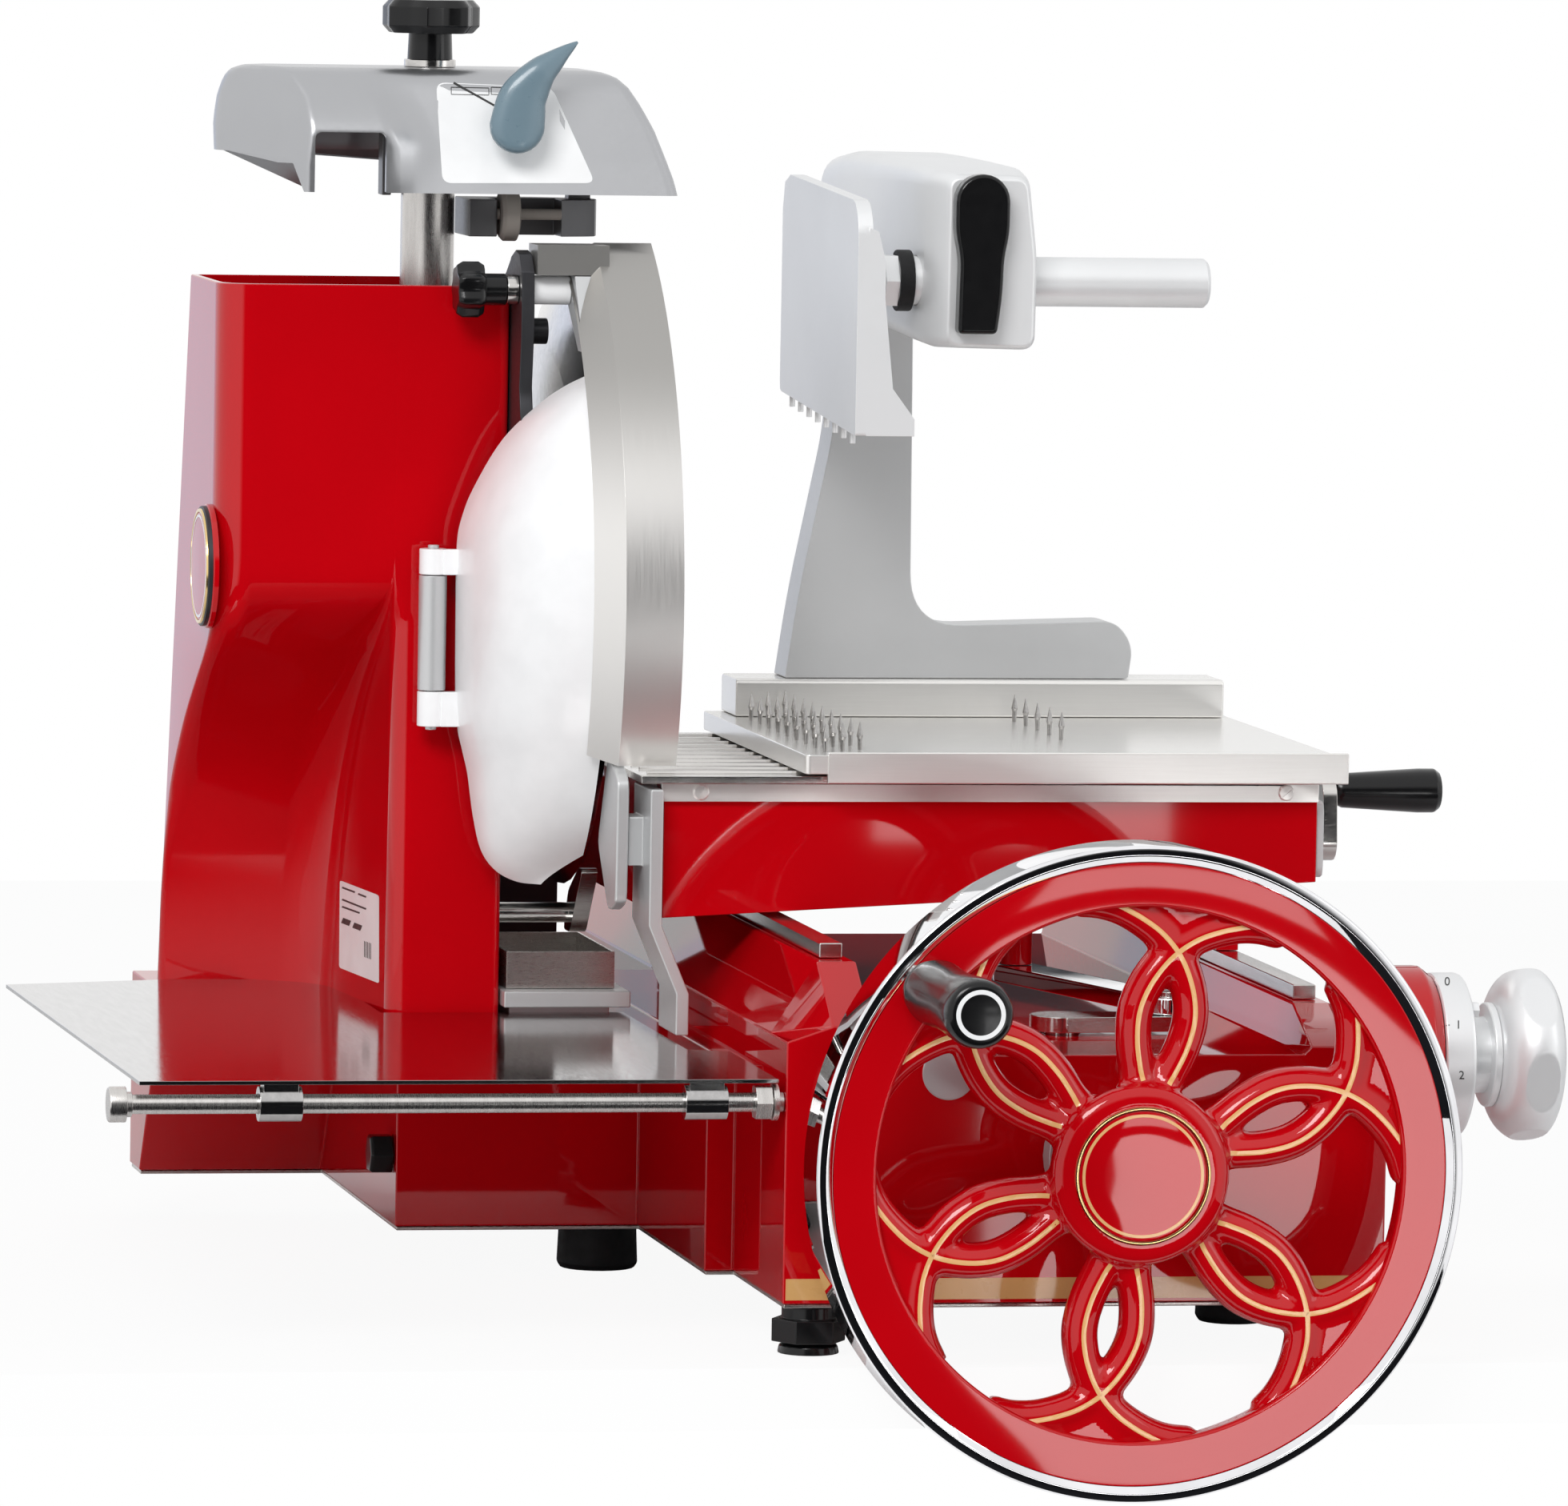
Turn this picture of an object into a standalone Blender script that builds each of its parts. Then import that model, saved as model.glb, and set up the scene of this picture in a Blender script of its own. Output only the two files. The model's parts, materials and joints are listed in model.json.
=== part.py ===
"""A hand cranked flywheel food slicer, modelled as separate pieces in metres, +Z up.

The operator stands at -Y and turns the flywheel. The blade turns in the YZ plane, the carriage
runs along Y past it, and the meat table feeds along -X towards it. Design places are counted
from the front left bottom corner of the base. The whole machine then hangs from one empty that
moves the centre of the front left foot's underside to the world's origin.
"""

import math

import bmesh
import bpy
from mathutils import Vector

for stale in list(bpy.data.objects):
    bpy.data.objects.remove(stale, do_unlink=True)

# Clearances
GAP = 0.0003
ROUND_STEPS = 24
WELD = 0.000004

# Base casting
BASE_WALL = 0.005
BASE_WIDTH = 0.317
BASE_DEPTH = 0.640
SHOULDER_Z = 0.135
FRONT_BROW_Z = 0.143
RIDGE_Z = 0.172
RIDGE_X = 0.024
RIDGE_WIDTH = 0.020
DECK_Z = 0.128
RIGHT_RIDGE_Z = 0.150
RIGHT_RIDGE_X = BASE_WIDTH - 0.041
BROW_DEPTH = 0.045
WING_TOP_Z = 0.108
SIDE_STEP_X = -0.015
SIDE_STEP_Y = 0.138
PANEL_LEFT_X = -0.153
PANEL_FRONT_Y = 0.335
WING_LEFT_X = -0.249
WING_FRONT_FOOT_Y = BASE_DEPTH - 0.042
PLATE_THICK = 0.002

# Feet
FOOT_Z = -0.027
FOOT_RADIUS = 0.0195
FRONT_FOOT = (0.017, 0.016)
RIGHT_FOOT = (BASE_WIDTH - 0.050, 0.129)
REAR_LEFT_FOOT = (-0.030, 0.371)
REAR_RIGHT_FOOT = (BASE_WIDTH - 0.050, BASE_DEPTH - 0.040)
REAR_FOOT_RADIUS = 0.022

# Tower housing
TOWER_WALL = 0.004
TOWER_RIGHT_X = -0.092
TOWER_TOP_Z = 0.506
TOWER_TOP_BACK_Y = 0.450
TOWER_BACK_SLOPE = 0.234
SHOULDER_TOP_Z = 0.345
RECESS_FOOT_Y = 0.517

# Blade, arbor and frame
BLADE_RADIUS = 0.165
BLADE_Y = 0.395
BLADE_Z = 0.345
BLADE_EDGE_X = -0.051
BLADE_THICK = 0.0025
BLADE_DISH = 0.011
ARBOR_RADIUS = 0.010
FRAME_THICK = 0.007
FRAME_HUB_RADIUS = 0.026
CHAIN_X = -0.115
CHAIN_WIDTH = 0.008
CHAIN_THICK = 0.006
ARBOR_SPROCKET_RADIUS = 0.016
DRIVE_SPROCKET_RADIUS = 0.032

# Blade guard and its hardware
GUARD_RADIUS = 0.215
GUARD_Y = 0.420
GUARD_Z = 0.340
GUARD_BAND_WIDTH = 0.030
GUARD_RIGHT_X = -0.019
GUARD_SHEET = 0.0025
GUARD_LOW_ANGLE = 202.4
GUARD_HIGH_ANGLE = 117.7
GUARD_PIN_Y = 0.316
GUARD_PIN_Z = 0.505
GUARD_KNOB_RADIUS = 0.0155
TAB_LEFT_X = -0.0635
TAB_THICK = 0.0115

# Blade cover
HINGE_X = -0.134
HINGE_Y = 0.322
HINGE_RADIUS = 0.0075
HINGE_LOW_Z = 0.290
HINGE_HIGH_Z = 0.352
COVER_SHEET = 0.003
COVER_TOP_Z = 0.465
COVER_LOW_Z = 0.196
COVER_EDGE_X = -0.0665
COVER_CLEARANCE = 0.014

# Sharpener
POST_X = -0.128
POST_Y = 0.395
POST_RADIUS = 0.0145
POST_TOP_Z = 0.614
SHARP_FRONT_Y = 0.338
SHARP_BACK_Y = 0.452
SHARP_LEFT_X = -0.252
SHARP_RIGHT_X = 0.000
SHARP_LOW_Z = 0.555
SHARP_TOP_Z = 0.621
SHARP_WALL = 0.004
TOP_KNOB_RADIUS = 0.027
LEVER_X = -0.089
LEVER_Z = 0.594

# Slice tray and its rod
TRAY_Z = 0.116
TRAY_THICK = 0.002
TRAY_LEFT_X = -0.340
TRAY_DEPTH = 0.512
TRAY_ROD_RADIUS = 0.005
TRAY_ROD_Y = 0.007
TRAY_ROD_Z = 0.1035
TRAY_ROD_LEFT_X = -0.349

# Flywheel
WHEEL_X = 0.1668
WHEEL_Z = 0.0763
WHEEL_FRONT_Y = -0.090
WHEEL_DEPTH = 0.038
WHEEL_RADIUS = 0.168
WEB_RADIUS = 0.160
WEB_INNER_RADIUS = 0.129
HUB_RADIUS = 0.046
PETALS = 6
PETAL_PHASE = 81.0
PETAL_CROSSING = 0.1145
PETAL_BULGE = 0.0145
PETAL_TUBE = 0.0095
MEDAL_RADIUS = 0.035
GRIP_RADIUS = 0.0177
GRIP_LENGTH = 0.127
GRIP_ANGLE = 139.6
GRIP_CIRCLE = 0.147
SHAFT_RADIUS = 0.010
BEARING_RADIUS = 0.020

# Drive inside the base
CRANK_Y = 0.105
CRANK_THROW = 0.058
CRANK_SHAFT_RADIUS = 0.009
CRANK_GEAR_RADIUS = 0.030
CRANK_TEETH = 20
GEAR_FACE = 0.011
CROSS_Y = 0.420
WHEEL_GEAR_RADIUS = 0.036
WHEEL_GEAR_TEETH = 32
CROSS_GEAR_RADIUS = 0.018
CROSS_GEAR_TEETH = 16
CROSS_SHAFT_RADIUS = 0.008
TOOTH_IN_MESH = -0.44
GAP_IN_MESH = 0.06
LINK_LENGTH = 0.176
LINK_TURN = 105.4
LINK_WIDTH = 0.024
LINK_THICK = 0.009

# Carriage
CARRIAGE_LEFT_X = -0.028
CARRIAGE_RIGHT_X = 0.326
CARRIAGE_FRONT_Y = 0.205
CARRIAGE_BACK_Y = 0.480
CARRIAGE_LOW_LEFT_Z = 0.179
CARRIAGE_LOW_RIGHT_Z = 0.198
CARRIAGE_TOP_Z = 0.251
CARRIAGE_WALL = 0.005
STRIP_LOW_Z = 0.241
STRIP_THICK = 0.003
BED_THICK = 0.004
BED_LEFT_X = -0.042
BED_FRONT_Y = 0.195
RAIL_WIDTH = 0.012
RAIL_HEIGHT = 0.008
RAIL_LEFT_X = RIDGE_X + (RIDGE_WIDTH - RAIL_WIDTH) / 2
RAIL_RIGHT_X = RIGHT_RIDGE_X + (RIDGE_WIDTH - RAIL_WIDTH) / 2

# Meat table
TABLE_LEFT_X = 0.044
TABLE_RIGHT_X = 0.338
TABLE_FRONT_Y = 0.185
TABLE_TOP_Z = 0.267
LIP_LOW_Z = 0.252
FENCE_FRONT_Y = 0.437
FENCE_TOP_Z = 0.288
SPIKE_HEIGHT = 0.012
SPIKE_RADIUS = 0.0022
FEED_Y = 0.300
FEED_Z = 0.212
FEED_RADIUS = 0.006
FEED_TRAVEL = 0.055
FEED_ARM_X = 0.350
FEED_GRIP_Z = 0.239
FEED_GRIP_RADIUS = 0.012
FEED_GRIP_LENGTH = 0.058
FEED_NUT_X = 0.170
FEED_NUT_LENGTH = 0.016
FEED_NUT_HALF = 0.010
FEED_SLOT_LOW = (FEED_NUT_X - FEED_TRAVEL - 0.003, FEED_Y - FEED_NUT_HALF - 0.001)
FEED_SLOT_HIGH = (FEED_NUT_X + FEED_NUT_LENGTH + 0.003, FEED_Y + FEED_NUT_HALF + 0.001)

# Food press
COLUMN_FRONT_Y = 0.441
COLUMN_THICK = 0.032
COLUMN_TOP_Z = 0.489
PRESS_ROD_RADIUS = 0.0133
PRESS_ROD_Y = 0.315
PRESS_ROD_Z = 0.512
PRESS_ROD_RIGHT_X = 0.285
HEAD_FRONT_Y = 0.282
HEAD_LEFT_X = 0.122
PRESS_PLATE_X = 0.072
PRESS_PLATE_THICK = 0.008
PRESS_PLATE_FRONT_Y = 0.210
PRESS_PLATE_BACK_Y = 0.420
PRESS_PLATE_LOW_Z = 0.437
PRESS_PLATE_TOP_Z = 0.566
LOCK_X = 0.1535
LOCK_PIVOT_Z = 0.487
HEAD_TOP_LEVER_Z = 0.571

# Thickness dial
DIAL_Y = 0.080
DIAL_Z = 0.119
DIAL_RADIUS = 0.043
DIAL_BOSS_RADIUS = 0.047
DIAL_BOSS_LENGTH = 0.040
DIAL_LENGTH = 0.028
DIAL_SHAFT_RADIUS = 0.019
DIAL_KNOB_RADIUS = 0.046
DIAL_KNOB_LENGTH = 0.034

MACHINE_PLACE = (-FRONT_FOOT[0], -FRONT_FOOT[1], -FOOT_Z)


def finish(name, color, roughness, metallic=0.0):
    """A Principled material with the piece's colour, roughness and metallic value."""
    material = bpy.data.materials.new(name)
    material.use_nodes = True
    shader = material.node_tree.nodes["Principled BSDF"]
    shader.inputs["Base Color"].default_value = (*color, 1.0)
    shader.inputs["Roughness"].default_value = roughness
    shader.inputs["Metallic"].default_value = metallic
    material.diffuse_color = (*color, 1.0)
    return material


RED = finish("red_enamel", (0.52, 0.008, 0.012), 0.15)
STEEL = finish("polished_steel", (0.56, 0.55, 0.53), 0.22, 1.0)
BRUSHED = finish("brushed_steel", (0.50, 0.49, 0.47), 0.38, 1.0)
CHROME = finish("chrome", (0.78, 0.78, 0.80), 0.06, 1.0)
CAST = finish("satin_aluminium", (0.62, 0.63, 0.65), 0.42, 0.9)
DARK = finish("dark_casting", (0.10, 0.10, 0.11), 0.45, 0.6)
WHITE = finish("white_plastic", (0.88, 0.88, 0.87), 0.30)
BLACK = finish("black_plastic", (0.012, 0.012, 0.013), 0.28)
RUBBER = finish("black_rubber", (0.02, 0.02, 0.02), 0.75)
LEVER_BLUE = finish("blue_grey_plastic", (0.16, 0.24, 0.29), 0.35)
STONE = finish("grinding_stone", (0.33, 0.30, 0.27), 0.9)

machine = bpy.data.objects.new("machine", None)
machine.location = MACHINE_PLACE
bpy.context.scene.collection.objects.link(machine)


def place(name, mesh, material):
    """The mesh as an object of the machine, smooth where it is round."""
    shell = bmesh.new()
    shell.from_mesh(mesh)
    bmesh.ops.recalc_face_normals(shell, faces=shell.faces)
    shell.to_mesh(mesh)
    shell.free()
    mesh.materials.clear()
    mesh.materials.append(material)
    mesh.shade_smooth()
    mesh.set_sharp_from_angle(angle=math.radians(32))
    piece = bpy.data.objects.new(name, mesh)
    bpy.context.scene.collection.objects.link(piece)
    piece.parent = machine
    return piece


def from_faces(name, points, faces, material):
    mesh = bpy.data.meshes.new(name)
    mesh.from_pydata([Vector(point) for point in points], [], faces)
    return place(name, mesh, material)


def on_axis(axis, along, first, second):
    """A point from its place along an axis and its two places across it, in X, Y, Z order."""
    if axis == "X":
        return (along, first, second)
    if axis == "Y":
        return (first, along, second)
    return (first, second, along)


def lofted(name, rings, material, capped=True):
    """Rings of equally many points, joined in turn, with both ends capped or the last joined to the first."""
    count = len(rings[0])
    points = [point for ring in rings for point in ring]
    faces = []
    spans = len(rings) - 1 if capped else len(rings)
    for row in range(spans):
        here = row * count
        there = (row + 1) % len(rings) * count
        for i in range(count):
            j = (i + 1) % count
            faces.append((here + i, here + j, there + j, there + i))
    if capped:
        faces.append(tuple(range(count))[::-1])
        faces.append(tuple(range(len(points) - count, len(points))))
    return from_faces(name, points, faces, material)


def prism(name, outline, axis, low, high, material):
    """A flat outline drawn across an axis and extruded along it."""
    rings = [[on_axis(axis, along, a, b) for a, b in outline] for along in (low, high)]
    return lofted(name, rings, material)


def box(name, low, high, material):
    outline = [(low[0], low[1]), (high[0], low[1]), (high[0], high[1]), (low[0], high[1])]
    return prism(name, outline, "Z", low[2], high[2], material)


def turned(name, profile, axis, centre, material, steps=ROUND_STEPS):
    """A profile of (along, radius) points turned about an axis, from one end on the axis to the other."""
    points = []
    rows = []
    for along, radius in profile:
        if radius == 0:
            rows.append([len(points)])
            points.append(on_axis(axis, along, centre[0], centre[1]))
            continue
        row = []
        for i in range(steps):
            angle = 2 * math.pi * i / steps
            row.append(len(points))
            across = (centre[0] + radius * math.cos(angle), centre[1] + radius * math.sin(angle))
            points.append(on_axis(axis, along, across[0], across[1]))
        rows.append(row)
    faces = []
    for first, second in zip(rows, rows[1:]):
        for i in range(steps):
            j = (i + 1) % steps
            corners = [first[i % len(first)], first[j % len(first)]]
            corners += [second[j % len(second)], second[i % len(second)]]
            corners = list(dict.fromkeys(corners))
            if len(corners) > 2:
                faces.append(tuple(corners))
    return from_faces(name, points, faces, material)


def cylinder(name, axis, centre, radius, low, high, material, steps=ROUND_STEPS):
    profile = [(low, 0), (low, radius), (high, radius), (high, 0)]
    return turned(name, profile, axis, centre, material, steps)


def ring(name, profile, axis, centre, material, steps=ROUND_STEPS):
    """A closed profile that stays off its axis, turned into a ring."""
    rings = []
    for i in range(steps):
        angle = 2 * math.pi * i / steps
        across = (math.cos(angle), math.sin(angle))
        rings.append(
            [
                on_axis(axis, along, centre[0] + radius * across[0], centre[1] + radius * across[1])
                for along, radius in profile
            ]
        )
    return lofted(name, rings, material, capped=False)


def combine(target, others, operation="UNION"):
    """The target joined with, or cut by, the other objects, which are used up."""
    for other in others:
        other.hide_render = True
        other.display_type = "WIRE"
        change = target.modifiers.new("change", "BOOLEAN")
        change.operation = operation
        change.solver = "EXACT"
        change.object = other
    bpy.context.view_layer.update()
    graph = bpy.context.evaluated_depsgraph_get()
    mesh = bpy.data.meshes.new_from_object(target.evaluated_get(graph))
    target.modifiers.clear()
    tidy = bmesh.new()
    tidy.from_mesh(mesh)
    bmesh.ops.remove_doubles(tidy, verts=tidy.verts, dist=WELD)
    bmesh.ops.dissolve_degenerate(tidy, edges=tidy.edges, dist=WELD)
    tidy.to_mesh(mesh)
    tidy.free()
    target.data = mesh
    for other in others:
        bpy.data.objects.remove(other, do_unlink=True)
    return target


def cut(target, others):
    return combine(target, others, "DIFFERENCE")


def rounded(outline, radius, steps=3):
    """The outline with each corner turned into an arc of about this radius, less where an edge is short."""
    result = []
    count = len(outline)
    for i, corner in enumerate(outline):
        here = Vector(corner)
        before = Vector(outline[i - 1]) - here
        after = Vector(outline[(i + 1) % count]) - here
        wanted = radius[i] if isinstance(radius, (list, tuple)) else radius
        reach = min(wanted, before.length * 0.45, after.length * 0.45)
        start = here + before.normalized() * reach
        end = here + after.normalized() * reach
        for k in range(steps):
            t = k / (steps - 1)
            point = start * (1 - t) ** 2 + here * 2 * t * (1 - t) + end * t**2
            result.append((point.x, point.y))
    return result


def rectangle(left, right, low, high, radius, steps=3):
    return rounded([(left, low), (right, low), (right, high), (left, high)], radius, steps)


def arc(centre, radius, start, end, steps):
    """Points on a circle between two angles in degrees."""
    found = []
    for i in range(steps + 1):
        angle = math.radians(start + (end - start) * i / steps)
        found.append((centre[0] + radius * math.cos(angle), centre[1] + radius * math.sin(angle)))
    return found


def lobed(radius, depth, lobes, steps=5):
    """The outline of a lobed hand knob about its own centre."""
    found = []
    for i in range(lobes * steps):
        angle = 2 * math.pi * i / (lobes * steps)
        reach = radius - depth * (0.5 - 0.5 * math.cos(lobes * angle))
        found.append((reach * math.cos(angle), reach * math.sin(angle)))
    return found


def lobed_knob(name, axis, centre, radius, depth, lobes, low, high, material):
    """A lobed knob with softened ends along an axis."""
    edge = (high - low) * 0.22
    levels = [(low, 0.86), (low + edge, 1.0), (high - edge, 1.0), (high, 0.86)]
    outline = lobed(radius, depth, lobes)
    rings = [
        [on_axis(axis, along, centre[0] + a * scale, centre[1] + b * scale) for a, b in outline]
        for along, scale in levels
    ]
    return lofted(name, rings, material)


def hang_on(pivot, pieces, name):
    """Puts an empty on a joint's axis and hangs the pieces that turn or slide there from it."""
    holder = bpy.data.objects.new(name, None)
    holder.location = pivot
    holder.parent = machine
    bpy.context.scene.collection.objects.link(holder)
    for piece in pieces:
        piece.parent = holder
        piece.location = -Vector(pivot)
    return holder


# Base: casting, bottom plate, feet


def base_section(y, ridge_z, right_z, inset):
    """The base's outline across X and Z at one depth; the inset one is the room inside its walls."""
    if inset:
        ceiling = DECK_Z - BASE_WALL
        outline = [
            (BASE_WALL, -0.01),
            (BASE_WIDTH - BASE_WALL, -0.01),
            (BASE_WIDTH - BASE_WALL, ceiling - 0.02),
            (BASE_WIDTH - BASE_WALL - 0.014, ceiling),
            (BASE_WALL + 0.008, ceiling),
            (BASE_WALL, ceiling - 0.01),
        ]
    else:
        ridge_end = RIDGE_X + RIDGE_WIDTH
        outline = [
            (0.0, 0.0),
            (BASE_WIDTH, 0.0),
            (BASE_WIDTH, DECK_Z - 0.02),
            (RIGHT_RIDGE_X + RIDGE_WIDTH, right_z),
            (RIGHT_RIDGE_X, right_z),
            (RIGHT_RIDGE_X - 0.004, DECK_Z),
            (ridge_end + 0.006, DECK_Z),
            (ridge_end, ridge_z),
            (RIDGE_X, ridge_z),
            (0.0, SHOULDER_Z),
        ]
    return [(x, y, z) for x, z in outline]


def base_casting():
    front = base_section(0.0, FRONT_BROW_Z, DECK_Z + 0.004, False)
    brow = base_section(BROW_DEPTH, RIDGE_Z, RIGHT_RIDGE_Z, False)
    back = base_section(BASE_DEPTH, RIDGE_Z, RIGHT_RIDGE_Z, False)
    casting = lofted("base_casting", [front, brow, back], RED)
    lap = 0.03
    step_left = PANEL_LEFT_X + 0.006
    side = [
        (lap, SIDE_STEP_Y),
        (SIDE_STEP_X, SIDE_STEP_Y),
        (SIDE_STEP_X, PANEL_FRONT_Y),
        (step_left, PANEL_FRONT_Y),
        (step_left, BASE_DEPTH - 0.002),
        (lap, BASE_DEPTH - 0.002),
    ]
    wing_right = PANEL_LEFT_X + 0.03
    wing = []
    for z, front_y in ((0.0, WING_FRONT_FOOT_Y), (WING_TOP_Z, RECESS_FOOT_Y)):
        back_y = BASE_DEPTH - 0.004
        wing.append(
            [
                (wing_right, front_y, z),
                (WING_LEFT_X, front_y, z),
                (WING_LEFT_X, back_y, z),
                (wing_right, back_y, z),
            ]
        )
    side_block = prism("side", side, "Z", 0.0, WING_TOP_Z, RED)
    wing_block = lofted("wing", wing, RED)
    combine(casting, [side_block, wing_block])

    room = lofted(
        "room",
        [
            base_section(BASE_WALL, 0, 0, True),
            base_section(BASE_DEPTH - BASE_WALL, 0, 0, True),
        ],
        RED,
    )
    w = BASE_WALL
    side_room = [
        (lap, SIDE_STEP_Y + w),
        (SIDE_STEP_X + w, SIDE_STEP_Y + w),
        (SIDE_STEP_X + w, PANEL_FRONT_Y + w),
        (step_left + w, PANEL_FRONT_Y + w),
        (step_left + w, BASE_DEPTH - 0.002 - w),
        (lap, BASE_DEPTH - 0.002 - w),
    ]
    wing_room = []
    for z, front_y in ((-0.01, WING_FRONT_FOOT_Y + 0.008), (WING_TOP_Z - w, RECESS_FOOT_Y + 0.006)):
        back_y = BASE_DEPTH - 0.004 - w
        wing_room.append(
            [
                (wing_right, front_y + w, z),
                (WING_LEFT_X + w, front_y + w, z),
                (WING_LEFT_X + w, back_y, z),
                (wing_right, back_y, z),
            ]
        )
    cuts = [
        room,
        prism("side_room", side_room, "Z", -0.01, WING_TOP_Z - w, RED),
        lofted("wing_room", wing_room, RED),
        box(
            "chain_window",
            (CHAIN_X - 0.014, CROSS_Y - 0.055, WING_TOP_Z - 0.02),
            (CHAIN_X + 0.014, CROSS_Y + 0.045, WING_TOP_Z + 0.02),
            RED,
        ),
        cylinder("bearing_hole", "Y", (WHEEL_X, WHEEL_Z), BEARING_RADIUS + GAP, -0.02, 0.03, RED),
        cylinder(
            "crank_hole",
            "Z",
            (WHEEL_X, CRANK_Y),
            CRANK_SHAFT_RADIUS + GAP,
            DECK_Z - 0.03,
            DECK_Z + 0.03,
            RED,
        ),
    ]
    return cut(casting, cuts)


def bottom_plate():
    edge = 0.001
    outline = [
        (edge, edge),
        (BASE_WIDTH - edge, edge),
        (BASE_WIDTH - edge, BASE_DEPTH - edge),
        (WING_LEFT_X + edge, BASE_DEPTH - 0.004 - edge),
        (WING_LEFT_X + edge, WING_FRONT_FOOT_Y + edge),
        (PANEL_LEFT_X + 0.006 + edge, WING_FRONT_FOOT_Y + edge),
        (PANEL_LEFT_X + 0.006 + edge, PANEL_FRONT_Y + edge),
        (SIDE_STEP_X + edge, PANEL_FRONT_Y + edge),
        (SIDE_STEP_X + edge, SIDE_STEP_Y + edge),
        (edge, SIDE_STEP_Y + edge),
    ]
    return prism("bottom_plate", outline, "Z", -GAP - PLATE_THICK, -GAP, BRUSHED)


def foot(name, place_at, radius, hexagonal):
    top = -PLATE_THICK - 2 * GAP
    if not hexagonal:
        profile = [
            (FOOT_Z, 0),
            (FOOT_Z, radius - 0.002),
            (FOOT_Z + 0.003, radius),
            (top, radius * 0.96),
            (top, 0),
        ]
        return turned(name, profile, "Z", place_at, RUBBER, 24)
    pad = turned(
        name,
        [
            (FOOT_Z, 0),
            (FOOT_Z, radius * 0.82),
            (FOOT_Z + 0.004, radius * 0.78),
            (FOOT_Z + 0.0065, radius * 0.6),
            (FOOT_Z + 0.0065, 0),
        ],
        "Z",
        place_at,
        BLACK,
        24,
    )
    nut = cylinder("nut", "Z", place_at, radius, FOOT_Z + 0.006, FOOT_Z + 0.018, BLACK, 6)
    neck = cylinder("neck", "Z", place_at, radius * 0.72, FOOT_Z + 0.017, top, BLACK, 24)
    return combine(pad, [nut, neck])


# Tower housing


def tower_ring(z, recess_y, inset):
    """The tower's outline at one height, with the panel at the right and the hollow at the left."""
    w = inset
    back = TOWER_TOP_BACK_Y + (TOWER_TOP_Z - z) * TOWER_BACK_SLOPE
    outline = [
        (TOWER_RIGHT_X - w, PANEL_FRONT_Y + w),
        (PANEL_LEFT_X + w, PANEL_FRONT_Y + w),
        (PANEL_LEFT_X + w, recess_y + w),
        (WING_LEFT_X + w, recess_y + w),
        (WING_LEFT_X + w, back - w),
        (TOWER_RIGHT_X - w, back - w),
    ]
    # Points run clockwise seen from above, so the order is the same on every ring.
    curve = rounded(outline, [0.005, 0.010, 0.024, 0.010, 0.008, 0.008], 4)
    return [(x, y, z) for x, y in curve]


def tower_levels():
    """(height, front of the recess) from the foot to the rim."""
    foot_z = WING_TOP_Z + GAP
    drop = SHOULDER_TOP_Z - foot_z
    depth = RECESS_FOOT_Y - PANEL_FRONT_Y
    levels = []
    for share, reach in ((0.0, 1.0), (0.33, 0.95), (0.54, 0.80), (0.75, 0.54), (0.86, 0.32), (0.94, 0.12)):
        levels.append((foot_z + drop * share, PANEL_FRONT_Y + depth * reach))
    levels.append((SHOULDER_TOP_Z, PANEL_FRONT_Y + 0.0008))
    levels.append((TOWER_TOP_Z, PANEL_FRONT_Y + 0.0006))
    return levels


def tower_housing():
    levels = tower_levels()
    outside = [tower_ring(z, y, 0.0) for z, y in levels]
    inside = [tower_ring(z, y, TOWER_WALL) for z, y in levels]
    shell = lofted("tower_housing", outside + inside[::-1], RED, capped=False)
    window = box(
        "frame_window",
        (TOWER_RIGHT_X - 0.012, BLADE_Y - 0.036, BLADE_Z - 0.036),
        (TOWER_RIGHT_X + 0.010, BLADE_Y + 0.036, TOWER_TOP_Z + 0.02),
        RED,
    )
    cut(shell, [window])
    outline = []
    for i in range(24):
        angle = 2 * math.pi * i / 24
        outline.append((0.382 + 0.028 * math.cos(angle), 0.392 + 0.034 * math.sin(angle)))
    badge = prism("badge", outline, "X", WING_LEFT_X - 0.003, WING_LEFT_X + 0.002, RED)
    return combine(shell, [badge])


# Blade frame, arbor, blade and its chain


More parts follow.
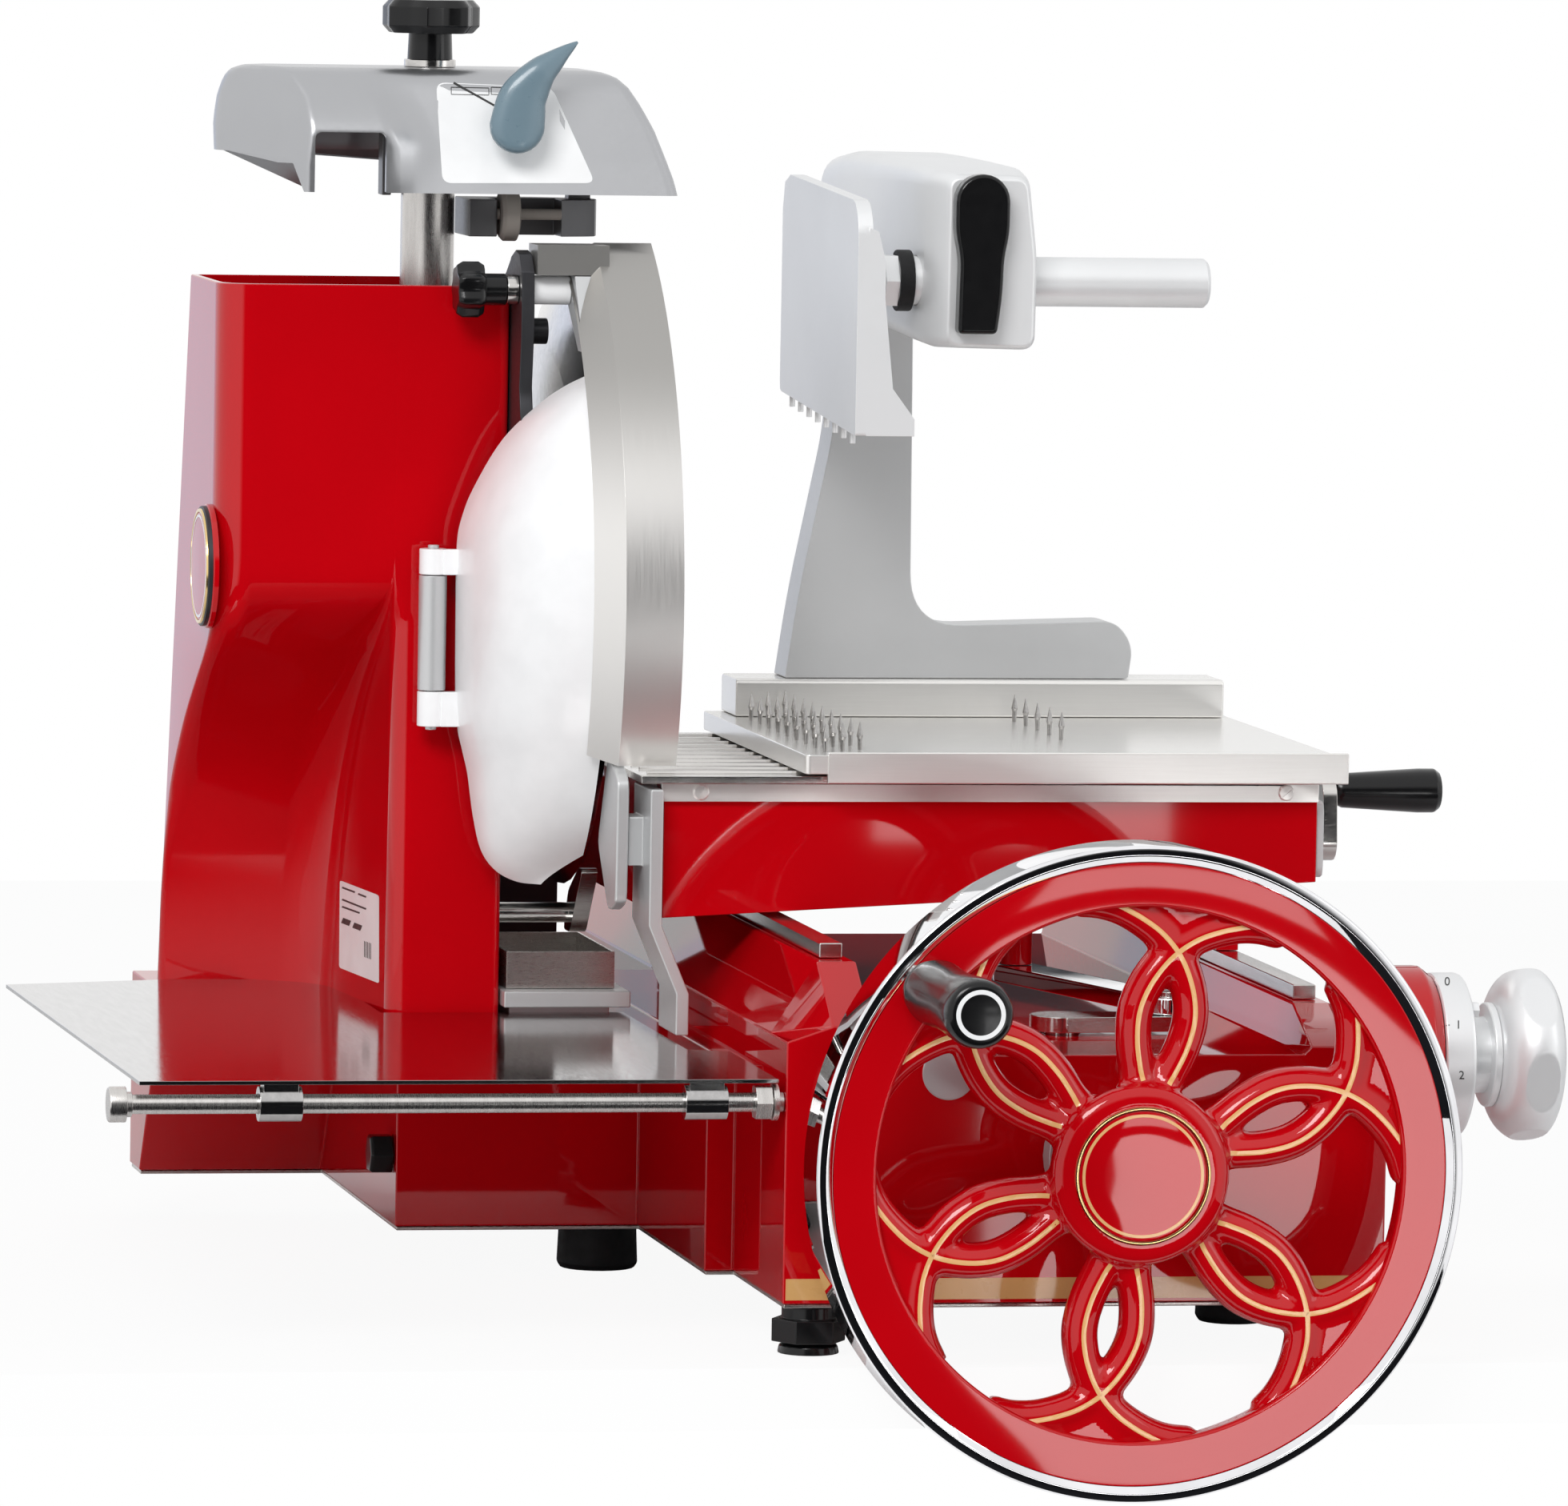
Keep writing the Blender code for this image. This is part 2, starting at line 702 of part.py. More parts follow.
def blade_frame():
    """The dark casting that carries the arbor, the guard's pin and the sharpener's post."""
    right = TOWER_RIGHT_X + GAP + FRAME_THICK
    left = TOWER_RIGHT_X + GAP
    ear_y = GUARD_PIN_Y
    outline = [
        (ear_y - 0.012, GUARD_PIN_Z + 0.018),
        (ear_y - 0.015, GUARD_PIN_Z - 0.018),
        (BLADE_Y - 0.088, BLADE_Z + 0.100),
        (BLADE_Y - 0.142, BLADE_Z + 0.040),
        (BLADE_Y - 0.142, BLADE_Z - 0.040),
        (BLADE_Y - 0.110, BLADE_Z - 0.100),
        (BLADE_Y - 0.050, BLADE_Z - 0.140),
        (BLADE_Y + 0.050, BLADE_Z - 0.140),
        (BLADE_Y + 0.110, BLADE_Z - 0.100),
        (BLADE_Y + 0.142, BLADE_Z),
        (BLADE_Y + 0.110, BLADE_Z + 0.100),
        (BLADE_Y + 0.050, BLADE_Z + 0.140),
        (ear_y + 0.030, GUARD_PIN_Z + 0.010),
        (ear_y + 0.016, GUARD_PIN_Z + 0.022),
    ]
    frame = prism("blade_frame", rounded(outline, 0.008, 2), "X", left, right, DARK)
    hub = cylinder("hub", "X", (BLADE_Y, BLADE_Z), FRAME_HUB_RADIUS, left - 0.010, right + 0.004, DARK)
    post_low = BLADE_Z + 0.085
    clamp = box(
        "post_clamp",
        (POST_X - POST_RADIUS - 0.006, POST_Y - 0.024, post_low),
        (right - 0.001, POST_Y + 0.024, post_low + 0.045),
        DARK,
    )
    rod_at = (GUARD_PIN_Y + 0.022, GUARD_PIN_Z - 0.023)
    rod = cylinder("rest_rod", "X", rod_at, 0.0070, right - 0.002, right + 0.013, STEEL, 16)
    combine(frame, [hub, clamp, rod])
    bore = cylinder(
        "arbor_bore", "X", (BLADE_Y, BLADE_Z), ARBOR_RADIUS + GAP, left - 0.02, right + 0.02, DARK, 20
    )
    post_bore = cylinder(
        "post_bore", "Z", (POST_X, POST_Y), POST_RADIUS + GAP, post_low - 0.01, post_low + 0.06, DARK
    )
    pin_bore = cylinder(
        "pin_bore", "X", (GUARD_PIN_Y, GUARD_PIN_Z), 0.0045 + GAP, left - 0.01, right + 0.01, DARK, 16
    )
    return cut(frame, [bore, post_bore, pin_bore])


def blade_disc():
    """A dished round blade, ground on its outer edge, with a hole for the arbor's nose."""
    edge = BLADE_EDGE_X
    back = edge - BLADE_DISH
    profile = [
        (edge, BLADE_RADIUS),
        (edge - 0.004, BLADE_RADIUS - 0.012),
        (back - 0.001, BLADE_RADIUS - 0.040),
        (back - BLADE_THICK, 0.030),
        (back - BLADE_THICK, ARBOR_RADIUS + GAP),
        (back, ARBOR_RADIUS + GAP),
        (back, 0.032),
        (back + BLADE_THICK, BLADE_RADIUS - 0.045),
        (edge - 0.001, BLADE_RADIUS - 0.012),
    ]
    return ring("blade_disc", profile, "X", (BLADE_Y, BLADE_Z), STEEL, 48)


def toothed(radius, teeth, height):
    """The outline of a sprocket or a spur wheel."""
    found = []
    for i in range(teeth):
        for share, reach in ((0.0, 0.0), (0.25, 0.0), (0.4, 1.0), (0.6, 1.0), (0.75, 0.0)):
            angle = 2 * math.pi * (i + share) / teeth
            grow = radius + height * reach
            found.append((grow * math.cos(angle), grow * math.sin(angle)))
    return found


def sprocket(name, centre, radius, teeth, low, high):
    outline = [(centre[0] + a, centre[1] + b) for a, b in toothed(radius - 0.004, teeth, 0.004)]
    return prism(name, outline, "X", low, high, DARK)


def blade_arbor():
    """The arbor with its nut, and the small sprocket that drives it."""
    back = BLADE_EDGE_X - BLADE_DISH - BLADE_THICK
    flange = 0.004
    shaft = turned(
        "blade_arbor",
        [
            (CHAIN_X - 0.012, 0),
            (CHAIN_X - 0.012, ARBOR_RADIUS),
            (back - GAP - flange, ARBOR_RADIUS),
            (back - GAP - flange, 0.022),
            (back - GAP, 0.022),
            (back - GAP, ARBOR_RADIUS),
            (back + 0.010, ARBOR_RADIUS),
            (back + 0.010, 0),
        ],
        "X",
        (BLADE_Y, BLADE_Z),
        STEEL,
        24,
    )
    low = CHAIN_X - CHAIN_WIDTH / 2
    wheel = sprocket(
        "arbor_sprocket", (BLADE_Y, BLADE_Z), ARBOR_SPROCKET_RADIUS, 12, low, low + CHAIN_WIDTH
    )
    return combine(shaft, [wheel])


def chain():
    """The closed chain as one band round both sprockets."""
    top = Vector((BLADE_Y, BLADE_Z))
    low = Vector((CROSS_Y, WHEEL_Z))
    run = top - low
    lean = math.degrees(math.atan2(run.y, run.x))
    spread = math.degrees(math.acos((DRIVE_SPROCKET_RADIUS - ARBOR_SPROCKET_RADIUS) / run.length))

    def loop(extra):
        lower = arc(low, DRIVE_SPROCKET_RADIUS + extra, lean + spread, lean + 360 - spread, 20)
        upper = arc(top, ARBOR_SPROCKET_RADIUS + extra, lean - spread, lean + spread, 12)
        return lower + upper

    play = 0.0008
    left = CHAIN_X - CHAIN_WIDTH / 2
    right = CHAIN_X + CHAIN_WIDTH / 2
    inner = loop(play)
    outer = loop(play + CHAIN_THICK)
    rings = []
    for (inner_y, inner_z), (outer_y, outer_z) in zip(inner, outer):
        rings.append(
            [
                (left, inner_y, inner_z),
                (right, inner_y, inner_z),
                (right, outer_y, outer_z),
                (left, outer_y, outer_z),
            ]
        )
    return lofted("drive_chain", rings, DARK, capped=False)


# Blade guard and its hardware


def swept(name, section, centre, start, end, steps, material):
    """A closed (x, radius) section swept along an arc in the YZ plane."""
    rings = []
    for i in range(steps + 1):
        angle = math.radians(start + (end - start) * i / steps)
        across = (math.cos(angle), math.sin(angle))
        rings.append([(x, centre[0] + r * across[0], centre[1] + r * across[1]) for x, r in section])
    return lofted(name, rings, material)


def blade_guard():
    right = GUARD_RIGHT_X
    left = right - GUARD_BAND_WIDTH
    outer = GUARD_RADIUS
    inner = outer - GUARD_SHEET
    section = [
        (right, outer),
        (right, inner),
        (left + 0.003, inner),
        (left + 0.003, outer - 0.0075),
        (left - 0.014, outer - 0.015),
        (left - 0.016, outer - 0.0125),
        (left - 0.001, outer),
    ]
    band = swept("blade_guard", section, (GUARD_Y, GUARD_Z), GUARD_LOW_ANGLE, GUARD_HIGH_ANGLE, 26, BRUSHED)
    arm_left = TOWER_RIGHT_X + FRAME_THICK + 4 * GAP
    low = GUARD_PIN_Z + 0.0085
    arm = box(
        "arm", (arm_left, GUARD_PIN_Y - 0.016, low), (left + 0.004, GUARD_PIN_Y + 0.012, low + 0.016), STEEL
    )
    combine(band, [arm])
    tab_room = prism("tab_room", tab_outline(GAP), "X", TAB_LEFT_X - GAP, TAB_LEFT_X + TAB_THICK + GAP, STEEL)
    spacer_room = cylinder(
        "spacer_room", "X", (GUARD_PIN_Y, GUARD_PIN_Z), 0.0078 + GAP, TAB_LEFT_X - 0.02, TAB_LEFT_X, STEEL
    )
    return cut(band, [tab_room, spacer_room])


def guard_pin():
    """The pin through the frame's ear, the white spacer's core and the guard's tab."""
    left = TOWER_RIGHT_X - 0.006
    right = GUARD_RIGHT_X - GUARD_BAND_WIDTH - 0.004
    at = (GUARD_PIN_Y, GUARD_PIN_Z)
    rod = cylinder("guard_pin", "X", at, 0.0045, left, right, STEEL, 16)
    washer = cylinder("washer", "X", at, 0.008, left, TOWER_RIGHT_X, STEEL, 16)
    return combine(rod, [washer])


def guard_spacer():
    left = TOWER_RIGHT_X + FRAME_THICK + 3 * GAP
    right = TAB_LEFT_X - GAP
    profile = [
        (left, 0.0045 + GAP),
        (right, 0.0045 + GAP),
        (right, 0.0078),
        (left, 0.0078),
    ]
    return ring("guard_spacer", profile, "X", (GUARD_PIN_Y, GUARD_PIN_Z), WHITE, 24)


def tab_outline(grow):
    """The tab from the pin down along the blade's edge; a grown one clears it in the guard."""
    return [
        (GUARD_PIN_Y + 0.008 + grow, GUARD_PIN_Z + 0.0080 + grow),
        (GUARD_PIN_Y + 0.010 + grow, GUARD_PIN_Z - 0.003),
        (GUARD_PIN_Y + 0.002, GUARD_PIN_Z - 0.0095 - grow),
        (GUARD_PIN_Y - 0.029, GUARD_PIN_Z - 0.031 - grow),
        (GUARD_PIN_Y - 0.039, GUARD_PIN_Z - 0.031 - grow),
        (GUARD_PIN_Y - 0.040 - grow, GUARD_PIN_Z - 0.024),
        (GUARD_PIN_Y - 0.016 - grow, GUARD_PIN_Z + 0.0080 + grow),
    ]


def guard_tab():
    """The cast tab between the spacer and the guard, hung on the same pin."""
    low = TAB_LEFT_X
    high = low + TAB_THICK
    tab = prism("guard_tab", tab_outline(0.0), "X", low, high, CAST)
    bore = cylinder(
        "bore", "X", (GUARD_PIN_Y, GUARD_PIN_Z), 0.0045 + GAP, low - 0.01, high + 0.01, CAST, 16
    )
    return cut(tab, [bore])


def guard_knob():
    right = TOWER_RIGHT_X - 0.006 - GAP
    at = (GUARD_PIN_Y, GUARD_PIN_Z)
    knob = lobed_knob("guard_knob", "X", at, GUARD_KNOB_RADIUS, 0.003, 7, right - 0.027, right - 0.012, BLACK)
    neck = cylinder("neck", "X", at, 0.0085, right - 0.014, right, BLACK, 20)
    return combine(knob, [neck])


def deflector():
    """The cast plate that carries the guard's circle on below the table's height."""
    right = GUARD_RIGHT_X - GUARD_BAND_WIDTH + 0.003
    outline = [
        (0.2215, 0.2572),
        (0.208, 0.2515),
        (0.210, 0.186),
        (0.232, 0.180),
        (0.266, 0.214),
        (0.240, 0.262),
    ]
    return prism("slice_deflector", rounded(outline, 0.006, 3), "X", right - 0.0065, right, CAST)


def deflector_arm():
    """A bent flat bar from the base's left wall to the deflector."""
    thick = 0.007
    foot_x = SIDE_STEP_X - GAP - thick
    upright = GUARD_RIGHT_X - 0.0185
    front = 0.192
    path = [
        (foot_x, TRAY_Z + 0.002),
        (foot_x, 0.140),
        (upright, 0.176),
        (upright, CARRIAGE_TOP_Z - 0.003),
    ]
    outline = path + [(x + thick, z) for x, z in path[::-1]]
    bar = prism("deflector_arm", outline, "Y", front, front + 0.050, CAST)
    lug_right = upright + 0.002
    lug = box(
        "lug", (GUARD_RIGHT_X - GUARD_BAND_WIDTH + 0.003 + GAP, 0.212, 0.206), (lug_right, 0.234, 0.232), CAST
    )
    return combine(bar, [lug])


# Blade cover


def cover_point(share_up, share_across, inset):
    """A point of the domed cover between its hinge side and its edge along the blade."""
    z = COVER_LOW_Z + (COVER_TOP_Z - COVER_LOW_Z) * share_up
    reach = BLADE_RADIUS + COVER_CLEARANCE - inset
    edge_y = BLADE_Y - math.sqrt(reach**2 - (z - BLADE_Z) ** 2)
    swell = math.sin(math.pi * min(1.0, max(0.0, 0.04 + 0.92 * share_up))) ** 0.45
    hinge_side_x = COVER_EDGE_X - (COVER_EDGE_X - HINGE_X - 0.012) * swell + inset
    hinge_side_y = HINGE_Y - 0.004 - (1 - swell) * 0.03
    crest = Vector((hinge_side_x + 0.004, edge_y + 0.018 + inset))
    start = Vector((hinge_side_x, hinge_side_y))
    end = Vector((COVER_EDGE_X, edge_y + inset * 0.3))
    t = share_across
    flat = start * (1 - t) ** 2 + crest * 2 * t * (1 - t) + end * t**2
    return (flat.x, flat.y, z)


def blade_cover():
    rows = 14
    columns = 10
    rings = []
    for i in range(rows + 1):
        outside = [cover_point(i / rows, j / columns, 0.0) for j in range(columns + 1)]
        inside = [cover_point(i / rows, j / columns, COVER_SHEET) for j in range(columns + 1)]
        rings.append(outside + inside[::-1])
    cover = lofted("blade_cover", rings, WHITE)
    knuckles = []
    for low, high in ((HINGE_LOW_Z - 0.019, HINGE_LOW_Z - GAP), (HINGE_HIGH_Z + GAP, HINGE_HIGH_Z + 0.014)):
        knuckles.append(cylinder("knuckle", "Z", (HINGE_X, HINGE_Y), HINGE_RADIUS, low, high, WHITE, 20))
        tab = box(
            "tab", (HINGE_X, HINGE_Y - HINGE_RADIUS, low), (HINGE_X + 0.016, HINGE_Y - 0.001, high), WHITE
        )
        knuckles.append(tab)
    combine(cover, knuckles)
    bore = cylinder(
        "bore",
        "Z",
        (HINGE_X, HINGE_Y),
        0.003 + GAP,
        HINGE_LOW_Z - 0.03,
        HINGE_HIGH_Z + 0.03,
        WHITE,
        16,
    )
    return cut(cover, [bore])


def hinge_tube():
    """The fixed knuckle on the tower's panel with the pin through all three."""
    at = (HINGE_X, HINGE_Y)
    low = HINGE_LOW_Z + GAP
    high = HINGE_HIGH_Z - GAP
    tube = cylinder("hinge_tube", "Z", at, HINGE_RADIUS, low, high, STEEL, 24)
    lug = box(
        "lug",
        (HINGE_X - 0.005, HINGE_Y, low + 0.004),
        (HINGE_X + 0.005, PANEL_FRONT_Y - GAP, high - 0.004),
        STEEL,
    )
    pin = cylinder("pin", "Z", at, 0.003, HINGE_LOW_Z - 0.021, HINGE_HIGH_Z + 0.016, STEEL, 16)
    return combine(tube, [lug, pin])


# Sharpener


def sharpener_ring(z_front, z_left, grow, wall):
    """The sharpener cover's outline: a long front, a slanted left end and a square right end."""
    front = SHARP_FRONT_Y + grow + wall
    back = SHARP_BACK_Y - grow - wall
    left = SHARP_LEFT_X + grow * 0.6 + wall
    right = SHARP_RIGHT_X - grow * 1.7 - wall
    outline = [
        (right, front, z_front),
        (SHARP_LEFT_X + 0.050 + grow * 0.4 + wall, front, z_front),
        (left, front + 0.062 - grow, z_left),
        (left, back, z_left),
        (right, back, z_front),
    ]
    flat = rounded([(x, y) for x, y, _ in outline], 0.008, 3)
    ring_points = []
    for i, (x, y) in enumerate(flat):
        ring_points.append((x, y, outline[i // 3][2]))
    return ring_points


def sharpener_cover():
    low = SHARP_LOW_Z
    top = SHARP_TOP_Z
    wall = SHARP_WALL
    outside = [
        sharpener_ring(low, low + 0.016, 0.0, 0.0),
        sharpener_ring(low + 0.030, low + 0.034, 0.009, 0.0),
        sharpener_ring(top - 0.004, top - 0.006, 0.019, 0.0),
        sharpener_ring(top, top - 0.001, 0.023, 0.0),
    ]
    inside = [
        sharpener_ring(low - 0.002, low - 0.002, 0.0, wall),
        sharpener_ring(low + 0.030, low + 0.034, 0.009, wall),
        sharpener_ring(top - wall, top - wall - 0.002, 0.019, wall),
    ]
    shell = lofted("sharpener_cover", outside, CAST)
    room = lofted("room", inside, CAST)
    notch_left = SHARP_LEFT_X + 0.054
    notch = [
        (notch_left, low - 0.01),
        (notch_left + 0.046, low - 0.01),
        (notch_left + 0.046, low + 0.030),
        (notch_left, low + 0.030),
    ]
    arch = prism("notch", rounded(notch, 0.006, 3), "Y", SHARP_FRONT_Y - 0.02, SHARP_FRONT_Y + 0.03, CAST)
    cut(shell, [room])
    cut(shell, [arch])
    boss_top = top - 0.001
    boss = cylinder("boss", "Z", (POST_X, POST_Y), 0.020, POST_TOP_Z + GAP, boss_top, CAST, 24)
    ribs = box(
        "rib",
        (SHARP_LEFT_X + 0.06, POST_Y - 0.003, low + 0.012),
        (SHARP_RIGHT_X - 0.05, POST_Y + 0.003, top - 0.002),
        CAST,
    )
    combine(shell, [boss, ribs])
    bore = cylinder(
        "post_room", "Z", (POST_X, POST_Y), POST_RADIUS + 0.004, low - 0.01, POST_TOP_Z + GAP, CAST, 24
    )
    stem = cylinder("stem_bore", "Z", (POST_X, POST_Y), 0.005 + GAP, low, top + 0.01, CAST, 16)
    well = box(
        "stone_room", (-0.098, POST_Y - 0.030, low - 0.01), (-0.034, POST_Y + 0.030, low + 0.028), CAST
    )
    pivot = cylinder(
        "pivot_bore",
        "Y",
        (LEVER_X, LEVER_Z),
        0.006 + GAP,
        SHARP_FRONT_Y - 0.01,
        SHARP_FRONT_Y + 0.03,
        CAST,
        16,
    )
    return cut(shell, [bore, stem, well, pivot])


def sharpener_saddle():
    """The casting that grips the post under the cover and carries both stones."""
    low = SHARP_LOW_Z - 0.024
    high = SHARP_LOW_Z - 0.004
    outline = [
        (POST_X - 0.024, POST_Y - 0.022),
        (POST_X + 0.024, POST_Y - 0.026),
        (POST_X + 0.060, POST_Y - 0.022),
        (POST_X + 0.092, POST_Y - 0.010),
        (POST_X + 0.092, POST_Y + 0.010),
        (POST_X + 0.060, POST_Y + 0.022),
        (POST_X - 0.024, POST_Y + 0.022),
    ]
    body = prism("sharpener_saddle", rounded(outline, 0.008, 3), "Z", low, high, CAST)
    prop = box(
        "prop",
        (POST_X + 0.076, POST_Y - 0.006, high - 0.002),
        (POST_X + 0.088, POST_Y + 0.006, SHARP_LOW_Z + 0.0235),
        CAST,
    )
    left_prop = box(
        "left_prop",
        (POST_X - 0.024, POST_Y + 0.006, high - 0.002),
        (POST_X - 0.019, POST_Y + 0.020, SHARP_TOP_Z - SHARP_WALL - 0.004),
        CAST,
    )
    combine(body, [prop, left_prop])
    bore = cylinder("bore", "Z", (POST_X, POST_Y), POST_RADIUS + GAP, low - 0.01, high + 0.09, CAST, 24)
    room = box(
        "stones",
        (POST_X + 0.034, POST_Y - 0.040, low - 0.01),
        (POST_X + 0.070, POST_Y + 0.004, high + 0.01),
        CAST,
    )
    return cut(body, [bore, room])


def stone(name, x, y):
    """A small grinding wheel on its own spindle."""
    z = SHARP_LOW_Z - 0.012
    wheel = turned(
        name,
        [(x, 0), (x, 0.0125), (x + 0.002, 0.0145), (x + 0.009, 0.0145), (x + 0.010, 0.012), (x + 0.010, 0)],
        "X",
        (y, z),
        STONE,
        24,
    )
    spindle = cylinder("spindle", "X", (y, z), 0.003, POST_X + 0.034 + GAP, POST_X + 0.070 - GAP, STEEL, 12)
    return combine(wheel, [spindle])


def top_knob():
    at = (POST_X, POST_Y)
    collar_low = SHARP_TOP_Z + GAP
    knob = lobed_knob(
        "sharpener_knob", "Z", at, TOP_KNOB_RADIUS, 0.004, 7, collar_low + 0.018, collar_low + 0.036, BLACK
    )
    neck = turned(
        "neck",
        [
            (collar_low, 0),
            (collar_low, 0.0122),
            (collar_low + 0.005, 0.0122),
            (collar_low + 0.019, 0.0116),
            (collar_low + 0.019, 0),
        ],
        "Z",
        at,
        BLACK,
        24,
    )
    stem = cylinder("stem", "Z", at, 0.005, POST_TOP_Z + 2 * GAP, collar_low + 0.002, STEEL, 16)
    return combine(knob, [neck, stem])


def sharpener_lever():
    """A horn shaped lever: a round foot that sweeps up into a curved tip."""
    spine = [
        (LEVER_X - 0.001, LEVER_Z - 0.017, 0.006),
        (LEVER_X - 0.002, LEVER_Z - 0.012, 0.0125),
        (LEVER_X - 0.001, LEVER_Z, 0.0155),
        (LEVER_X + 0.002, LEVER_Z + 0.014, 0.0145),
        (LEVER_X + 0.009, LEVER_Z + 0.026, 0.0115),
        (LEVER_X + 0.018, LEVER_Z + 0.035, 0.0070),
        (LEVER_X + 0.030, LEVER_Z + 0.042, 0.0020),
    ]
    rings = []
    for i, (x, z, half) in enumerate(spine):
        before = Vector(spine[max(i - 1, 0)][:2])
        after = Vector(spine[min(i + 1, len(spine) - 1)][:2])
        side = (after - before).normalized().orthogonal()
        front = SHARP_FRONT_Y - 0.013
        deep = min(0.0055, half * 0.8 + 0.001)
        ring_points = []
        for k in range(12):
            angle = 2 * math.pi * k / 12
            across = side * half * math.cos(angle)
            ring_points.append((x + across.x, front + deep * math.sin(angle), z + across.y))
        rings.append(ring_points)
    horn = lofted("sharpener_lever", rings, LEVER_BLUE)
    stub = cylinder(
        "stub", "Y", (LEVER_X, LEVER_Z), 0.006, SHARP_FRONT_Y - 0.013, SHARP_FRONT_Y + 0.012, LEVER_BLUE, 16
    )
    return combine(horn, [stub])


# Slice tray, its rod and the drip box


def slice_tray():
    right = SIDE_STEP_X - 0.010
    outline = [
        (TRAY_LEFT_X + 0.006, 0.0),
        (-0.004, 0.0),
        (-0.004, SIDE_STEP_Y - 0.004),
        (right, SIDE_STEP_Y + 0.004),
        (right, PANEL_FRONT_Y - 0.004),
        (PANEL_LEFT_X - 0.004, PANEL_FRONT_Y - 0.004),
        (PANEL_LEFT_X - 0.004, TRAY_DEPTH - 0.034),
        (PANEL_LEFT_X - 0.034, TRAY_DEPTH - 0.004),
        (WING_LEFT_X, TRAY_DEPTH - 0.004),
        (TRAY_LEFT_X, TRAY_DEPTH - 0.030),
    ]
    plate = prism("slice_tray", outline, "Z", TRAY_Z - TRAY_THICK, TRAY_Z, STEEL)
    sleeves = []
    for x in (TRAY_LEFT_X + 0.068, TRAY_LEFT_X + 0.288):
        at = (TRAY_ROD_Y, TRAY_ROD_Z)
        sleeves.append(cylinder("sleeve", "X", at, TRAY_ROD_RADIUS + 0.004, x, x + 0.022, WHITE, 20))
        lug = box(
            "lug",
            (x + 0.002, TRAY_ROD_Y - 0.006, TRAY_ROD_Z),
            (x + 0.020, TRAY_ROD_Y + 0.006, TRAY_Z - 0.0005),
            WHITE,
        )
        sleeves.append(lug)
    combine(plate, sleeves)
    at = (TRAY_ROD_Y, TRAY_ROD_Z)
    bore = cylinder("bore", "X", at, TRAY_ROD_RADIUS + GAP, TRAY_LEFT_X - 0.02, 0.0, STEEL, 20)
    return cut(plate, [bore])


def tray_rod():
    """The rod that the tray hangs on, with its knurled cap, stop lug, nut and washer."""
    at = (TRAY_ROD_Y, TRAY_ROD_Z)
    right = -GAP
    left = TRAY_ROD_LEFT_X
    rod = turned(
        "tray_rod",
        [
            (left, 0),
            (left, 0.0085),
            (left + 0.001, 0.0092),
            (left + 0.009, 0.0092),
            (left + 0.009, 0.0065),
            (left + 0.012, 0.0065),
            (left + 0.012, TRAY_ROD_RADIUS),
            (right - 0.006, TRAY_ROD_RADIUS),
            (right - 0.006, 0.0095),
            (right - 0.003, 0.0095),
            (right - 0.003, TRAY_ROD_RADIUS),
            (right, TRAY_ROD_RADIUS),
            (right, 0),
        ],
        "X",
        at,
        STEEL,
        20,
    )
    nut = cylinder("nut", "X", at, 0.0095, right - 0.015, right - 0.0065, STEEL, 6)
    return combine(rod, [nut])


def drip_box():
    """The folded steel box that catches crumbs under the blade."""
    left = -0.088
    right = -0.029
    front = 0.338
    low = TRAY_Z + 0.012
    outer = box("drip_box", (left, front, low), (right, front + 0.110, low + 0.020), BRUSHED)
    room = box(
        "room",
        (left + 0.0015, front + 0.0015, low + 0.0015),
        (right - 0.0015, front + 0.1085, low + 0.03),
        BRUSHED,
    )
    return cut(outer, [room])


def drip_shelf():
    """The cast shelf that the box stands on, seated on the base's side block."""
    low = WING_TOP_Z + GAP
    left = TOWER_RIGHT_X + 0.001
    shelf = box("drip_shelf", (left, 0.326, TRAY_Z + 0.003), (-0.022, 0.452, TRAY_Z + 0.0117), CAST)
    stem = box("stem", (left + 0.006, 0.346, low), (-0.030, 0.440, TRAY_Z + 0.004), CAST)
    return combine(shelf, [stem])


def lower_arm():
    """The rod and cast arm that steady the frame below the blade."""
    left = TOWER_RIGHT_X + GAP
    at = (0.352, 0.168)
    rod = cylinder("lower_arm", "X", at, 0.0055, left, -0.051, STEEL, 16)
    outline = [
        (0.343, 0.158),
        (0.362, 0.158),
        (0.350, 0.180),
        (0.318, 0.196),
        (0.308, 0.194),
        (0.330, 0.172),
    ]
    arm = prism("arm", rounded(outline, 0.004, 3), "X", -0.053, -0.044, CAST)
    return combine(rod, [arm])


# Flywheel


def petal_path(mirror):
    """One arm of a petal: out from the hub, round its eye, across its twin and into the rim."""
    knots = [
        (HUB_RADIUS - 0.008, -0.0050),
        (0.066, -0.0125),
        (0.084, -PETAL_BULGE),
        (0.100, -0.0095),
        (PETAL_CROSSING, 0.0),
        (0.126, 0.016),
        (0.133, 0.030),
    ]
    return [(r, side * mirror) for r, side in knots]


def petal_arm(index, mirror):
    phase = math.radians(PETAL_PHASE + 360 / PETALS * index)
    knots = petal_path(mirror)
    centre_y = WHEEL_FRONT_Y + 0.013
    rings = []
    for i, (r, side) in enumerate(knots):
        before = Vector(knots[max(i - 1, 0)])
        after = Vector(knots[min(i + 1, len(knots) - 1)])
        run = (after - before).normalized()
        across = Vector((-run.y, run.x))
        ring_points = []
        for k in range(8):
            angle = 2 * math.pi * (k + 0.5) / 8
            spot = Vector((r, side)) + across * PETAL_TUBE * math.cos(angle)
            depth = centre_y + PETAL_TUBE * 1.15 * math.sin(angle)
            x = WHEEL_X + spot.x * math.cos(phase) - spot.y * math.sin(phase)
            z = WHEEL_Z + spot.x * math.sin(phase) + spot.y * math.cos(phase)
            ring_points.append((x, depth, z))
        rings.append(ring_points)
    return lofted("petal_arm", rings, RED)


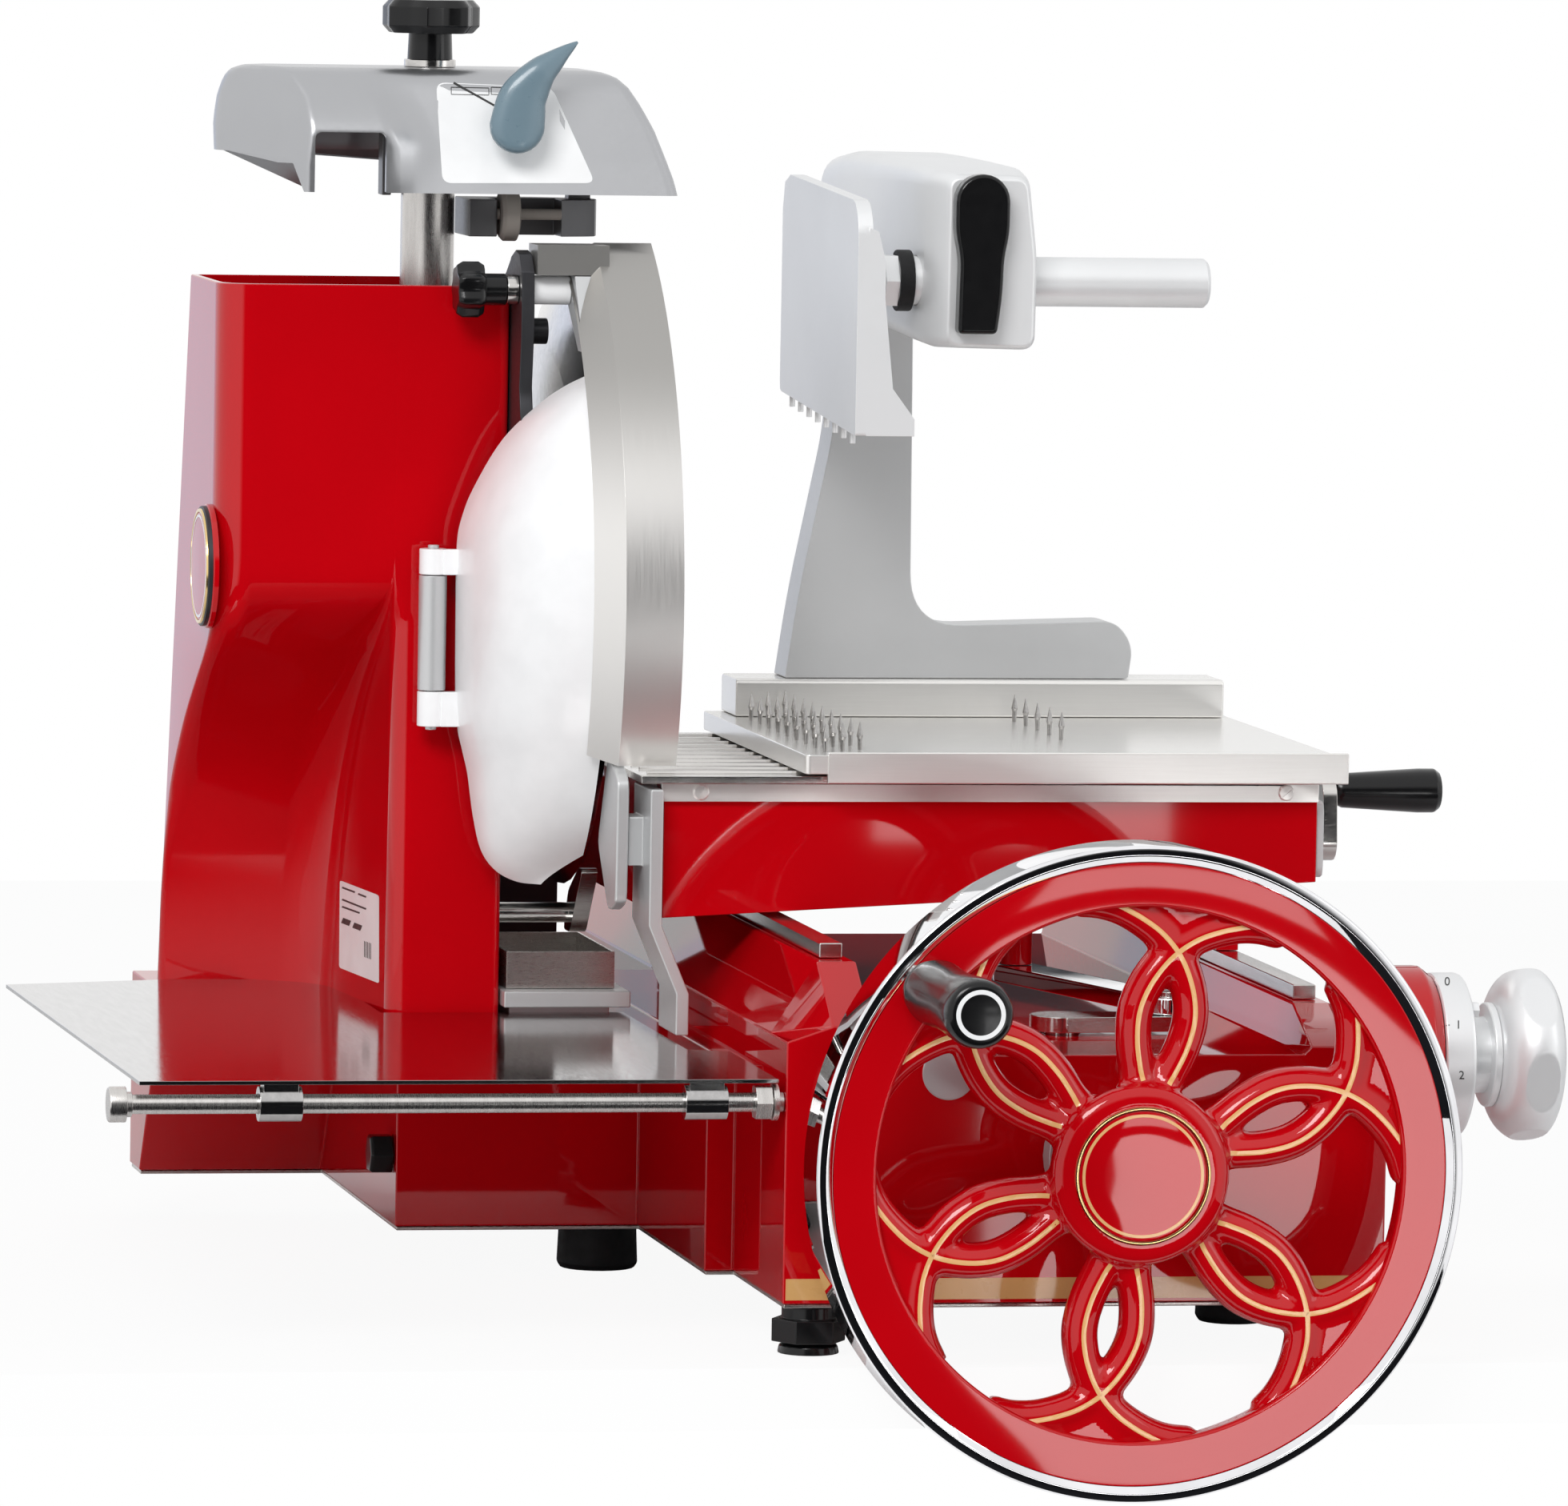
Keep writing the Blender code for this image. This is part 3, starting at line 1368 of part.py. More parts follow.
def wheel_web():
    """The red casting: a flat ring, six petals of two crossing arms each, and the hub."""
    at = (WHEEL_X, WHEEL_Z)
    front = WHEEL_FRONT_Y
    back = front + WHEEL_DEPTH - 0.006
    profile = [
        (front + 0.002, WEB_RADIUS - 2 * GAP),
        (front + 0.002, WEB_INNER_RADIUS + 0.002),
        (front + 0.004, WEB_INNER_RADIUS),
        (back - 0.012, WEB_INNER_RADIUS + 0.003),
        (back - 0.010, WEB_INNER_RADIUS + 0.012),
        (back, WEB_RADIUS - 0.008),
        (back, WEB_RADIUS - 2 * GAP),
    ]
    web = ring("wheel_web", profile, "Y", at, RED, 60)
    hub = turned(
        "hub",
        [
            (front - 0.003, 0),
            (front - 0.003, HUB_RADIUS - 0.005),
            (front, HUB_RADIUS),
            (front + 0.022, HUB_RADIUS - 0.002),
            (front + 0.030, 0.030),
            (front + 0.066, 0.024),
            (front + 0.066, 0),
        ],
        "Y",
        at,
        RED,
        30,
    )
    arms = [petal_arm(index, mirror) for index in range(PETALS) for mirror in (1, -1)]
    combine(web, [hub] + arms)
    bore = cylinder("bore", "Y", at, SHAFT_RADIUS + GAP, front + 0.010, front + 0.09, RED, 24)
    seat = turned(
        "seat",
        [
            (front - 0.02, 0),
            (front - 0.02, MEDAL_RADIUS + GAP),
            (front - 0.0005, MEDAL_RADIUS + GAP),
            (front - 0.0005, 0),
        ],
        "Y",
        at,
        RED,
        40,
    )
    grip = grip_centre()
    pin_hole = cylinder("pin_hole", "Y", grip, 0.005 + GAP, front - 0.02, front + 0.05, RED, 16)
    return cut(web, [bore, seat, pin_hole])


def grip_centre():
    angle = math.radians(GRIP_ANGLE)
    return (WHEEL_X + GRIP_CIRCLE * math.cos(angle), WHEEL_Z + GRIP_CIRCLE * math.sin(angle))


def wheel_rim():
    """The chromed hoop shrunk round the web."""
    front = WHEEL_FRONT_Y
    back = front + WHEEL_DEPTH
    profile = [
        (front + 0.001, WEB_RADIUS),
        (front - 0.001, WEB_RADIUS + 0.002),
        (front + 0.001, WHEEL_RADIUS - 0.002),
        (front + 0.005, WHEEL_RADIUS),
        (back - 0.005, WHEEL_RADIUS),
        (back, WHEEL_RADIUS - 0.003),
        (back, WEB_RADIUS - 0.004),
        (back - 0.0055, WEB_RADIUS - 0.004),
        (back - 0.0055, WEB_RADIUS),
    ]
    return ring("wheel_rim", profile, "Y", (WHEEL_X, WHEEL_Z), CHROME, 60)


def hub_medallion():
    """A bare round cap with a raised edge, let into the hub."""
    front = WHEEL_FRONT_Y - 0.0005 - GAP
    profile = [
        (front, 0),
        (front, MEDAL_RADIUS),
        (front - 0.0042, MEDAL_RADIUS - 0.001),
        (front - 0.0042, MEDAL_RADIUS - 0.004),
        (front - 0.003, MEDAL_RADIUS - 0.005),
        (front - 0.003, 0),
    ]
    return turned("hub_medallion", profile, "Y", (WHEEL_X, WHEEL_Z), RED, 40)


def bevel_gear(name, apex, axis, sign, radius, mate_radius, teeth, phase, bore):
    """A straight bevel gear, whose teeth all point at the apex where both axes meet."""
    cone = math.hypot(radius, mate_radius)
    tilt = math.atan2(radius, mate_radius)
    module = 2 * radius / teeth
    rings = []
    for reach in (cone, cone - GEAR_FACE):
        scale = reach / cone
        outline = []
        for i in range(teeth):
            for share, lift in ((0.02, -1.2), (0.20, -1.2), (0.36, 0.85), (0.52, 0.85), (0.68, -1.2)):
                angle = 2 * math.pi * (i + share + phase) / teeth
                lean = tilt + module * lift / cone
                along = reach * math.cos(lean) * sign
                r = reach * math.sin(lean)
                outline.append((along, r * math.cos(angle), r * math.sin(angle)))
        rings.append([gear_point(apex, axis, point) for point in outline])
    gear = lofted(name, rings, DARK)
    back = mate_radius * sign
    hub = cylinder(
        "hub",
        axis,
        gear_centre(apex, axis),
        bore + 0.006,
        *sorted(gear_span(apex, axis, back, sign)),
        DARK,
        20,
    )
    return combine(gear, [hub])


def gear_point(apex, axis, point):
    along, a, b = point
    if axis == "X":
        return (apex[0] + along, apex[1] + a, apex[2] + b)
    if axis == "Y":
        return (apex[0] + a, apex[1] + along, apex[2] + b)
    return (apex[0] + a, apex[1] + b, apex[2] + along)


def gear_centre(apex, axis):
    if axis == "X":
        return (apex[1], apex[2])
    if axis == "Y":
        return (apex[0], apex[2])
    return (apex[0], apex[1])


def gear_span(apex, axis, back, sign):
    start = apex["XYZ".index(axis)]
    return (start + back - 0.002 * sign, start + back + 0.008 * sign)


def wheel_shaft():
    """The long shaft behind the flywheel with its two bevel gears, for the crank and for the blade."""
    at = (WHEEL_X, WHEEL_Z)
    end = CROSS_Y - CROSS_GEAR_RADIUS + 0.003
    shaft = cylinder("wheel_shaft", "Y", at, SHAFT_RADIUS, WHEEL_FRONT_Y + 0.012, end, STEEL, 24)
    crank_gear = bevel_gear(
        "crank_gear",
        (WHEEL_X, CRANK_Y, WHEEL_Z),
        "Y",
        1,
        CRANK_GEAR_RADIUS,
        CRANK_GEAR_RADIUS,
        CRANK_TEETH,
        TOOTH_IN_MESH,
        SHAFT_RADIUS,
    )
    blade_gear = bevel_gear(
        "blade_gear",
        (WHEEL_X, CROSS_Y, WHEEL_Z),
        "Y",
        -1,
        WHEEL_GEAR_RADIUS,
        CROSS_GEAR_RADIUS,
        WHEEL_GEAR_TEETH,
        TOOTH_IN_MESH,
        SHAFT_RADIUS,
    )
    return combine(shaft, [crank_gear, blade_gear])


def grip_pin():
    """The steel pin that the flywheel's grip turns on."""
    at = grip_centre()
    front = WHEEL_FRONT_Y
    length = GRIP_LENGTH - 0.010
    return turned(
        "grip_pin",
        [
            (front - length, 0),
            (front - length, 0.005),
            (front - 0.004, 0.005),
            (front - 0.004, 0.011),
            (front - GAP, 0.011),
            (front - GAP, 0.005),
            (front + 0.020, 0.005),
            (front + 0.020, 0),
        ],
        "Y",
        at,
        STEEL,
        20,
    )


def wheel_grip():
    """The black barrel grip, open at its wheel end for the pin."""
    at = grip_centre()
    back = WHEEL_FRONT_Y - 0.004 - GAP
    front = WHEEL_FRONT_Y - GRIP_LENGTH
    barrel = turned(
        "wheel_grip",
        [
            (front, 0),
            (front, GRIP_RADIUS - 0.003),
            (front + 0.002, GRIP_RADIUS - 0.0005),
            (front + 0.010, GRIP_RADIUS),
            (front + 0.055, GRIP_RADIUS - 0.0020),
            (back - 0.020, GRIP_RADIUS - 0.0005),
            (back - 0.004, GRIP_RADIUS - 0.003),
            (back, GRIP_RADIUS - 0.006),
            (back, 0),
        ],
        "Y",
        at,
        BLACK,
        28,
    )
    bore = cylinder("bore", "Y", at, 0.005 + GAP, front + 0.010 - GAP, back + 0.01, BLACK, 20)
    return cut(barrel, [bore])


def wheel_bearing():
    """The flanged bush in the base's front wall that carries the flywheel's shaft."""
    profile = [
        (-0.0075, SHAFT_RADIUS + GAP),
        (BASE_WALL + 0.018, SHAFT_RADIUS + GAP),
        (BASE_WALL + 0.018, BEARING_RADIUS),
        (-GAP, BEARING_RADIUS),
        (-GAP, BEARING_RADIUS + 0.012),
        (-0.0075, BEARING_RADIUS + 0.010),
    ]
    return ring("wheel_bearing", profile, "Y", (WHEEL_X, WHEEL_Z), CAST, 32)


# Crank, link and cross shaft


def crank_shaft():
    """The upright shaft with its bevel gear below the deck and its arm and pin above it."""
    at = (WHEEL_X, CRANK_Y)
    arm_low = DECK_Z + 0.002
    arm_high = arm_low + 0.008
    low = WHEEL_Z + CRANK_GEAR_RADIUS - GEAR_FACE * 0.7 + 0.001
    shaft = cylinder("crank_shaft", "Z", at, CRANK_SHAFT_RADIUS, low, arm_high, STEEL, 24)
    gear = bevel_gear(
        "gear",
        (WHEEL_X, CRANK_Y, WHEEL_Z),
        "Z",
        1,
        CRANK_GEAR_RADIUS,
        CRANK_GEAR_RADIUS,
        CRANK_TEETH,
        GAP_IN_MESH,
        CRANK_SHAFT_RADIUS,
    )
    pin_x = WHEEL_X + CRANK_THROW
    half = 0.013
    outline = arc((WHEEL_X, CRANK_Y), half + 0.004, 90, 270, 10)
    outline += arc((pin_x, CRANK_Y), half - 0.001, -90, 90, 8)
    arm = prism("arm", outline, "Z", arm_low, arm_high, STEEL)
    pin = cylinder(
        "pin", "Z", (pin_x, CRANK_Y), 0.006, arm_high - 0.002, arm_high + LINK_THICK + 0.003, STEEL, 20
    )
    return combine(shaft, [gear, arm, pin])


def connecting_rod():
    """The flat chromed link from the crank's pin towards the carriage's post."""
    low = DECK_Z + 0.010 + GAP
    start = Vector((WHEEL_X + CRANK_THROW, CRANK_Y))
    turn = math.radians(LINK_TURN)
    run = Vector((math.cos(turn), math.sin(turn)))
    end = start + run * LINK_LENGTH
    half = LINK_WIDTH / 2
    outline = arc(start, half, LINK_TURN + 90, LINK_TURN + 270, 10)
    outline += arc(end, half, LINK_TURN - 90, LINK_TURN + 90, 10)
    bar = prism("connecting_rod", outline, "Z", low, low + LINK_THICK, CHROME)
    bore = cylinder("bore", "Z", start, 0.006 + GAP, low - 0.01, low + 0.03, CHROME, 24)
    return cut(bar, [bore])


def cross_shaft():
    """The shaft across the base, with its bevel pinion and the chain's large sprocket."""
    at = (CROSS_Y, WHEEL_Z)
    left = CHAIN_X - 0.010
    right = WHEEL_X - WHEEL_GEAR_RADIUS + 0.004
    shaft = cylinder("cross_shaft", "X", at, CROSS_SHAFT_RADIUS, left, right, STEEL, 20)
    pinion = bevel_gear(
        "pinion",
        (WHEEL_X, CROSS_Y, WHEEL_Z),
        "X",
        -1,
        CROSS_GEAR_RADIUS,
        WHEEL_GEAR_RADIUS,
        CROSS_GEAR_TEETH,
        GAP_IN_MESH,
        CROSS_SHAFT_RADIUS,
    )
    low = CHAIN_X - CHAIN_WIDTH / 2
    wheel = sprocket("sprocket", at, DRIVE_SPROCKET_RADIUS, 24, low, low + CHAIN_WIDTH)
    return combine(shaft, [pinion, wheel])


def cross_bearing():
    """The block under the deck that the cross shaft runs in."""
    half = 0.018
    block = box(
        "cross_bearing",
        (0.040, CROSS_Y - half, WHEEL_Z - half),
        (0.066, CROSS_Y + half, DECK_Z - BASE_WALL - GAP),
        CAST,
    )
    bore = cylinder("bore", "X", (CROSS_Y, WHEEL_Z), CROSS_SHAFT_RADIUS + GAP, 0.02, 0.09, CAST, 20)
    return cut(block, [bore])


# Carriage


def carriage_rail(name, x, z):
    """One of the two ground rails that the carriage runs on."""
    return box(name, (x, 0.060, z + GAP), (x + RAIL_WIDTH, BASE_DEPTH - 0.004, z + RAIL_HEIGHT), STEEL)


def carriage_box():
    """The red box, open below, whose walls come down low at the left and less at the right."""
    left = CARRIAGE_LEFT_X
    right = CARRIAGE_RIGHT_X
    top = CARRIAGE_TOP_Z - GAP
    outline = [
        (left, CARRIAGE_LOW_LEFT_Z),
        (right, CARRIAGE_LOW_RIGHT_Z),
        (right, top),
        (left, top),
    ]
    shell = prism("carriage_box", outline, "Y", CARRIAGE_FRONT_Y, CARRIAGE_BACK_Y, RED)
    w = CARRIAGE_WALL
    inner = [
        (left + w, CARRIAGE_LOW_LEFT_Z - 0.02),
        (right - w, CARRIAGE_LOW_LEFT_Z - 0.02),
        (right - w, top - w),
        (left + w, top - w),
    ]
    room = prism("room", inner, "Y", CARRIAGE_FRONT_Y + w, CARRIAGE_BACK_Y - w, RED)
    cut(shell, [room])
    rail_top = RIDGE_Z + RAIL_HEIGHT + GAP
    right_top = RIGHT_RIDGE_Z + RAIL_HEIGHT + GAP
    middle = (CARRIAGE_FRONT_Y + CARRIAGE_BACK_Y) / 2
    runners = []
    for x, low in ((RAIL_LEFT_X, rail_top), (RAIL_RIGHT_X, right_top)):
        runners.append(
            box("runner", (x, middle - 0.105, low), (x + RAIL_WIDTH, middle + 0.105, top - 0.002), RED)
        )
    turn = math.radians(LINK_TURN)
    post_at = (
        WHEEL_X + CRANK_THROW + LINK_LENGTH * math.cos(turn),
        CRANK_Y + LINK_LENGTH * math.sin(turn),
    )
    link_top = DECK_Z + 0.010 + GAP + LINK_THICK
    runners.append(cylinder("post", "Z", post_at, 0.009, link_top + GAP, top - 0.002, RED, 20))
    combine(shell, runners)
    screw = cylinder(
        "screw_room", "X", (FEED_Y, FEED_Z), FEED_RADIUS + GAP, left - 0.02, right + 0.02, RED, 20
    )
    slot = box("nut_slot", FEED_SLOT_LOW + (top - 0.02,), FEED_SLOT_HIGH + (top + 0.02,), RED)
    return cut(shell, [screw, slot])


def carriage_strip():
    """The steel strip on the box's front with its two slotted screws."""
    front = CARRIAGE_FRONT_Y - GAP - STRIP_THICK
    strip = box(
        "carriage_strip",
        (CARRIAGE_LEFT_X - 0.002, front, STRIP_LOW_Z),
        (CARRIAGE_RIGHT_X, CARRIAGE_FRONT_Y - GAP, CARRIAGE_TOP_Z - GAP),
        STEEL,
    )
    screws = []
    for x in (-0.009, 0.308):
        at = (x, STRIP_LOW_Z + 0.005)
        screws.append(cylinder("screw", "Y", at, 0.0042, front - 0.0008, front + 0.001, STEEL, 12))
    return combine(strip, screws)


def carriage_bed():
    """The ribbed steel plate on the carriage, slotted for the table's feed nut."""
    low = CARRIAGE_TOP_Z
    high = low + BED_THICK
    plate = box(
        "carriage_bed", (BED_LEFT_X, BED_FRONT_Y, low), (CARRIAGE_RIGHT_X, CARRIAGE_BACK_Y, high), STEEL
    )
    ribs = []
    pitch = 0.024
    count = int((CARRIAGE_BACK_Y - BED_FRONT_Y - 0.02) / pitch)
    for i in range(count):
        y = BED_FRONT_Y + 0.016 + i * pitch
        outline = [
            (y, high - 0.001),
            (y + 0.005, high - 0.001),
            (y + 0.0035, high + 0.0014),
            (y + 0.0015, high + 0.0014),
        ]
        ribs.append(prism("rib", outline, "X", BED_LEFT_X + 0.006, CARRIAGE_RIGHT_X - 0.004, STEEL))
    combine(plate, ribs)
    slot = box("nut_slot", FEED_SLOT_LOW + (low - 0.02,), FEED_SLOT_HIGH + (low + 0.02,), STEEL)
    return cut(plate, [slot])


def end_plate():
    """The pale plate on the carriage's right end that the feed screw passes through."""
    left = CARRIAGE_RIGHT_X + GAP
    outline = rectangle(
        CARRIAGE_FRONT_Y + 0.002, CARRIAGE_BACK_Y - 0.002, CARRIAGE_LOW_RIGHT_Z + 0.002, STRIP_LOW_Z, 0.006
    )
    plate = prism("end_plate", outline, "X", left, left + 0.004, CAST)
    bore = cylinder("bore", "X", (FEED_Y, FEED_Z), FEED_RADIUS + GAP, left - 0.01, left + 0.02, CAST, 20)
    return cut(plate, [bore])


# Meat table, feed screw and press


def meat_table():
    """The sliding table with its front lip, its spikes and the nut that hangs down to the feed screw."""
    low = CARRIAGE_TOP_Z + BED_THICK + 0.0014 + GAP
    plate = box(
        "meat_table",
        (TABLE_LEFT_X, TABLE_FRONT_Y + 0.001, low),
        (TABLE_RIGHT_X - 0.005, CARRIAGE_BACK_Y, TABLE_TOP_Z),
        STEEL,
    )
    lip = [
        (TABLE_FRONT_Y, LIP_LOW_Z),
        (TABLE_FRONT_Y + 0.003, LIP_LOW_Z),
        (TABLE_FRONT_Y + 0.004, TABLE_TOP_Z - 0.003),
        (TABLE_FRONT_Y + 0.003, TABLE_TOP_Z + 0.0015),
        (TABLE_FRONT_Y, TABLE_TOP_Z + 0.0015),
    ]
    lip_bar = prism("lip", lip, "X", TABLE_LEFT_X + 0.012, TABLE_RIGHT_X, STEEL)
    nut = box(
        "nut",
        (FEED_NUT_X, FEED_Y - FEED_NUT_HALF, FEED_Z - FEED_NUT_HALF),
        (FEED_NUT_X + FEED_NUT_LENGTH, FEED_Y + FEED_NUT_HALF, low + 0.002),
        STEEL,
    )
    spikes = []
    for row in range(3):
        for i in range(9):
            x = TABLE_LEFT_X + 0.014 + row * 0.011
            y = TABLE_FRONT_Y + 0.020 + i * 0.026 + row * 0.008
            spikes.append((x, y))
    for i in range(5):
        spikes.append((TABLE_LEFT_X + 0.160, TABLE_FRONT_Y + 0.104 + i * 0.030))
    combine(plate, [lip_bar, nut])
    combine(plate, [spike_bed(spikes)])
    bore = cylinder(
        "bore", "X", (FEED_Y, FEED_Z), FEED_RADIUS + GAP, FEED_NUT_X - 0.02, FEED_NUT_X + 0.04, STEEL, 20
    )
    return cut(plate, [bore])


def spike_bed(places):
    """All the table's spikes as one set of pointed pins."""
    points = []
    faces = []
    sides = 6
    foot_z = TABLE_TOP_Z - 0.002
    levels = ((foot_z, 0.8), (TABLE_TOP_Z + SPIKE_HEIGHT * 0.55, 1.0), (TABLE_TOP_Z + SPIKE_HEIGHT, 0.12))
    for x, y in places:
        start = len(points)
        for z, scale in levels:
            for k in range(sides):
                angle = 2 * math.pi * k / sides
                r = SPIKE_RADIUS * scale
                points.append((x + r * math.cos(angle), y + r * math.sin(angle), z))
        for level in range(2):
            for k in range(sides):
                a = start + level * sides + k
                b = start + level * sides + (k + 1) % sides
                faces.append((a, b, b + sides, a + sides))
        faces.append(tuple(start + k for k in range(sides))[::-1])
        faces.append(tuple(start + 2 * sides + k for k in range(sides)))
    return from_faces("spikes", points, faces, STEEL)


def table_fence():
    """The steel fence along the table's back."""
    outline = rectangle(
        FENCE_FRONT_Y, CARRIAGE_BACK_Y, TABLE_TOP_Z + GAP, FENCE_TOP_Z, [0.0, 0.0, 0.003, 0.003]
    )
    return prism("table_fence", outline, "X", TABLE_LEFT_X + 0.010, TABLE_RIGHT_X - 0.010, STEEL)


def feed_screw():
    """The screw along the carriage with its outside crank arm."""
    at = (FEED_Y, FEED_Z)
    screw = cylinder(
        "feed_screw", "X", at, FEED_RADIUS, CARRIAGE_LEFT_X - 0.001, FEED_ARM_X + 0.002, STEEL, 20
    )
    low = FEED_ARM_X
    outline = arc(at, 0.011, 180, 360, 8) + arc((FEED_Y, FEED_GRIP_Z - 0.003), 0.009, 0, 180, 8)
    arm = prism("arm", outline, "X", low, low + 0.008, CAST)
    grip_at = (FEED_Y, FEED_GRIP_Z)
    pin = cylinder(
        "pin", "X", grip_at, 0.0035, low + 0.004, low + 0.008 + FEED_GRIP_LENGTH - 0.008, STEEL, 16
    )
    return combine(screw, [arm, pin])


def feed_grip():
    low = FEED_ARM_X + 0.008 + GAP
    high = low + FEED_GRIP_LENGTH
    at = (FEED_Y, FEED_GRIP_Z)
    grip = turned(
        "feed_grip",
        [
            (low, 0),
            (low, FEED_GRIP_RADIUS * 0.62),
            (low + 0.004, FEED_GRIP_RADIUS * 0.78),
            (low + 0.030, FEED_GRIP_RADIUS * 0.92),
            (high - 0.012, FEED_GRIP_RADIUS),
            (high - 0.003, FEED_GRIP_RADIUS),
            (high, FEED_GRIP_RADIUS * 0.82),
            (high, 0),
        ],
        "X",
        at,
        BLACK,
        24,
    )
    bore = cylinder("bore", "X", at, 0.0035 + GAP, low - 0.01, high - 0.0075, BLACK, 16)
    return cut(grip, [bore])


def press_column():
    """The L shaped casting that stands on the fence and carries the press's head."""
    low = FENCE_TOP_Z + GAP
    left = 0.082
    outline = [
        (left, low),
        (0.277, low),
        (0.281, low + 0.012),
        (0.276, low + 0.026),
        (0.262, low + 0.031),
        (0.176, low + 0.031),
        (0.160, low + 0.036),
        (0.153, low + 0.048),
        (0.151, low + 0.130),
        (0.150, COLUMN_TOP_Z - GAP),
        (0.108, COLUMN_TOP_Z - GAP),
        (0.108, 0.431),
        (0.088, 0.334),
    ]
    back = COLUMN_FRONT_Y + COLUMN_THICK
    column = prism("press_column", outline, "Y", COLUMN_FRONT_Y, back, CAST)
    soft = column.modifiers.new("soft_edges", "BEVEL")
    soft.width = 0.003
    soft.segments = 2
    soft.limit_method = "ANGLE"
    soft.angle_limit = math.radians(50)
    return column


def head_ring(y, left, right, low, high, radius):
    return [(x, y, z) for x, z in rectangle(left, right, low, high, radius, 4)]


def press_head():
    """The casting on top of the column that reaches out over the table and guides the press rod."""
    rings = [
        head_ring(HEAD_FRONT_Y, 0.130, 0.184, 0.479, 0.568, 0.006),
        head_ring(HEAD_FRONT_Y + 0.006, HEAD_LEFT_X + 0.003, 0.190, 0.476, 0.572, 0.010),
        head_ring(PRESS_ROD_Y + 0.030, HEAD_LEFT_X, 0.194, 0.480, 0.574, 0.012),
        head_ring(COLUMN_FRONT_Y - 0.006, 0.104, 0.182, COLUMN_TOP_Z, 0.578, 0.016),
        head_ring(COLUMN_FRONT_Y + COLUMN_THICK + 0.004, 0.102, 0.172, COLUMN_TOP_Z, 0.574, 0.018),
        head_ring(COLUMN_FRONT_Y + COLUMN_THICK + 0.010, 0.108, 0.166, COLUMN_TOP_Z + 0.006, 0.568, 0.018),
    ]
    head = lofted("press_head", rings, CAST)
    bore = cylinder(
        "bore", "X", (PRESS_ROD_Y, PRESS_ROD_Z), PRESS_ROD_RADIUS + GAP, HEAD_LEFT_X - 0.03, 0.25, CAST, 28
    )
    return cut(head, [bore])


def press_rod():
    at = (PRESS_ROD_Y, PRESS_ROD_Z)
    left = PRESS_PLATE_X + PRESS_PLATE_THICK + GAP
    rod = turned(
        "press_rod",
        [
            (left, 0),
            (left, PRESS_ROD_RADIUS - 0.004),
            (HEAD_LEFT_X - 0.014, PRESS_ROD_RADIUS - 0.004),
            (HEAD_LEFT_X - 0.014, PRESS_ROD_RADIUS),
            (PRESS_ROD_RIGHT_X - 0.002, PRESS_ROD_RADIUS),
            (PRESS_ROD_RIGHT_X, PRESS_ROD_RADIUS - 0.002),
            (PRESS_ROD_RIGHT_X, 0),
        ],
        "X",
        at,
        CAST,
        28,
    )
    nut = cylinder("nut", "X", at, 0.0155, HEAD_LEFT_X - 0.016, HEAD_LEFT_X - 0.0085, CAST, 6)
    return combine(rod, [nut])


def press_ring():
    """The rubber buffer between the rod's nut and the head."""
    low = HEAD_LEFT_X - 0.0085 + GAP
    high = HEAD_LEFT_X - GAP
    profile = [
        (low, PRESS_ROD_RADIUS + GAP),
        (high, PRESS_ROD_RADIUS + GAP),
        (high, 0.0165),
        (low, 0.0165),
    ]
    return ring("press_buffer", profile, "X", (PRESS_ROD_Y, PRESS_ROD_Z), RUBBER, 28)


def press_plate():
    """The cast plate that pushes the food, with a flange at its front edge and short pins below."""
    left = PRESS_PLATE_X
    right = left + PRESS_PLATE_THICK
    front = PRESS_PLATE_FRONT_Y
    back = PRESS_PLATE_BACK_Y
    low = PRESS_PLATE_LOW_Z
    top = PRESS_PLATE_TOP_Z
    outline = [
        (front, low - 0.003),
        (back, low + 0.010),
        (back, top),
        (front + 0.010, top - 0.008),
        (front, top - 0.020),
    ]
    plate = prism(
        "press_plate", rounded(outline, [0.002, 0.004, 0.020, 0.012, 0.006], 3), "X", left, right, CAST
    )
    flange = [
        (right - 0.002, low - 0.003),
        (right + 0.024, low - 0.003),
        (right + 0.024, low + 0.006),
        (right + 0.012, low + 0.022),
        (right + 0.007, low + 0.070),
        (right + 0.007, top - 0.040),
        (right + 0.003, top - 0.024),
        (right - 0.002, top - 0.022),
    ]
    wing = prism("flange", flange, "Y", front, front + 0.007, CAST)
    boss = cylinder(
        "boss", "X", (PRESS_ROD_Y, PRESS_ROD_Z), 0.018, right - 0.001, right + 0.010, CAST, 24
    )
    combine(plate, [wing, boss])
    pins = []
    for i in range(8):
        y = front + 0.026 + i * 0.024
        foot_z = low - 0.003 + (y - front) / (back - front) * 0.013
        pins.append(cylinder("pin", "Z", (left + 0.004, y), 0.0016, foot_z - 0.007, foot_z + 0.002, STEEL, 8))
    combine(plate, pins)
    bore = cylinder(
        "bore", "X", (PRESS_ROD_Y, PRESS_ROD_Z), PRESS_ROD_RADIUS - 0.004 + GAP, right, right + 0.03, CAST, 28
    )
    return cut(plate, [bore])


def lock_lever():
    """The black lever on the head's front that locks the press rod."""
    low = LOCK_PIVOT_Z - 0.0015
    top = HEAD_TOP_LEVER_Z
    outline = [
        (LOCK_X - 0.0095, low),
        (LOCK_X + 0.0095, low),
        (LOCK_X + 0.0115, low + 0.030),
        (LOCK_X + 0.0145, low + 0.050),
    ]
    outline += arc((LOCK_X, top - 0.0145), 0.0145, 0, 180, 8)
    outline += [(LOCK_X - 0.0145, low + 0.050), (LOCK_X - 0.0115, low + 0.030)]
    back = HEAD_FRONT_Y - GAP
    lever = prism("lock_lever", outline, "Y", back - 0.0125, back, BLACK)
    soft = lever.modifiers.new("soft_edges", "BEVEL")
    soft.width = 0.002
    soft.segments = 2
    soft.limit_method = "ANGLE"
    soft.angle_limit = math.radians(60)
    return lever


# Thickness dial


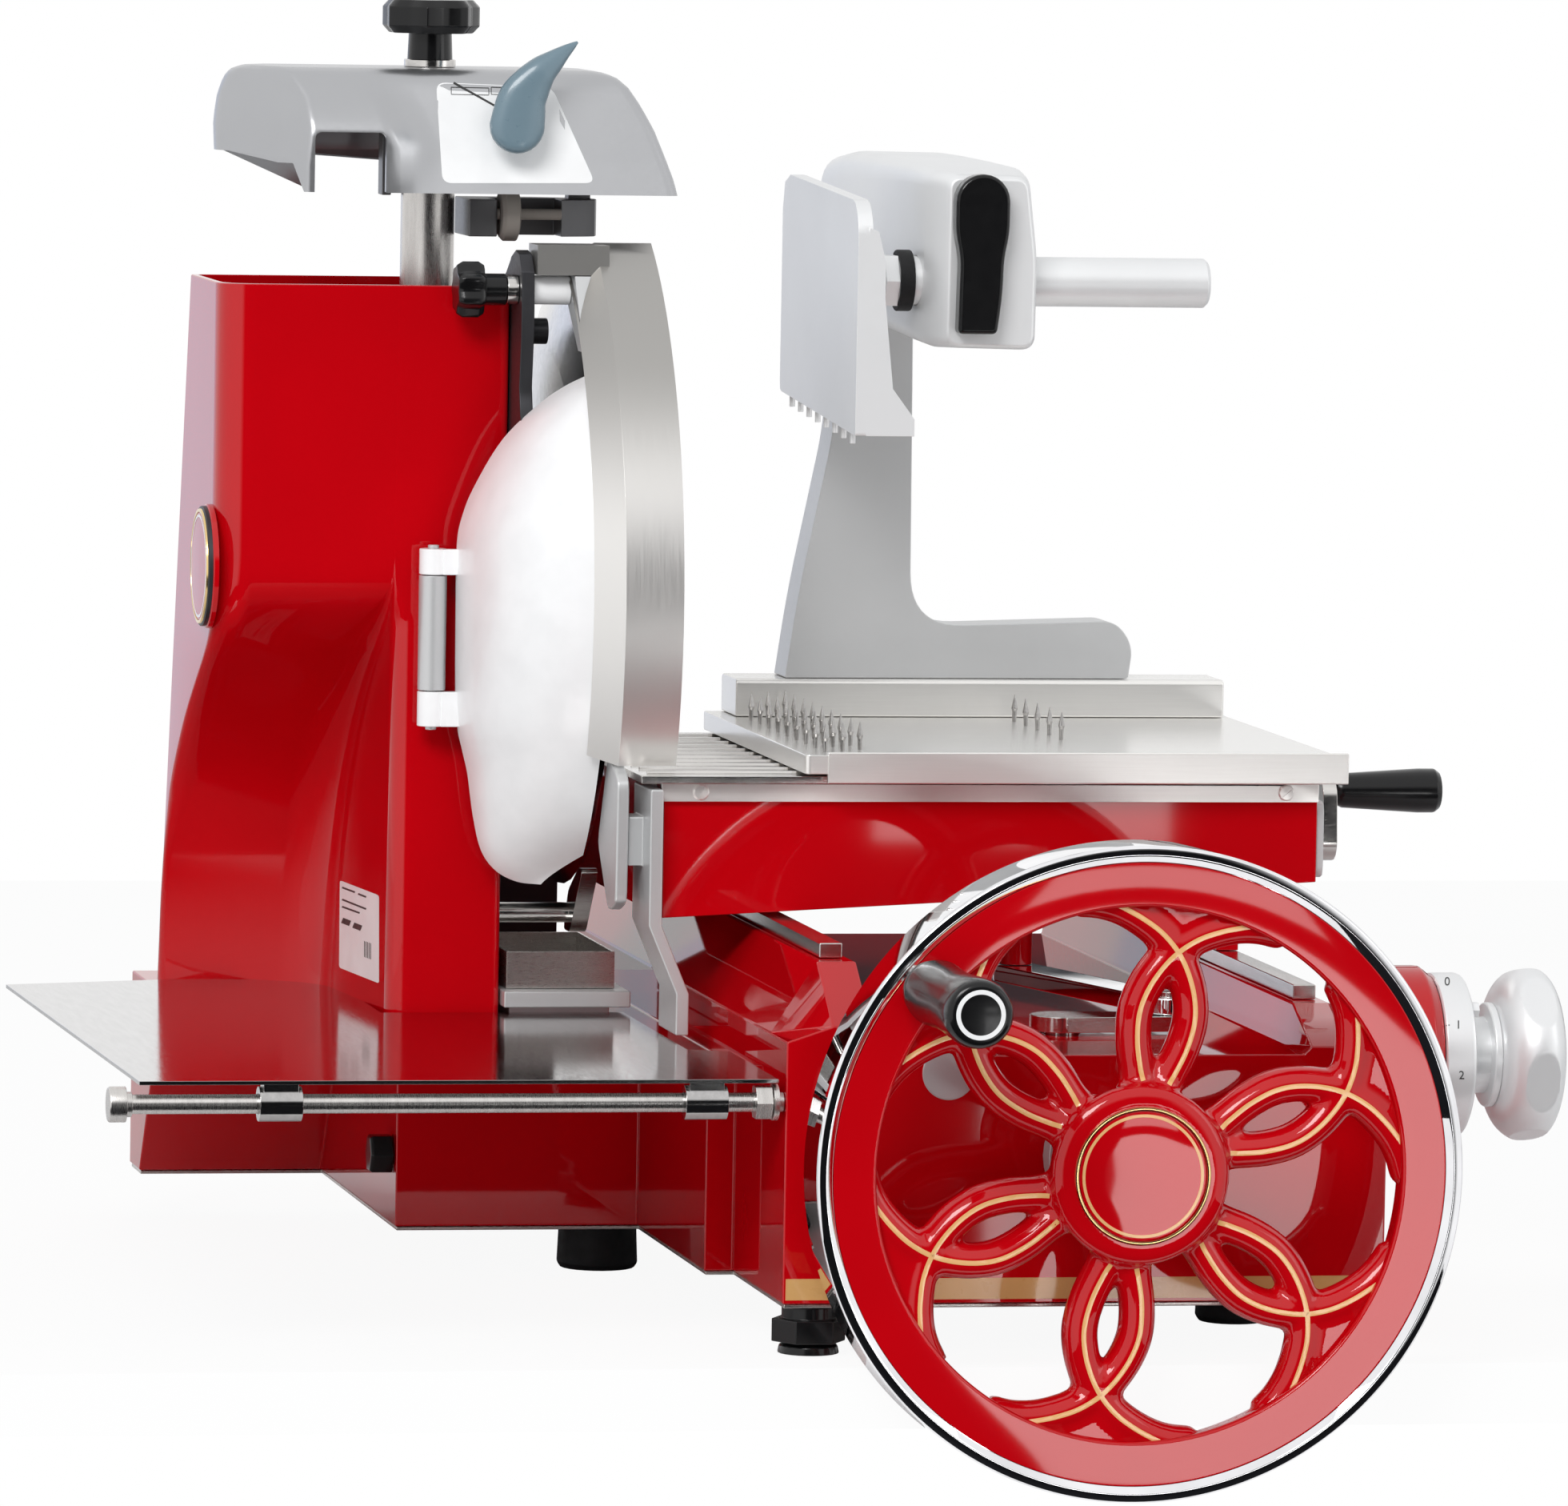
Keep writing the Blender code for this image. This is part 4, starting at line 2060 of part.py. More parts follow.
def dial_boss():
    left = BASE_WIDTH + GAP
    right = left + DIAL_BOSS_LENGTH
    at = (DIAL_Y, DIAL_Z)
    boss = turned(
        "dial_boss",
        [
            (left, 0),
            (left, DIAL_BOSS_RADIUS),
            (right - 0.006, DIAL_BOSS_RADIUS),
            (right, DIAL_BOSS_RADIUS - 0.005),
            (right, 0),
        ],
        "X",
        at,
        RED,
        40,
    )
    bore = cylinder("bore", "X", at, 0.008 + GAP, left + 0.01, right + 0.01, RED, 20)
    return cut(boss, [bore])


def thickness_dial():
    """The numbered dial, its shaft and its lobed hand knob, all turning together."""
    at = (DIAL_Y, DIAL_Z)
    left = BASE_WIDTH + DIAL_BOSS_LENGTH + 2 * GAP
    right = left + DIAL_LENGTH
    knob_left = right + 0.016
    knob_right = knob_left + DIAL_KNOB_LENGTH
    body = turned(
        "thickness_dial",
        [
            (left - 0.025, 0),
            (left - 0.025, 0.008),
            (left, 0.008),
            (left, DIAL_RADIUS - 0.001),
            (left + 0.001, DIAL_RADIUS),
            (right - 0.002, DIAL_RADIUS - 0.001),
            (right, DIAL_RADIUS - 0.003),
            (right, DIAL_SHAFT_RADIUS + 0.002),
            (right + 0.002, DIAL_SHAFT_RADIUS),
            (knob_left - 0.001, DIAL_SHAFT_RADIUS),
            (knob_left - 0.001, DIAL_SHAFT_RADIUS + 0.009),
            (knob_left + 0.006, DIAL_SHAFT_RADIUS + 0.009),
            (knob_left + 0.006, 0),
        ],
        "X",
        at,
        CAST,
        40,
    )
    knob = lobed_knob("knob", "X", at, DIAL_KNOB_RADIUS, 0.009, 6, knob_left, knob_right, CAST)
    stop = box(
        "stop",
        (right - 0.005, DIAL_Y - 0.004, DIAL_Z + DIAL_RADIUS - 0.004),
        (right - 0.001, DIAL_Y + 0.004, DIAL_Z + DIAL_RADIUS + 0.002),
        CAST,
    )
    return combine(body, [knob, stop])


def build():
    base_casting()
    bottom_plate()
    foot("foot_front_left", FRONT_FOOT, FOOT_RADIUS, True)
    foot("foot_right", RIGHT_FOOT, FOOT_RADIUS, False)
    foot("foot_rear_left", REAR_LEFT_FOOT, REAR_FOOT_RADIUS, False)
    foot("foot_rear_right", REAR_RIGHT_FOOT, REAR_FOOT_RADIUS, False)
    tower_housing()
    blade_frame()
    chain()
    cross_bearing()
    wheel_bearing()
    carriage_rail("rail_left", RAIL_LEFT_X, RIDGE_Z)
    carriage_rail("rail_right", RAIL_RIGHT_X, RIGHT_RIDGE_Z)
    dial_boss()

    hang_on((BLADE_EDGE_X, BLADE_Y, BLADE_Z), [blade_disc(), blade_arbor()], "blade_axis")
    blade_guard()
    guard_pin()
    guard_spacer()
    guard_tab()
    hang_on((TOWER_RIGHT_X, GUARD_PIN_Y, GUARD_PIN_Z), [guard_knob()], "guard_knob_axis")
    deflector()
    deflector_arm()
    hinge_tube()
    hang_on((HINGE_X, HINGE_Y, HINGE_LOW_Z), [blade_cover()], "cover_axis")

    cylinder("sharpener_post", "Z", (POST_X, POST_Y), POST_RADIUS, BLADE_Z + 0.070, POST_TOP_Z, STEEL, 28)
    stone_low = POST_X + 0.036
    hang_on((POST_X, POST_Y, SHARP_LOW_Z), [sharpener_cover(), sharpener_saddle()], "sharpener_slide")
    stone_z = SHARP_LOW_Z - 0.012
    hang_on(
        (stone_low, POST_Y - 0.019, stone_z),
        [stone("grinding_stone", stone_low, POST_Y - 0.019)],
        "stone_axis",
    )
    hang_on((POST_X, POST_Y, SHARP_TOP_Z), [top_knob()], "top_knob_axis")
    hang_on((LEVER_X, SHARP_FRONT_Y, LEVER_Z), [sharpener_lever()], "lever_axis")

    tray_rod()
    hang_on((TRAY_ROD_LEFT_X, TRAY_ROD_Y, TRAY_ROD_Z), [slice_tray()], "tray_slide")
    drip_box()
    drip_shelf()
    lower_arm()

    wheel = [wheel_web(), wheel_rim(), hub_medallion(), wheel_shaft(), grip_pin()]
    hang_on((WHEEL_X, WHEEL_FRONT_Y, WHEEL_Z), wheel, "wheel_axis")
    grip = grip_centre()
    hang_on((grip[0], WHEEL_FRONT_Y, grip[1]), [wheel_grip()], "grip_axis")
    hang_on((WHEEL_X, CRANK_Y, DECK_Z), [crank_shaft()], "crank_axis")
    hang_on((WHEEL_X + CRANK_THROW, CRANK_Y, DECK_Z), [connecting_rod()], "link_axis")
    hang_on((WHEEL_X, CROSS_Y, WHEEL_Z), [cross_shaft()], "cross_axis")

    carriage = [carriage_box(), carriage_strip(), carriage_bed(), end_plate()]
    hang_on((CARRIAGE_LEFT_X, CARRIAGE_FRONT_Y, CARRIAGE_TOP_Z), carriage, "carriage_slide")
    table = [meat_table(), table_fence(), press_column(), press_head()]
    hang_on((TABLE_LEFT_X, TABLE_FRONT_Y, TABLE_TOP_Z), table, "table_slide")
    hang_on((FEED_ARM_X, FEED_Y, FEED_Z), [feed_screw()], "feed_axis")
    hang_on((FEED_ARM_X, FEED_Y, FEED_GRIP_Z), [feed_grip()], "feed_grip_axis")
    press = [press_rod(), press_ring(), press_plate()]
    hang_on((PRESS_PLATE_X, PRESS_ROD_Y, PRESS_ROD_Z), press, "press_slide")
    hang_on((LOCK_X, HEAD_FRONT_Y - GAP - 0.00625, LOCK_PIVOT_Z), [lock_lever()], "lock_axis")
    hang_on((BASE_WIDTH, DIAL_Y, DIAL_Z), [thickness_dial()], "dial_axis")


build()
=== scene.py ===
# %% [markdown]
# # A hand cranked food slicer
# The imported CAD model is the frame: every solid has its true size and place, and each belongs to a
# body that turns or slides. This notebook dresses that frame. It makes the camera, the studio and
# the finishes, then rebuilds the pieces whose curves or trim need more than the plain solids give.

import json
import math

import bmesh
import bpy
from mathutils import Matrix, Vector
from mathutils.bvhtree import BVHTree


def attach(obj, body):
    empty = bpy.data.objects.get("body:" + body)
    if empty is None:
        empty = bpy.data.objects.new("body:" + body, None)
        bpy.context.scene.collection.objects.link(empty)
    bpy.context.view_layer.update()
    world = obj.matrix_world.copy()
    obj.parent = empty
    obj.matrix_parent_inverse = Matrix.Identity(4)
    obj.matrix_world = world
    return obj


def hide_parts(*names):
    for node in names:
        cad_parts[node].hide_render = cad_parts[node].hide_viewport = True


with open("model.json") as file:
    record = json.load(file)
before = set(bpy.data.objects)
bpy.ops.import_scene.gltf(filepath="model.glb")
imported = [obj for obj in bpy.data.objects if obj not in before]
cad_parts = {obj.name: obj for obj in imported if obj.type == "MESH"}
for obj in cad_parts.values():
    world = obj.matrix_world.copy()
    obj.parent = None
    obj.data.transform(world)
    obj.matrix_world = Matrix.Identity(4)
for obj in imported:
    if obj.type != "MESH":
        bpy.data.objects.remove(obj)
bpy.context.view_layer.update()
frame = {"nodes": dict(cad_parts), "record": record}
nodes = frame["nodes"]
scene = bpy.context.scene

# %% [markdown]
# Sizes on the drawing are counted from the front left bottom corner of the base, in millimetres.
# The frame's origin lies under the front left foot, so one small function turns a drawing place
# into a place in the frame, in metres.

# %% Drawing places
ORIGIN = Vector((-17.0, -16.0, 27.0))


def at(x, y, z):
    """A drawing place in millimetres as a frame place in metres."""
    return (Vector((x, y, z)) + ORIGIN) / 1000


# %% [markdown]
# A long lens far away keeps parallel edges almost parallel, as in a catalogue picture. The camera
# stands a little to the left and a little above, and is rolled by one degree.

# %% Camera
CAMERA_TURN = math.radians(11.1)
CAMERA_TILT = math.radians(4.65)
CAMERA_ROLL = math.radians(1.03)
CAMERA_PLACE = (-1180.10, -5992.89, 780.24)
PICTURE_WIDTH = 1960
PICTURE_MIDDLE = (980, 941)
FOCAL_LENGTH = 15000
SENSOR = 36

level = Vector((math.cos(CAMERA_TURN), -math.sin(CAMERA_TURN), 0))
ahead = Vector((math.sin(CAMERA_TURN), math.cos(CAMERA_TURN), 0))
forward = ahead * math.cos(CAMERA_TILT) - Vector((0, 0, math.sin(CAMERA_TILT)))
upright = level.cross(forward)
right = level * math.cos(CAMERA_ROLL) + upright * math.sin(CAMERA_ROLL)
up = upright * math.cos(CAMERA_ROLL) - level * math.sin(CAMERA_ROLL)
lens = bpy.data.cameras.new("camera")
lens.lens = FOCAL_LENGTH / PICTURE_WIDTH * SENSOR
lens.sensor_width = SENSOR
lens.clip_end = 60
camera = bpy.data.objects.new("camera", lens)
turn = Matrix((right, up, -forward)).transposed()
camera.matrix_world = Matrix.Translation(at(*CAMERA_PLACE)) @ turn.to_4x4()
scene.collection.objects.link(camera)
scene.camera = camera
scene.view_settings.view_transform = "Standard"
print("lens:", round(lens.lens, 1), "mm")

# %% [markdown]
# A material is a tree of small nodes, and most of them do one sum. Two helpers write such trees in
# a line per node, so that the studio and the finishes stay short.


# %% Shader nodes
def wire(tree, kind, plugs=None, **settings):
    """The outputs of a new node, whose inputs are linked where the value is an output, or else set."""
    made = tree.nodes.new(kind if "Node" in kind else "ShaderNode" + kind)
    for key, value in settings.items():
        setattr(made, key, value)
    for slot, value in (plugs or {}).items():
        if isinstance(value, bpy.types.NodeSocket):
            tree.links.new(value, made.inputs[slot])
        else:
            made.inputs[slot].default_value = value
    return made.outputs


def new_finish(name, color, roughness, metallic=0.0, **more):
    """A material and its Principled shader, with the values for its sockets."""
    finish = bpy.data.materials.new(name)
    finish.use_nodes = True
    shader = finish.node_tree.nodes["Principled BSDF"]
    values = {"Base Color": (*color, 1), "Roughness": roughness, "Metallic": metallic, **more}
    for slot, value in values.items():
        shader.inputs[slot].default_value = value
    return finish, shader

# %% [markdown]
# Shiny enamel and steel look like what stands round them, so the studio is half of the finish. The
# world is plain white where the lens, metal or glass sees it, and softer where it lights matt
# surfaces.

# %% World
AMBIENT = 0.52
world = bpy.data.worlds.new("studio")
scene.world = world
world.use_nodes = True
sky = world.node_tree
sky.nodes.clear()
seen = wire(sky, "Background", {"Color": (1, 1, 1, 1), "Strength": 1.0})
lighting = wire(sky, "Background", {"Color": (0.96, 0.98, 1.0, 1), "Strength": AMBIENT})
ray = wire(sky, "LightPath")
either = wire(sky, "Math", {0: ray["Is Camera Ray"], 1: ray["Is Glossy Ray"]}, operation="MAXIMUM")
any_of = wire(sky, "Math", {0: either[0], 1: ray["Is Transmission Ray"]}, operation="MAXIMUM")
mixed = wire(sky, "MixShader", {0: any_of[0], 1: lighting[0], 2: seen[0]})
wire(sky, "OutputWorld", {0: mixed[0]})
print("world nodes:", len(sky.nodes))

# %% [markdown]
# Soft boxes give the long highlights. The fill in front isn't mirrored, because its bright patch
# would hide the red of the base.


# %% Soft boxes
def soft_box(name, place, aim, width, height, power, mirrored=True):
    """A rectangular lamp at a place, turned towards a point."""
    lamp = bpy.data.lights.new(name, "AREA")
    lamp.shape = "RECTANGLE"
    lamp.size = width
    lamp.size_y = height
    lamp.energy = power
    holder = bpy.data.objects.new(name, lamp)
    holder.location = place
    run = Vector(aim) - Vector(place)
    holder.rotation_euler = run.to_track_quat("-Z", "Y").to_euler()
    holder.visible_camera = False
    holder.visible_glossy = mirrored
    scene.collection.objects.link(holder)


soft_box("key", (-1.6, -2.6, 2.6), (0.05, 0.2, 0.25), 1.8, 1.2, 80)
soft_box("side", (2.6, -1.2, 1.3), (0.1, 0.2, 0.2), 1.0, 1.6, 6)
soft_box("front_fill", (-0.4, -4.6, 0.2), (0.05, 0.0, 0.2), 1.6, 0.9, 22, mirrored=False)
soft_box("wheel_low", (0.93, -3.0, -0.33), (0.15, -0.1, 0.1), 0.40, 0.42, 2.6)
soft_box("wheel_high", (0.84, -3.0, 0.0), (0.15, -0.1, 0.25), 0.24, 0.09, 0.26)
print("lamps:", len(bpy.data.lights))

# %% [markdown]
# A dark card stands behind the lens, because a real studio is dark there, and smaller cards give the
# steel something to mirror. The floor is a pale slab that catches the soft shadow.


# %% Cards and floor
def surface(shader, share, other):
    """Blends the shader with another one before the material's output."""
    tree = shader.id_data
    mix = wire(tree, "MixShader", {0: share, 1: shader.outputs[0], 2: other})
    tree.links.new(mix[0], tree.nodes["Material Output"].inputs[0])


def fade_out(shader, ranges):
    """Thins a board out towards its edges, so that its mirror image has soft ends."""
    tree = shader.id_data
    split = wire(tree, "SeparateXYZ", {0: wire(tree, "TexCoord")["Object"]})
    thinned = 0.0
    for axis, (solid, gone) in ranges.items():
        away = wire(tree, "Math", {0: split[axis]}, operation="ABSOLUTE")[0]
        spread = {"Value": away, "From Min": solid, "From Max": gone}
        spread = wire(tree, "MapRange", spread, interpolation_type="SMOOTHSTEP")[0]
        thinned = wire(tree, "Math", {0: thinned, 1: spread}, operation="MAXIMUM")[0]
    surface(shader, thinned, wire(tree, "BsdfTransparent")[0])


def card(name, corners, color, fade=None, glow=None):
    """A flat board round the object, which only mirror images show."""
    mesh = bpy.data.meshes.new(name)
    mesh.from_pydata([Vector(c) for c in corners], [], [tuple(range(len(corners)))])
    board = bpy.data.objects.new(name, mesh)
    scene.collection.objects.link(board)
    more = {"Emission Color": (*glow, 1), "Emission Strength": 1.0} if glow else {}
    paint, shader = new_finish(name, color, 0.9, **{"Specular IOR Level": 0.0}, **more)
    if fade:
        fade_out(shader, fade)
    mesh.materials.append(paint)
    board.visible_camera = False
    board.visible_diffuse = False
    board.visible_shadow = False


DARK = (0.015, 0.015, 0.017)
SIDE, FAR, NEAR, GROUND, TOP = 4.5, -7.6, -0.7, -1.6, 4.4
dark_wall = [(-SIDE, FAR, GROUND), (SIDE, FAR, GROUND), (SIDE, FAR, TOP), (-SIDE, FAR, TOP)]
dark_floor = [(-SIDE, FAR, GROUND), (SIDE, FAR, GROUND), (SIDE, NEAR, GROUND), (-SIDE, NEAR, GROUND)]
behind_right = [(0.28, 2.2, -0.03), (2.2, 2.2, -0.03), (2.2, 2.2, 0.38), (0.28, 2.2, 0.38)]
behind_left = [(-2.6, 4.5, -0.2), (-0.75, 4.5, -0.2), (-0.75, 4.5, 2.2), (-2.6, 4.5, 2.2)]
card("dark_card", dark_wall, DARK, fade={"X": (2.4, 4.5), "Z": (1.9, 4.3)})
card("dark_ground", dark_floor, DARK)
card("low_card", behind_right, (0.05, 0.05, 0.055))
card("left_card", behind_left, (0.02, 0.02, 0.02), glow=(0.82, 0.88, 1.02))


def white_floor(name, low, high):
    """A pale slab that the lens sees as nearly white, though it still takes shadows."""
    mesh = bpy.data.meshes.new(name)
    form = bmesh.new()
    bmesh.ops.create_cube(form, size=1)
    middle = (Vector(low) + Vector(high)) / 2
    span = Vector(high) - Vector(low)
    place = Matrix.Translation(middle) @ Matrix.Diagonal((*span, 1))
    bmesh.ops.transform(form, matrix=place, verts=form.verts)
    form.to_mesh(mesh)
    form.free()
    floor = bpy.data.objects.new(name, mesh)
    scene.collection.objects.link(floor)
    paint, shader = new_finish(name, (0.93, 0.93, 0.93), 0.8)
    tree = shader.id_data
    share = {0: wire(tree, "LightPath")["Is Camera Ray"], 1: 0.93}
    share = wire(tree, "Math", share, operation="MULTIPLY")[0]
    surface(shader, share, wire(tree, "Emission")[0])
    mesh.materials.append(paint)


white_floor("counter_top", (-2.5, -0.058, -0.032), (2.8, 2.6, -0.0004))

# %% [markdown]
# Each finish starts from the Principled shader. Enamel is a saturated base under a clear coat, with
# the faint orange peel of sprayed paint. Steel is metallic, and its roughness and bump come from
# noise stretched along the way it was ground.


# %% Finishes
def noise(shader, scale, stretch=(1, 1, 1), detail=4.0):
    """A noise pattern on the piece's own coordinates, squeezed or stretched along its axes."""
    tree = shader.id_data
    place = wire(tree, "Mapping", {"Vector": wire(tree, "TexCoord")["Object"], "Scale": stretch})[0]
    return wire(tree, "TexNoise", {"Vector": place, "Scale": scale, "Detail": detail})["Fac"]


def vary(shader, slot, fac, low, high, span=(0.3, 0.7), curve="LINEAR"):
    """Lets a pattern run a socket of the shader between two values or colours."""
    tree = shader.id_data
    spread = {"Value": fac, "From Min": span[0], "From Max": span[1]}
    if isinstance(low, tuple):
        spread = wire(tree, "MapRange", spread, interpolation_type=curve)[0]
        spread = wire(tree, "Mix", {0: spread, 6: (*low, 1), 7: (*high, 1)}, data_type="RGBA")[2]
    else:
        spread = wire(tree, "MapRange", {**spread, "To Min": low, "To Max": high})[0]
    tree.links.new(spread, shader.inputs[slot])


def bump(shader, fac, strength, distance):
    lift = wire(shader.id_data, "Bump", {"Strength": strength, "Distance": distance, "Height": fac})
    shader.id_data.links.new(lift["Normal"], shader.inputs["Normal"])


def toned(color, factor):
    return tuple(min(1.0, c * factor) for c in color)


def enamel(name, color):
    """Glossy paint whose clear coat is thinned where a mesh's attribute asks for it. That is painted shade:
    faces turned down lose most of their reflection, as faces in shade do.
    """
    finish, shader = new_finish(name, color, 0.28, **{"Coat Roughness": 0.03, "Specular IOR Level": 0.0})
    tree = shader.id_data
    # Painted shade: the attribute thins the clear coat, so faces marked as shaded reflect less and look
    # darker.
    painted_shade = wire(tree, "Attribute", attribute_name="painted_shade")["Fac"]
    gloss = wire(tree, "MapRange", {"Value": painted_shade, "To Min": 1.0, "To Max": 0.14})
    tree.links.new(gloss[0], shader.inputs["Coat Weight"])
    vary(shader, "Base Color", noise(shader, 9), toned(color, 0.9), color)
    vary(shader, "Roughness", noise(shader, 60), 0.24, 0.34)
    bump(shader, noise(shader, 240, detail=0.0), 0.012, 0.0004)
    return finish


def steel(name, color, rough_low, rough_high, stretch, scale=220, strength=0.12, contrast=0.10):
    """Ground or brushed steel: the noise is squeezed across the grain."""
    finish, shader = new_finish(name, color, rough_low, 1.0)
    grain = noise(shader, scale, stretch)
    vary(shader, "Roughness", grain, rough_low, rough_high)
    bright = toned(color, 1 + contrast * 0.8)
    vary(shader, "Base Color", noise(shader, 30, stretch), toned(color, 1 - contrast), bright)
    bump(shader, grain, strength, 0.0002)
    return finish


def steel_shaded_to_top(name, low_color, shaded_top_color, rise, roughness):
    """Steel brushed along a band. Its colour darkens smoothly towards the top, which is painted shade for
    the darker reflection that the band's top has.
    """
    finish, shader = new_finish(name, low_color, roughness[0], 0.85)
    place = wire(shader.id_data, "TexCoord")["Object"]
    height = wire(shader.id_data, "SeparateXYZ", {0: place})["Z"]
    vary(shader, "Base Color", height, low_color, shaded_top_color, rise, "SMOOTHSTEP")
    grain = noise(shader, 60, (60, 1, 1))
    vary(shader, "Roughness", grain, *roughness)
    bump(shader, grain, 0.04, 0.0002)
    return finish


def casting(name, color, roughness, metallic):
    """Cast metal with a fine, even grit."""
    finish, shader = new_finish(name, color, roughness, metallic)
    vary(shader, "Base Color", noise(shader, 14), toned(color, 0.96), color)
    vary(shader, "Roughness", noise(shader, 420), roughness * 0.92, roughness * 1.08)
    bump(shader, noise(shader, 1500, detail=2.0), 0.07, 0.0002)
    return finish


def moulded(name, color, roughness, coat, grain, sheen=0.5):
    """Plastic, rubber or flat paint, with a thin coat and a grain."""
    more = {"Coat Weight": coat, "Coat Roughness": 0.08, "Specular IOR Level": sheen}
    finish, shader = new_finish(name, color, roughness, **more)
    vary(shader, "Base Color", noise(shader, 40), toned(color, 0.93), color)
    vary(shader, "Roughness", noise(shader, 150), roughness * 0.85, roughness * 1.15)
    bump(shader, noise(shader, 500, detail=2.0), grain, 0.0003)
    return finish


red_enamel = enamel("red_enamel", (0.56, 0.0010, 0.0050))
gold_paint = moulded("gold_paint", (0.72, 0.42, 0.15), 0.30, 0.8, 0.03)
cream_paint = moulded("cream_paint", (0.86, 0.46, 0.17), 0.30, 0.8, 0.03)
brass_trim = steel("brass_trim", (0.80, 0.58, 0.26), 0.12, 0.22, (1, 1, 1), 120, 0.05)
polished = steel("polished_steel", (0.66, 0.64, 0.62), 0.10, 0.20, (1, 12, 12))
polished_y = steel("polished_steel_lengthways", (0.66, 0.64, 0.62), 0.12, 0.22, (14, 1, 14))
tray_steel = steel("tray_steel", (0.50, 0.49, 0.485), 0.08, 0.14, (10, 1, 10), 120, 0.03)
brushed = steel("brushed_steel", (0.66, 0.64, 0.61), 0.24, 0.34, (1, 1, 24), 260, 0.05, 0.04)
# Painted shade: the guard band's colour falls from pale steel to dark towards its top.
guard_steel_shaded_top = steel_shaded_to_top("guard_steel_shaded_top", (0.80, 0.785, 0.765), (0.40, 0.39, 0.375), (0.40, 0.50), (0.30, 0.38))
spike_steel = steel("spike_steel", (0.42, 0.41, 0.40), 0.16, 0.24, (1, 1, 12), 200, 0.05)
rod_steel = steel("rod_steel", (0.62, 0.60, 0.58), 0.24, 0.32, (12, 1, 1), 200, 0.06)
hood_cast = casting("hood_aluminium", (0.46, 0.465, 0.48), 0.30, 0.85)
ground_steel = steel("ground_steel", (0.90, 0.885, 0.86), 0.20, 0.25, (1, 40, 40), 260, 0.015, 0.02)
ground_steel.node_tree.nodes["Principled BSDF"].inputs["Metallic"].default_value = 0.55
chrome = steel("chrome", (0.86, 0.86, 0.88), 0.015, 0.035, (1, 1, 1), 40, 0.01)
satin = casting("satin_aluminium", (0.62, 0.625, 0.63), 0.38, 0.45)
pale_cast = casting("pale_aluminium", (0.85, 0.855, 0.86), 0.40, 0.35)
# Painted shade: this aluminium is made dark, since the saddle it dresses sits in the shade under the hood.
aluminium_in_painted_shade = casting("aluminium_painted_shade", (0.16, 0.16, 0.165), 0.36, 0.7)
dial_cast = casting("dial_aluminium", (0.84, 0.845, 0.85), 0.36, 0.40)
dark_cast = casting("dark_casting", (0.05, 0.05, 0.055), 0.42, 0.7)
white_shell = moulded("white_shell", (0.965, 0.965, 0.97), 0.34, 0.2, 0.0)
label_white = moulded("label_white", (0.94, 0.94, 0.94), 0.35, 0.3, 0.01)
black_gloss = moulded("black_gloss", (0.006, 0.006, 0.0065), 0.22, 0.22, 0.03, 0.25)
rubber = moulded("black_rubber", (0.010, 0.010, 0.011), 0.62, 0.0, 0.3, 0.3)
lever_blue = moulded("blue_grey_plastic", (0.165, 0.245, 0.295), 0.30, 0.25, 0.10)
stone_grit = casting("grinding_stone", (0.33, 0.30, 0.27), 0.9, 0.0)
ink = moulded("black_ink", (0.02, 0.02, 0.02), 0.5, 0.0, 0.02)
print("finishes:", len(bpy.data.materials))

# %% [markdown]
# A machined part has no perfectly sharp edge, and the thin bright line where light catches a rounded
# edge tells the eye that it is real. The solids that keep their shape are copied, their loose
# triangles are merged, flat areas are cleaned, and a small Bevel rounds the edges.


# %% Shared making helpers
def held(data):
    """A passing holder that lets modifiers act on a mesh or a curve."""
    holder = bpy.data.objects.new("work", data)
    scene.collection.objects.link(holder)
    return holder


def change(holder, kind, **settings):
    step = holder.modifiers.new(kind.lower(), kind)
    for key, value in settings.items():
        setattr(step, key, value)


def baked(holder):
    """The holder's mesh with its modifiers applied. The holder goes."""
    bpy.context.view_layer.update()
    graph = bpy.context.evaluated_depsgraph_get()
    mesh = bpy.data.meshes.new_from_object(holder.evaluated_get(graph))
    bpy.data.objects.remove(holder, do_unlink=True)
    return mesh


def mesh_from(form, mesh=None):
    """The bmesh written into a mesh."""
    mesh = mesh or bpy.data.meshes.new("shape")
    form.to_mesh(mesh)
    form.free()
    return mesh


def flat_kept(mesh):
    """The mesh with its shading weighted by face area, so that large flat faces stay flat."""
    holder = held(mesh)
    change(holder, "WEIGHTED_NORMAL", mode="FACE_AREA", weight=50, keep_sharp=True)
    return baked(holder)


def put(name, mesh, finish, body, *stands_for, smooth=40, slot_name=None):
    """A finished mesh as a piece of the object that rides on a body."""
    for one in finish if isinstance(finish, (list, tuple)) else [finish]:
        mesh.materials.append(one)
    mesh.shade_smooth()
    if smooth < 180:
        mesh.set_sharp_from_angle(angle=math.radians(smooth))
        mesh = flat_kept(mesh)
    mesh.name = name
    piece = bpy.data.objects.new(name, mesh)
    scene.collection.objects.link(piece)
    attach(piece, body)
    if stands_for:
        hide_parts(*stands_for)


def bevelled(mesh, width, segments=2, angle=35):
    """The mesh with its sharp edges rounded."""
    holder = held(mesh)
    limit = math.radians(angle)
    change(holder, "BEVEL", width=width, segments=segments, limit_method="ANGLE", angle_limit=limit)
    return baked(holder)


def cad_copy(node):
    """A node's mesh with its loose triangles merged and its flat areas cleaned."""
    form = bmesh.new()
    form.from_mesh(nodes[node].data)
    bmesh.ops.remove_doubles(form, verts=form.verts, dist=0.000005)
    bmesh.ops.dissolve_limit(
        form, angle_limit=math.radians(1.0), verts=form.verts, edges=form.edges, delimit={"NORMAL"}
    )
    return mesh_from(form)


body_of_node = {}
for body_name, members in frame["record"]["behaviour"]["bodies"].items():
    for member in members:
        body_of_node[member] = body_name


def refine(node, finish, width, segments=2, angle=35):
    """The CAD solid with rounded edges, in its finish."""
    mesh = bevelled(cad_copy(node), width, segments, angle)
    put(node + "_dressed", mesh, finish, body_of_node[node], node, smooth=35)


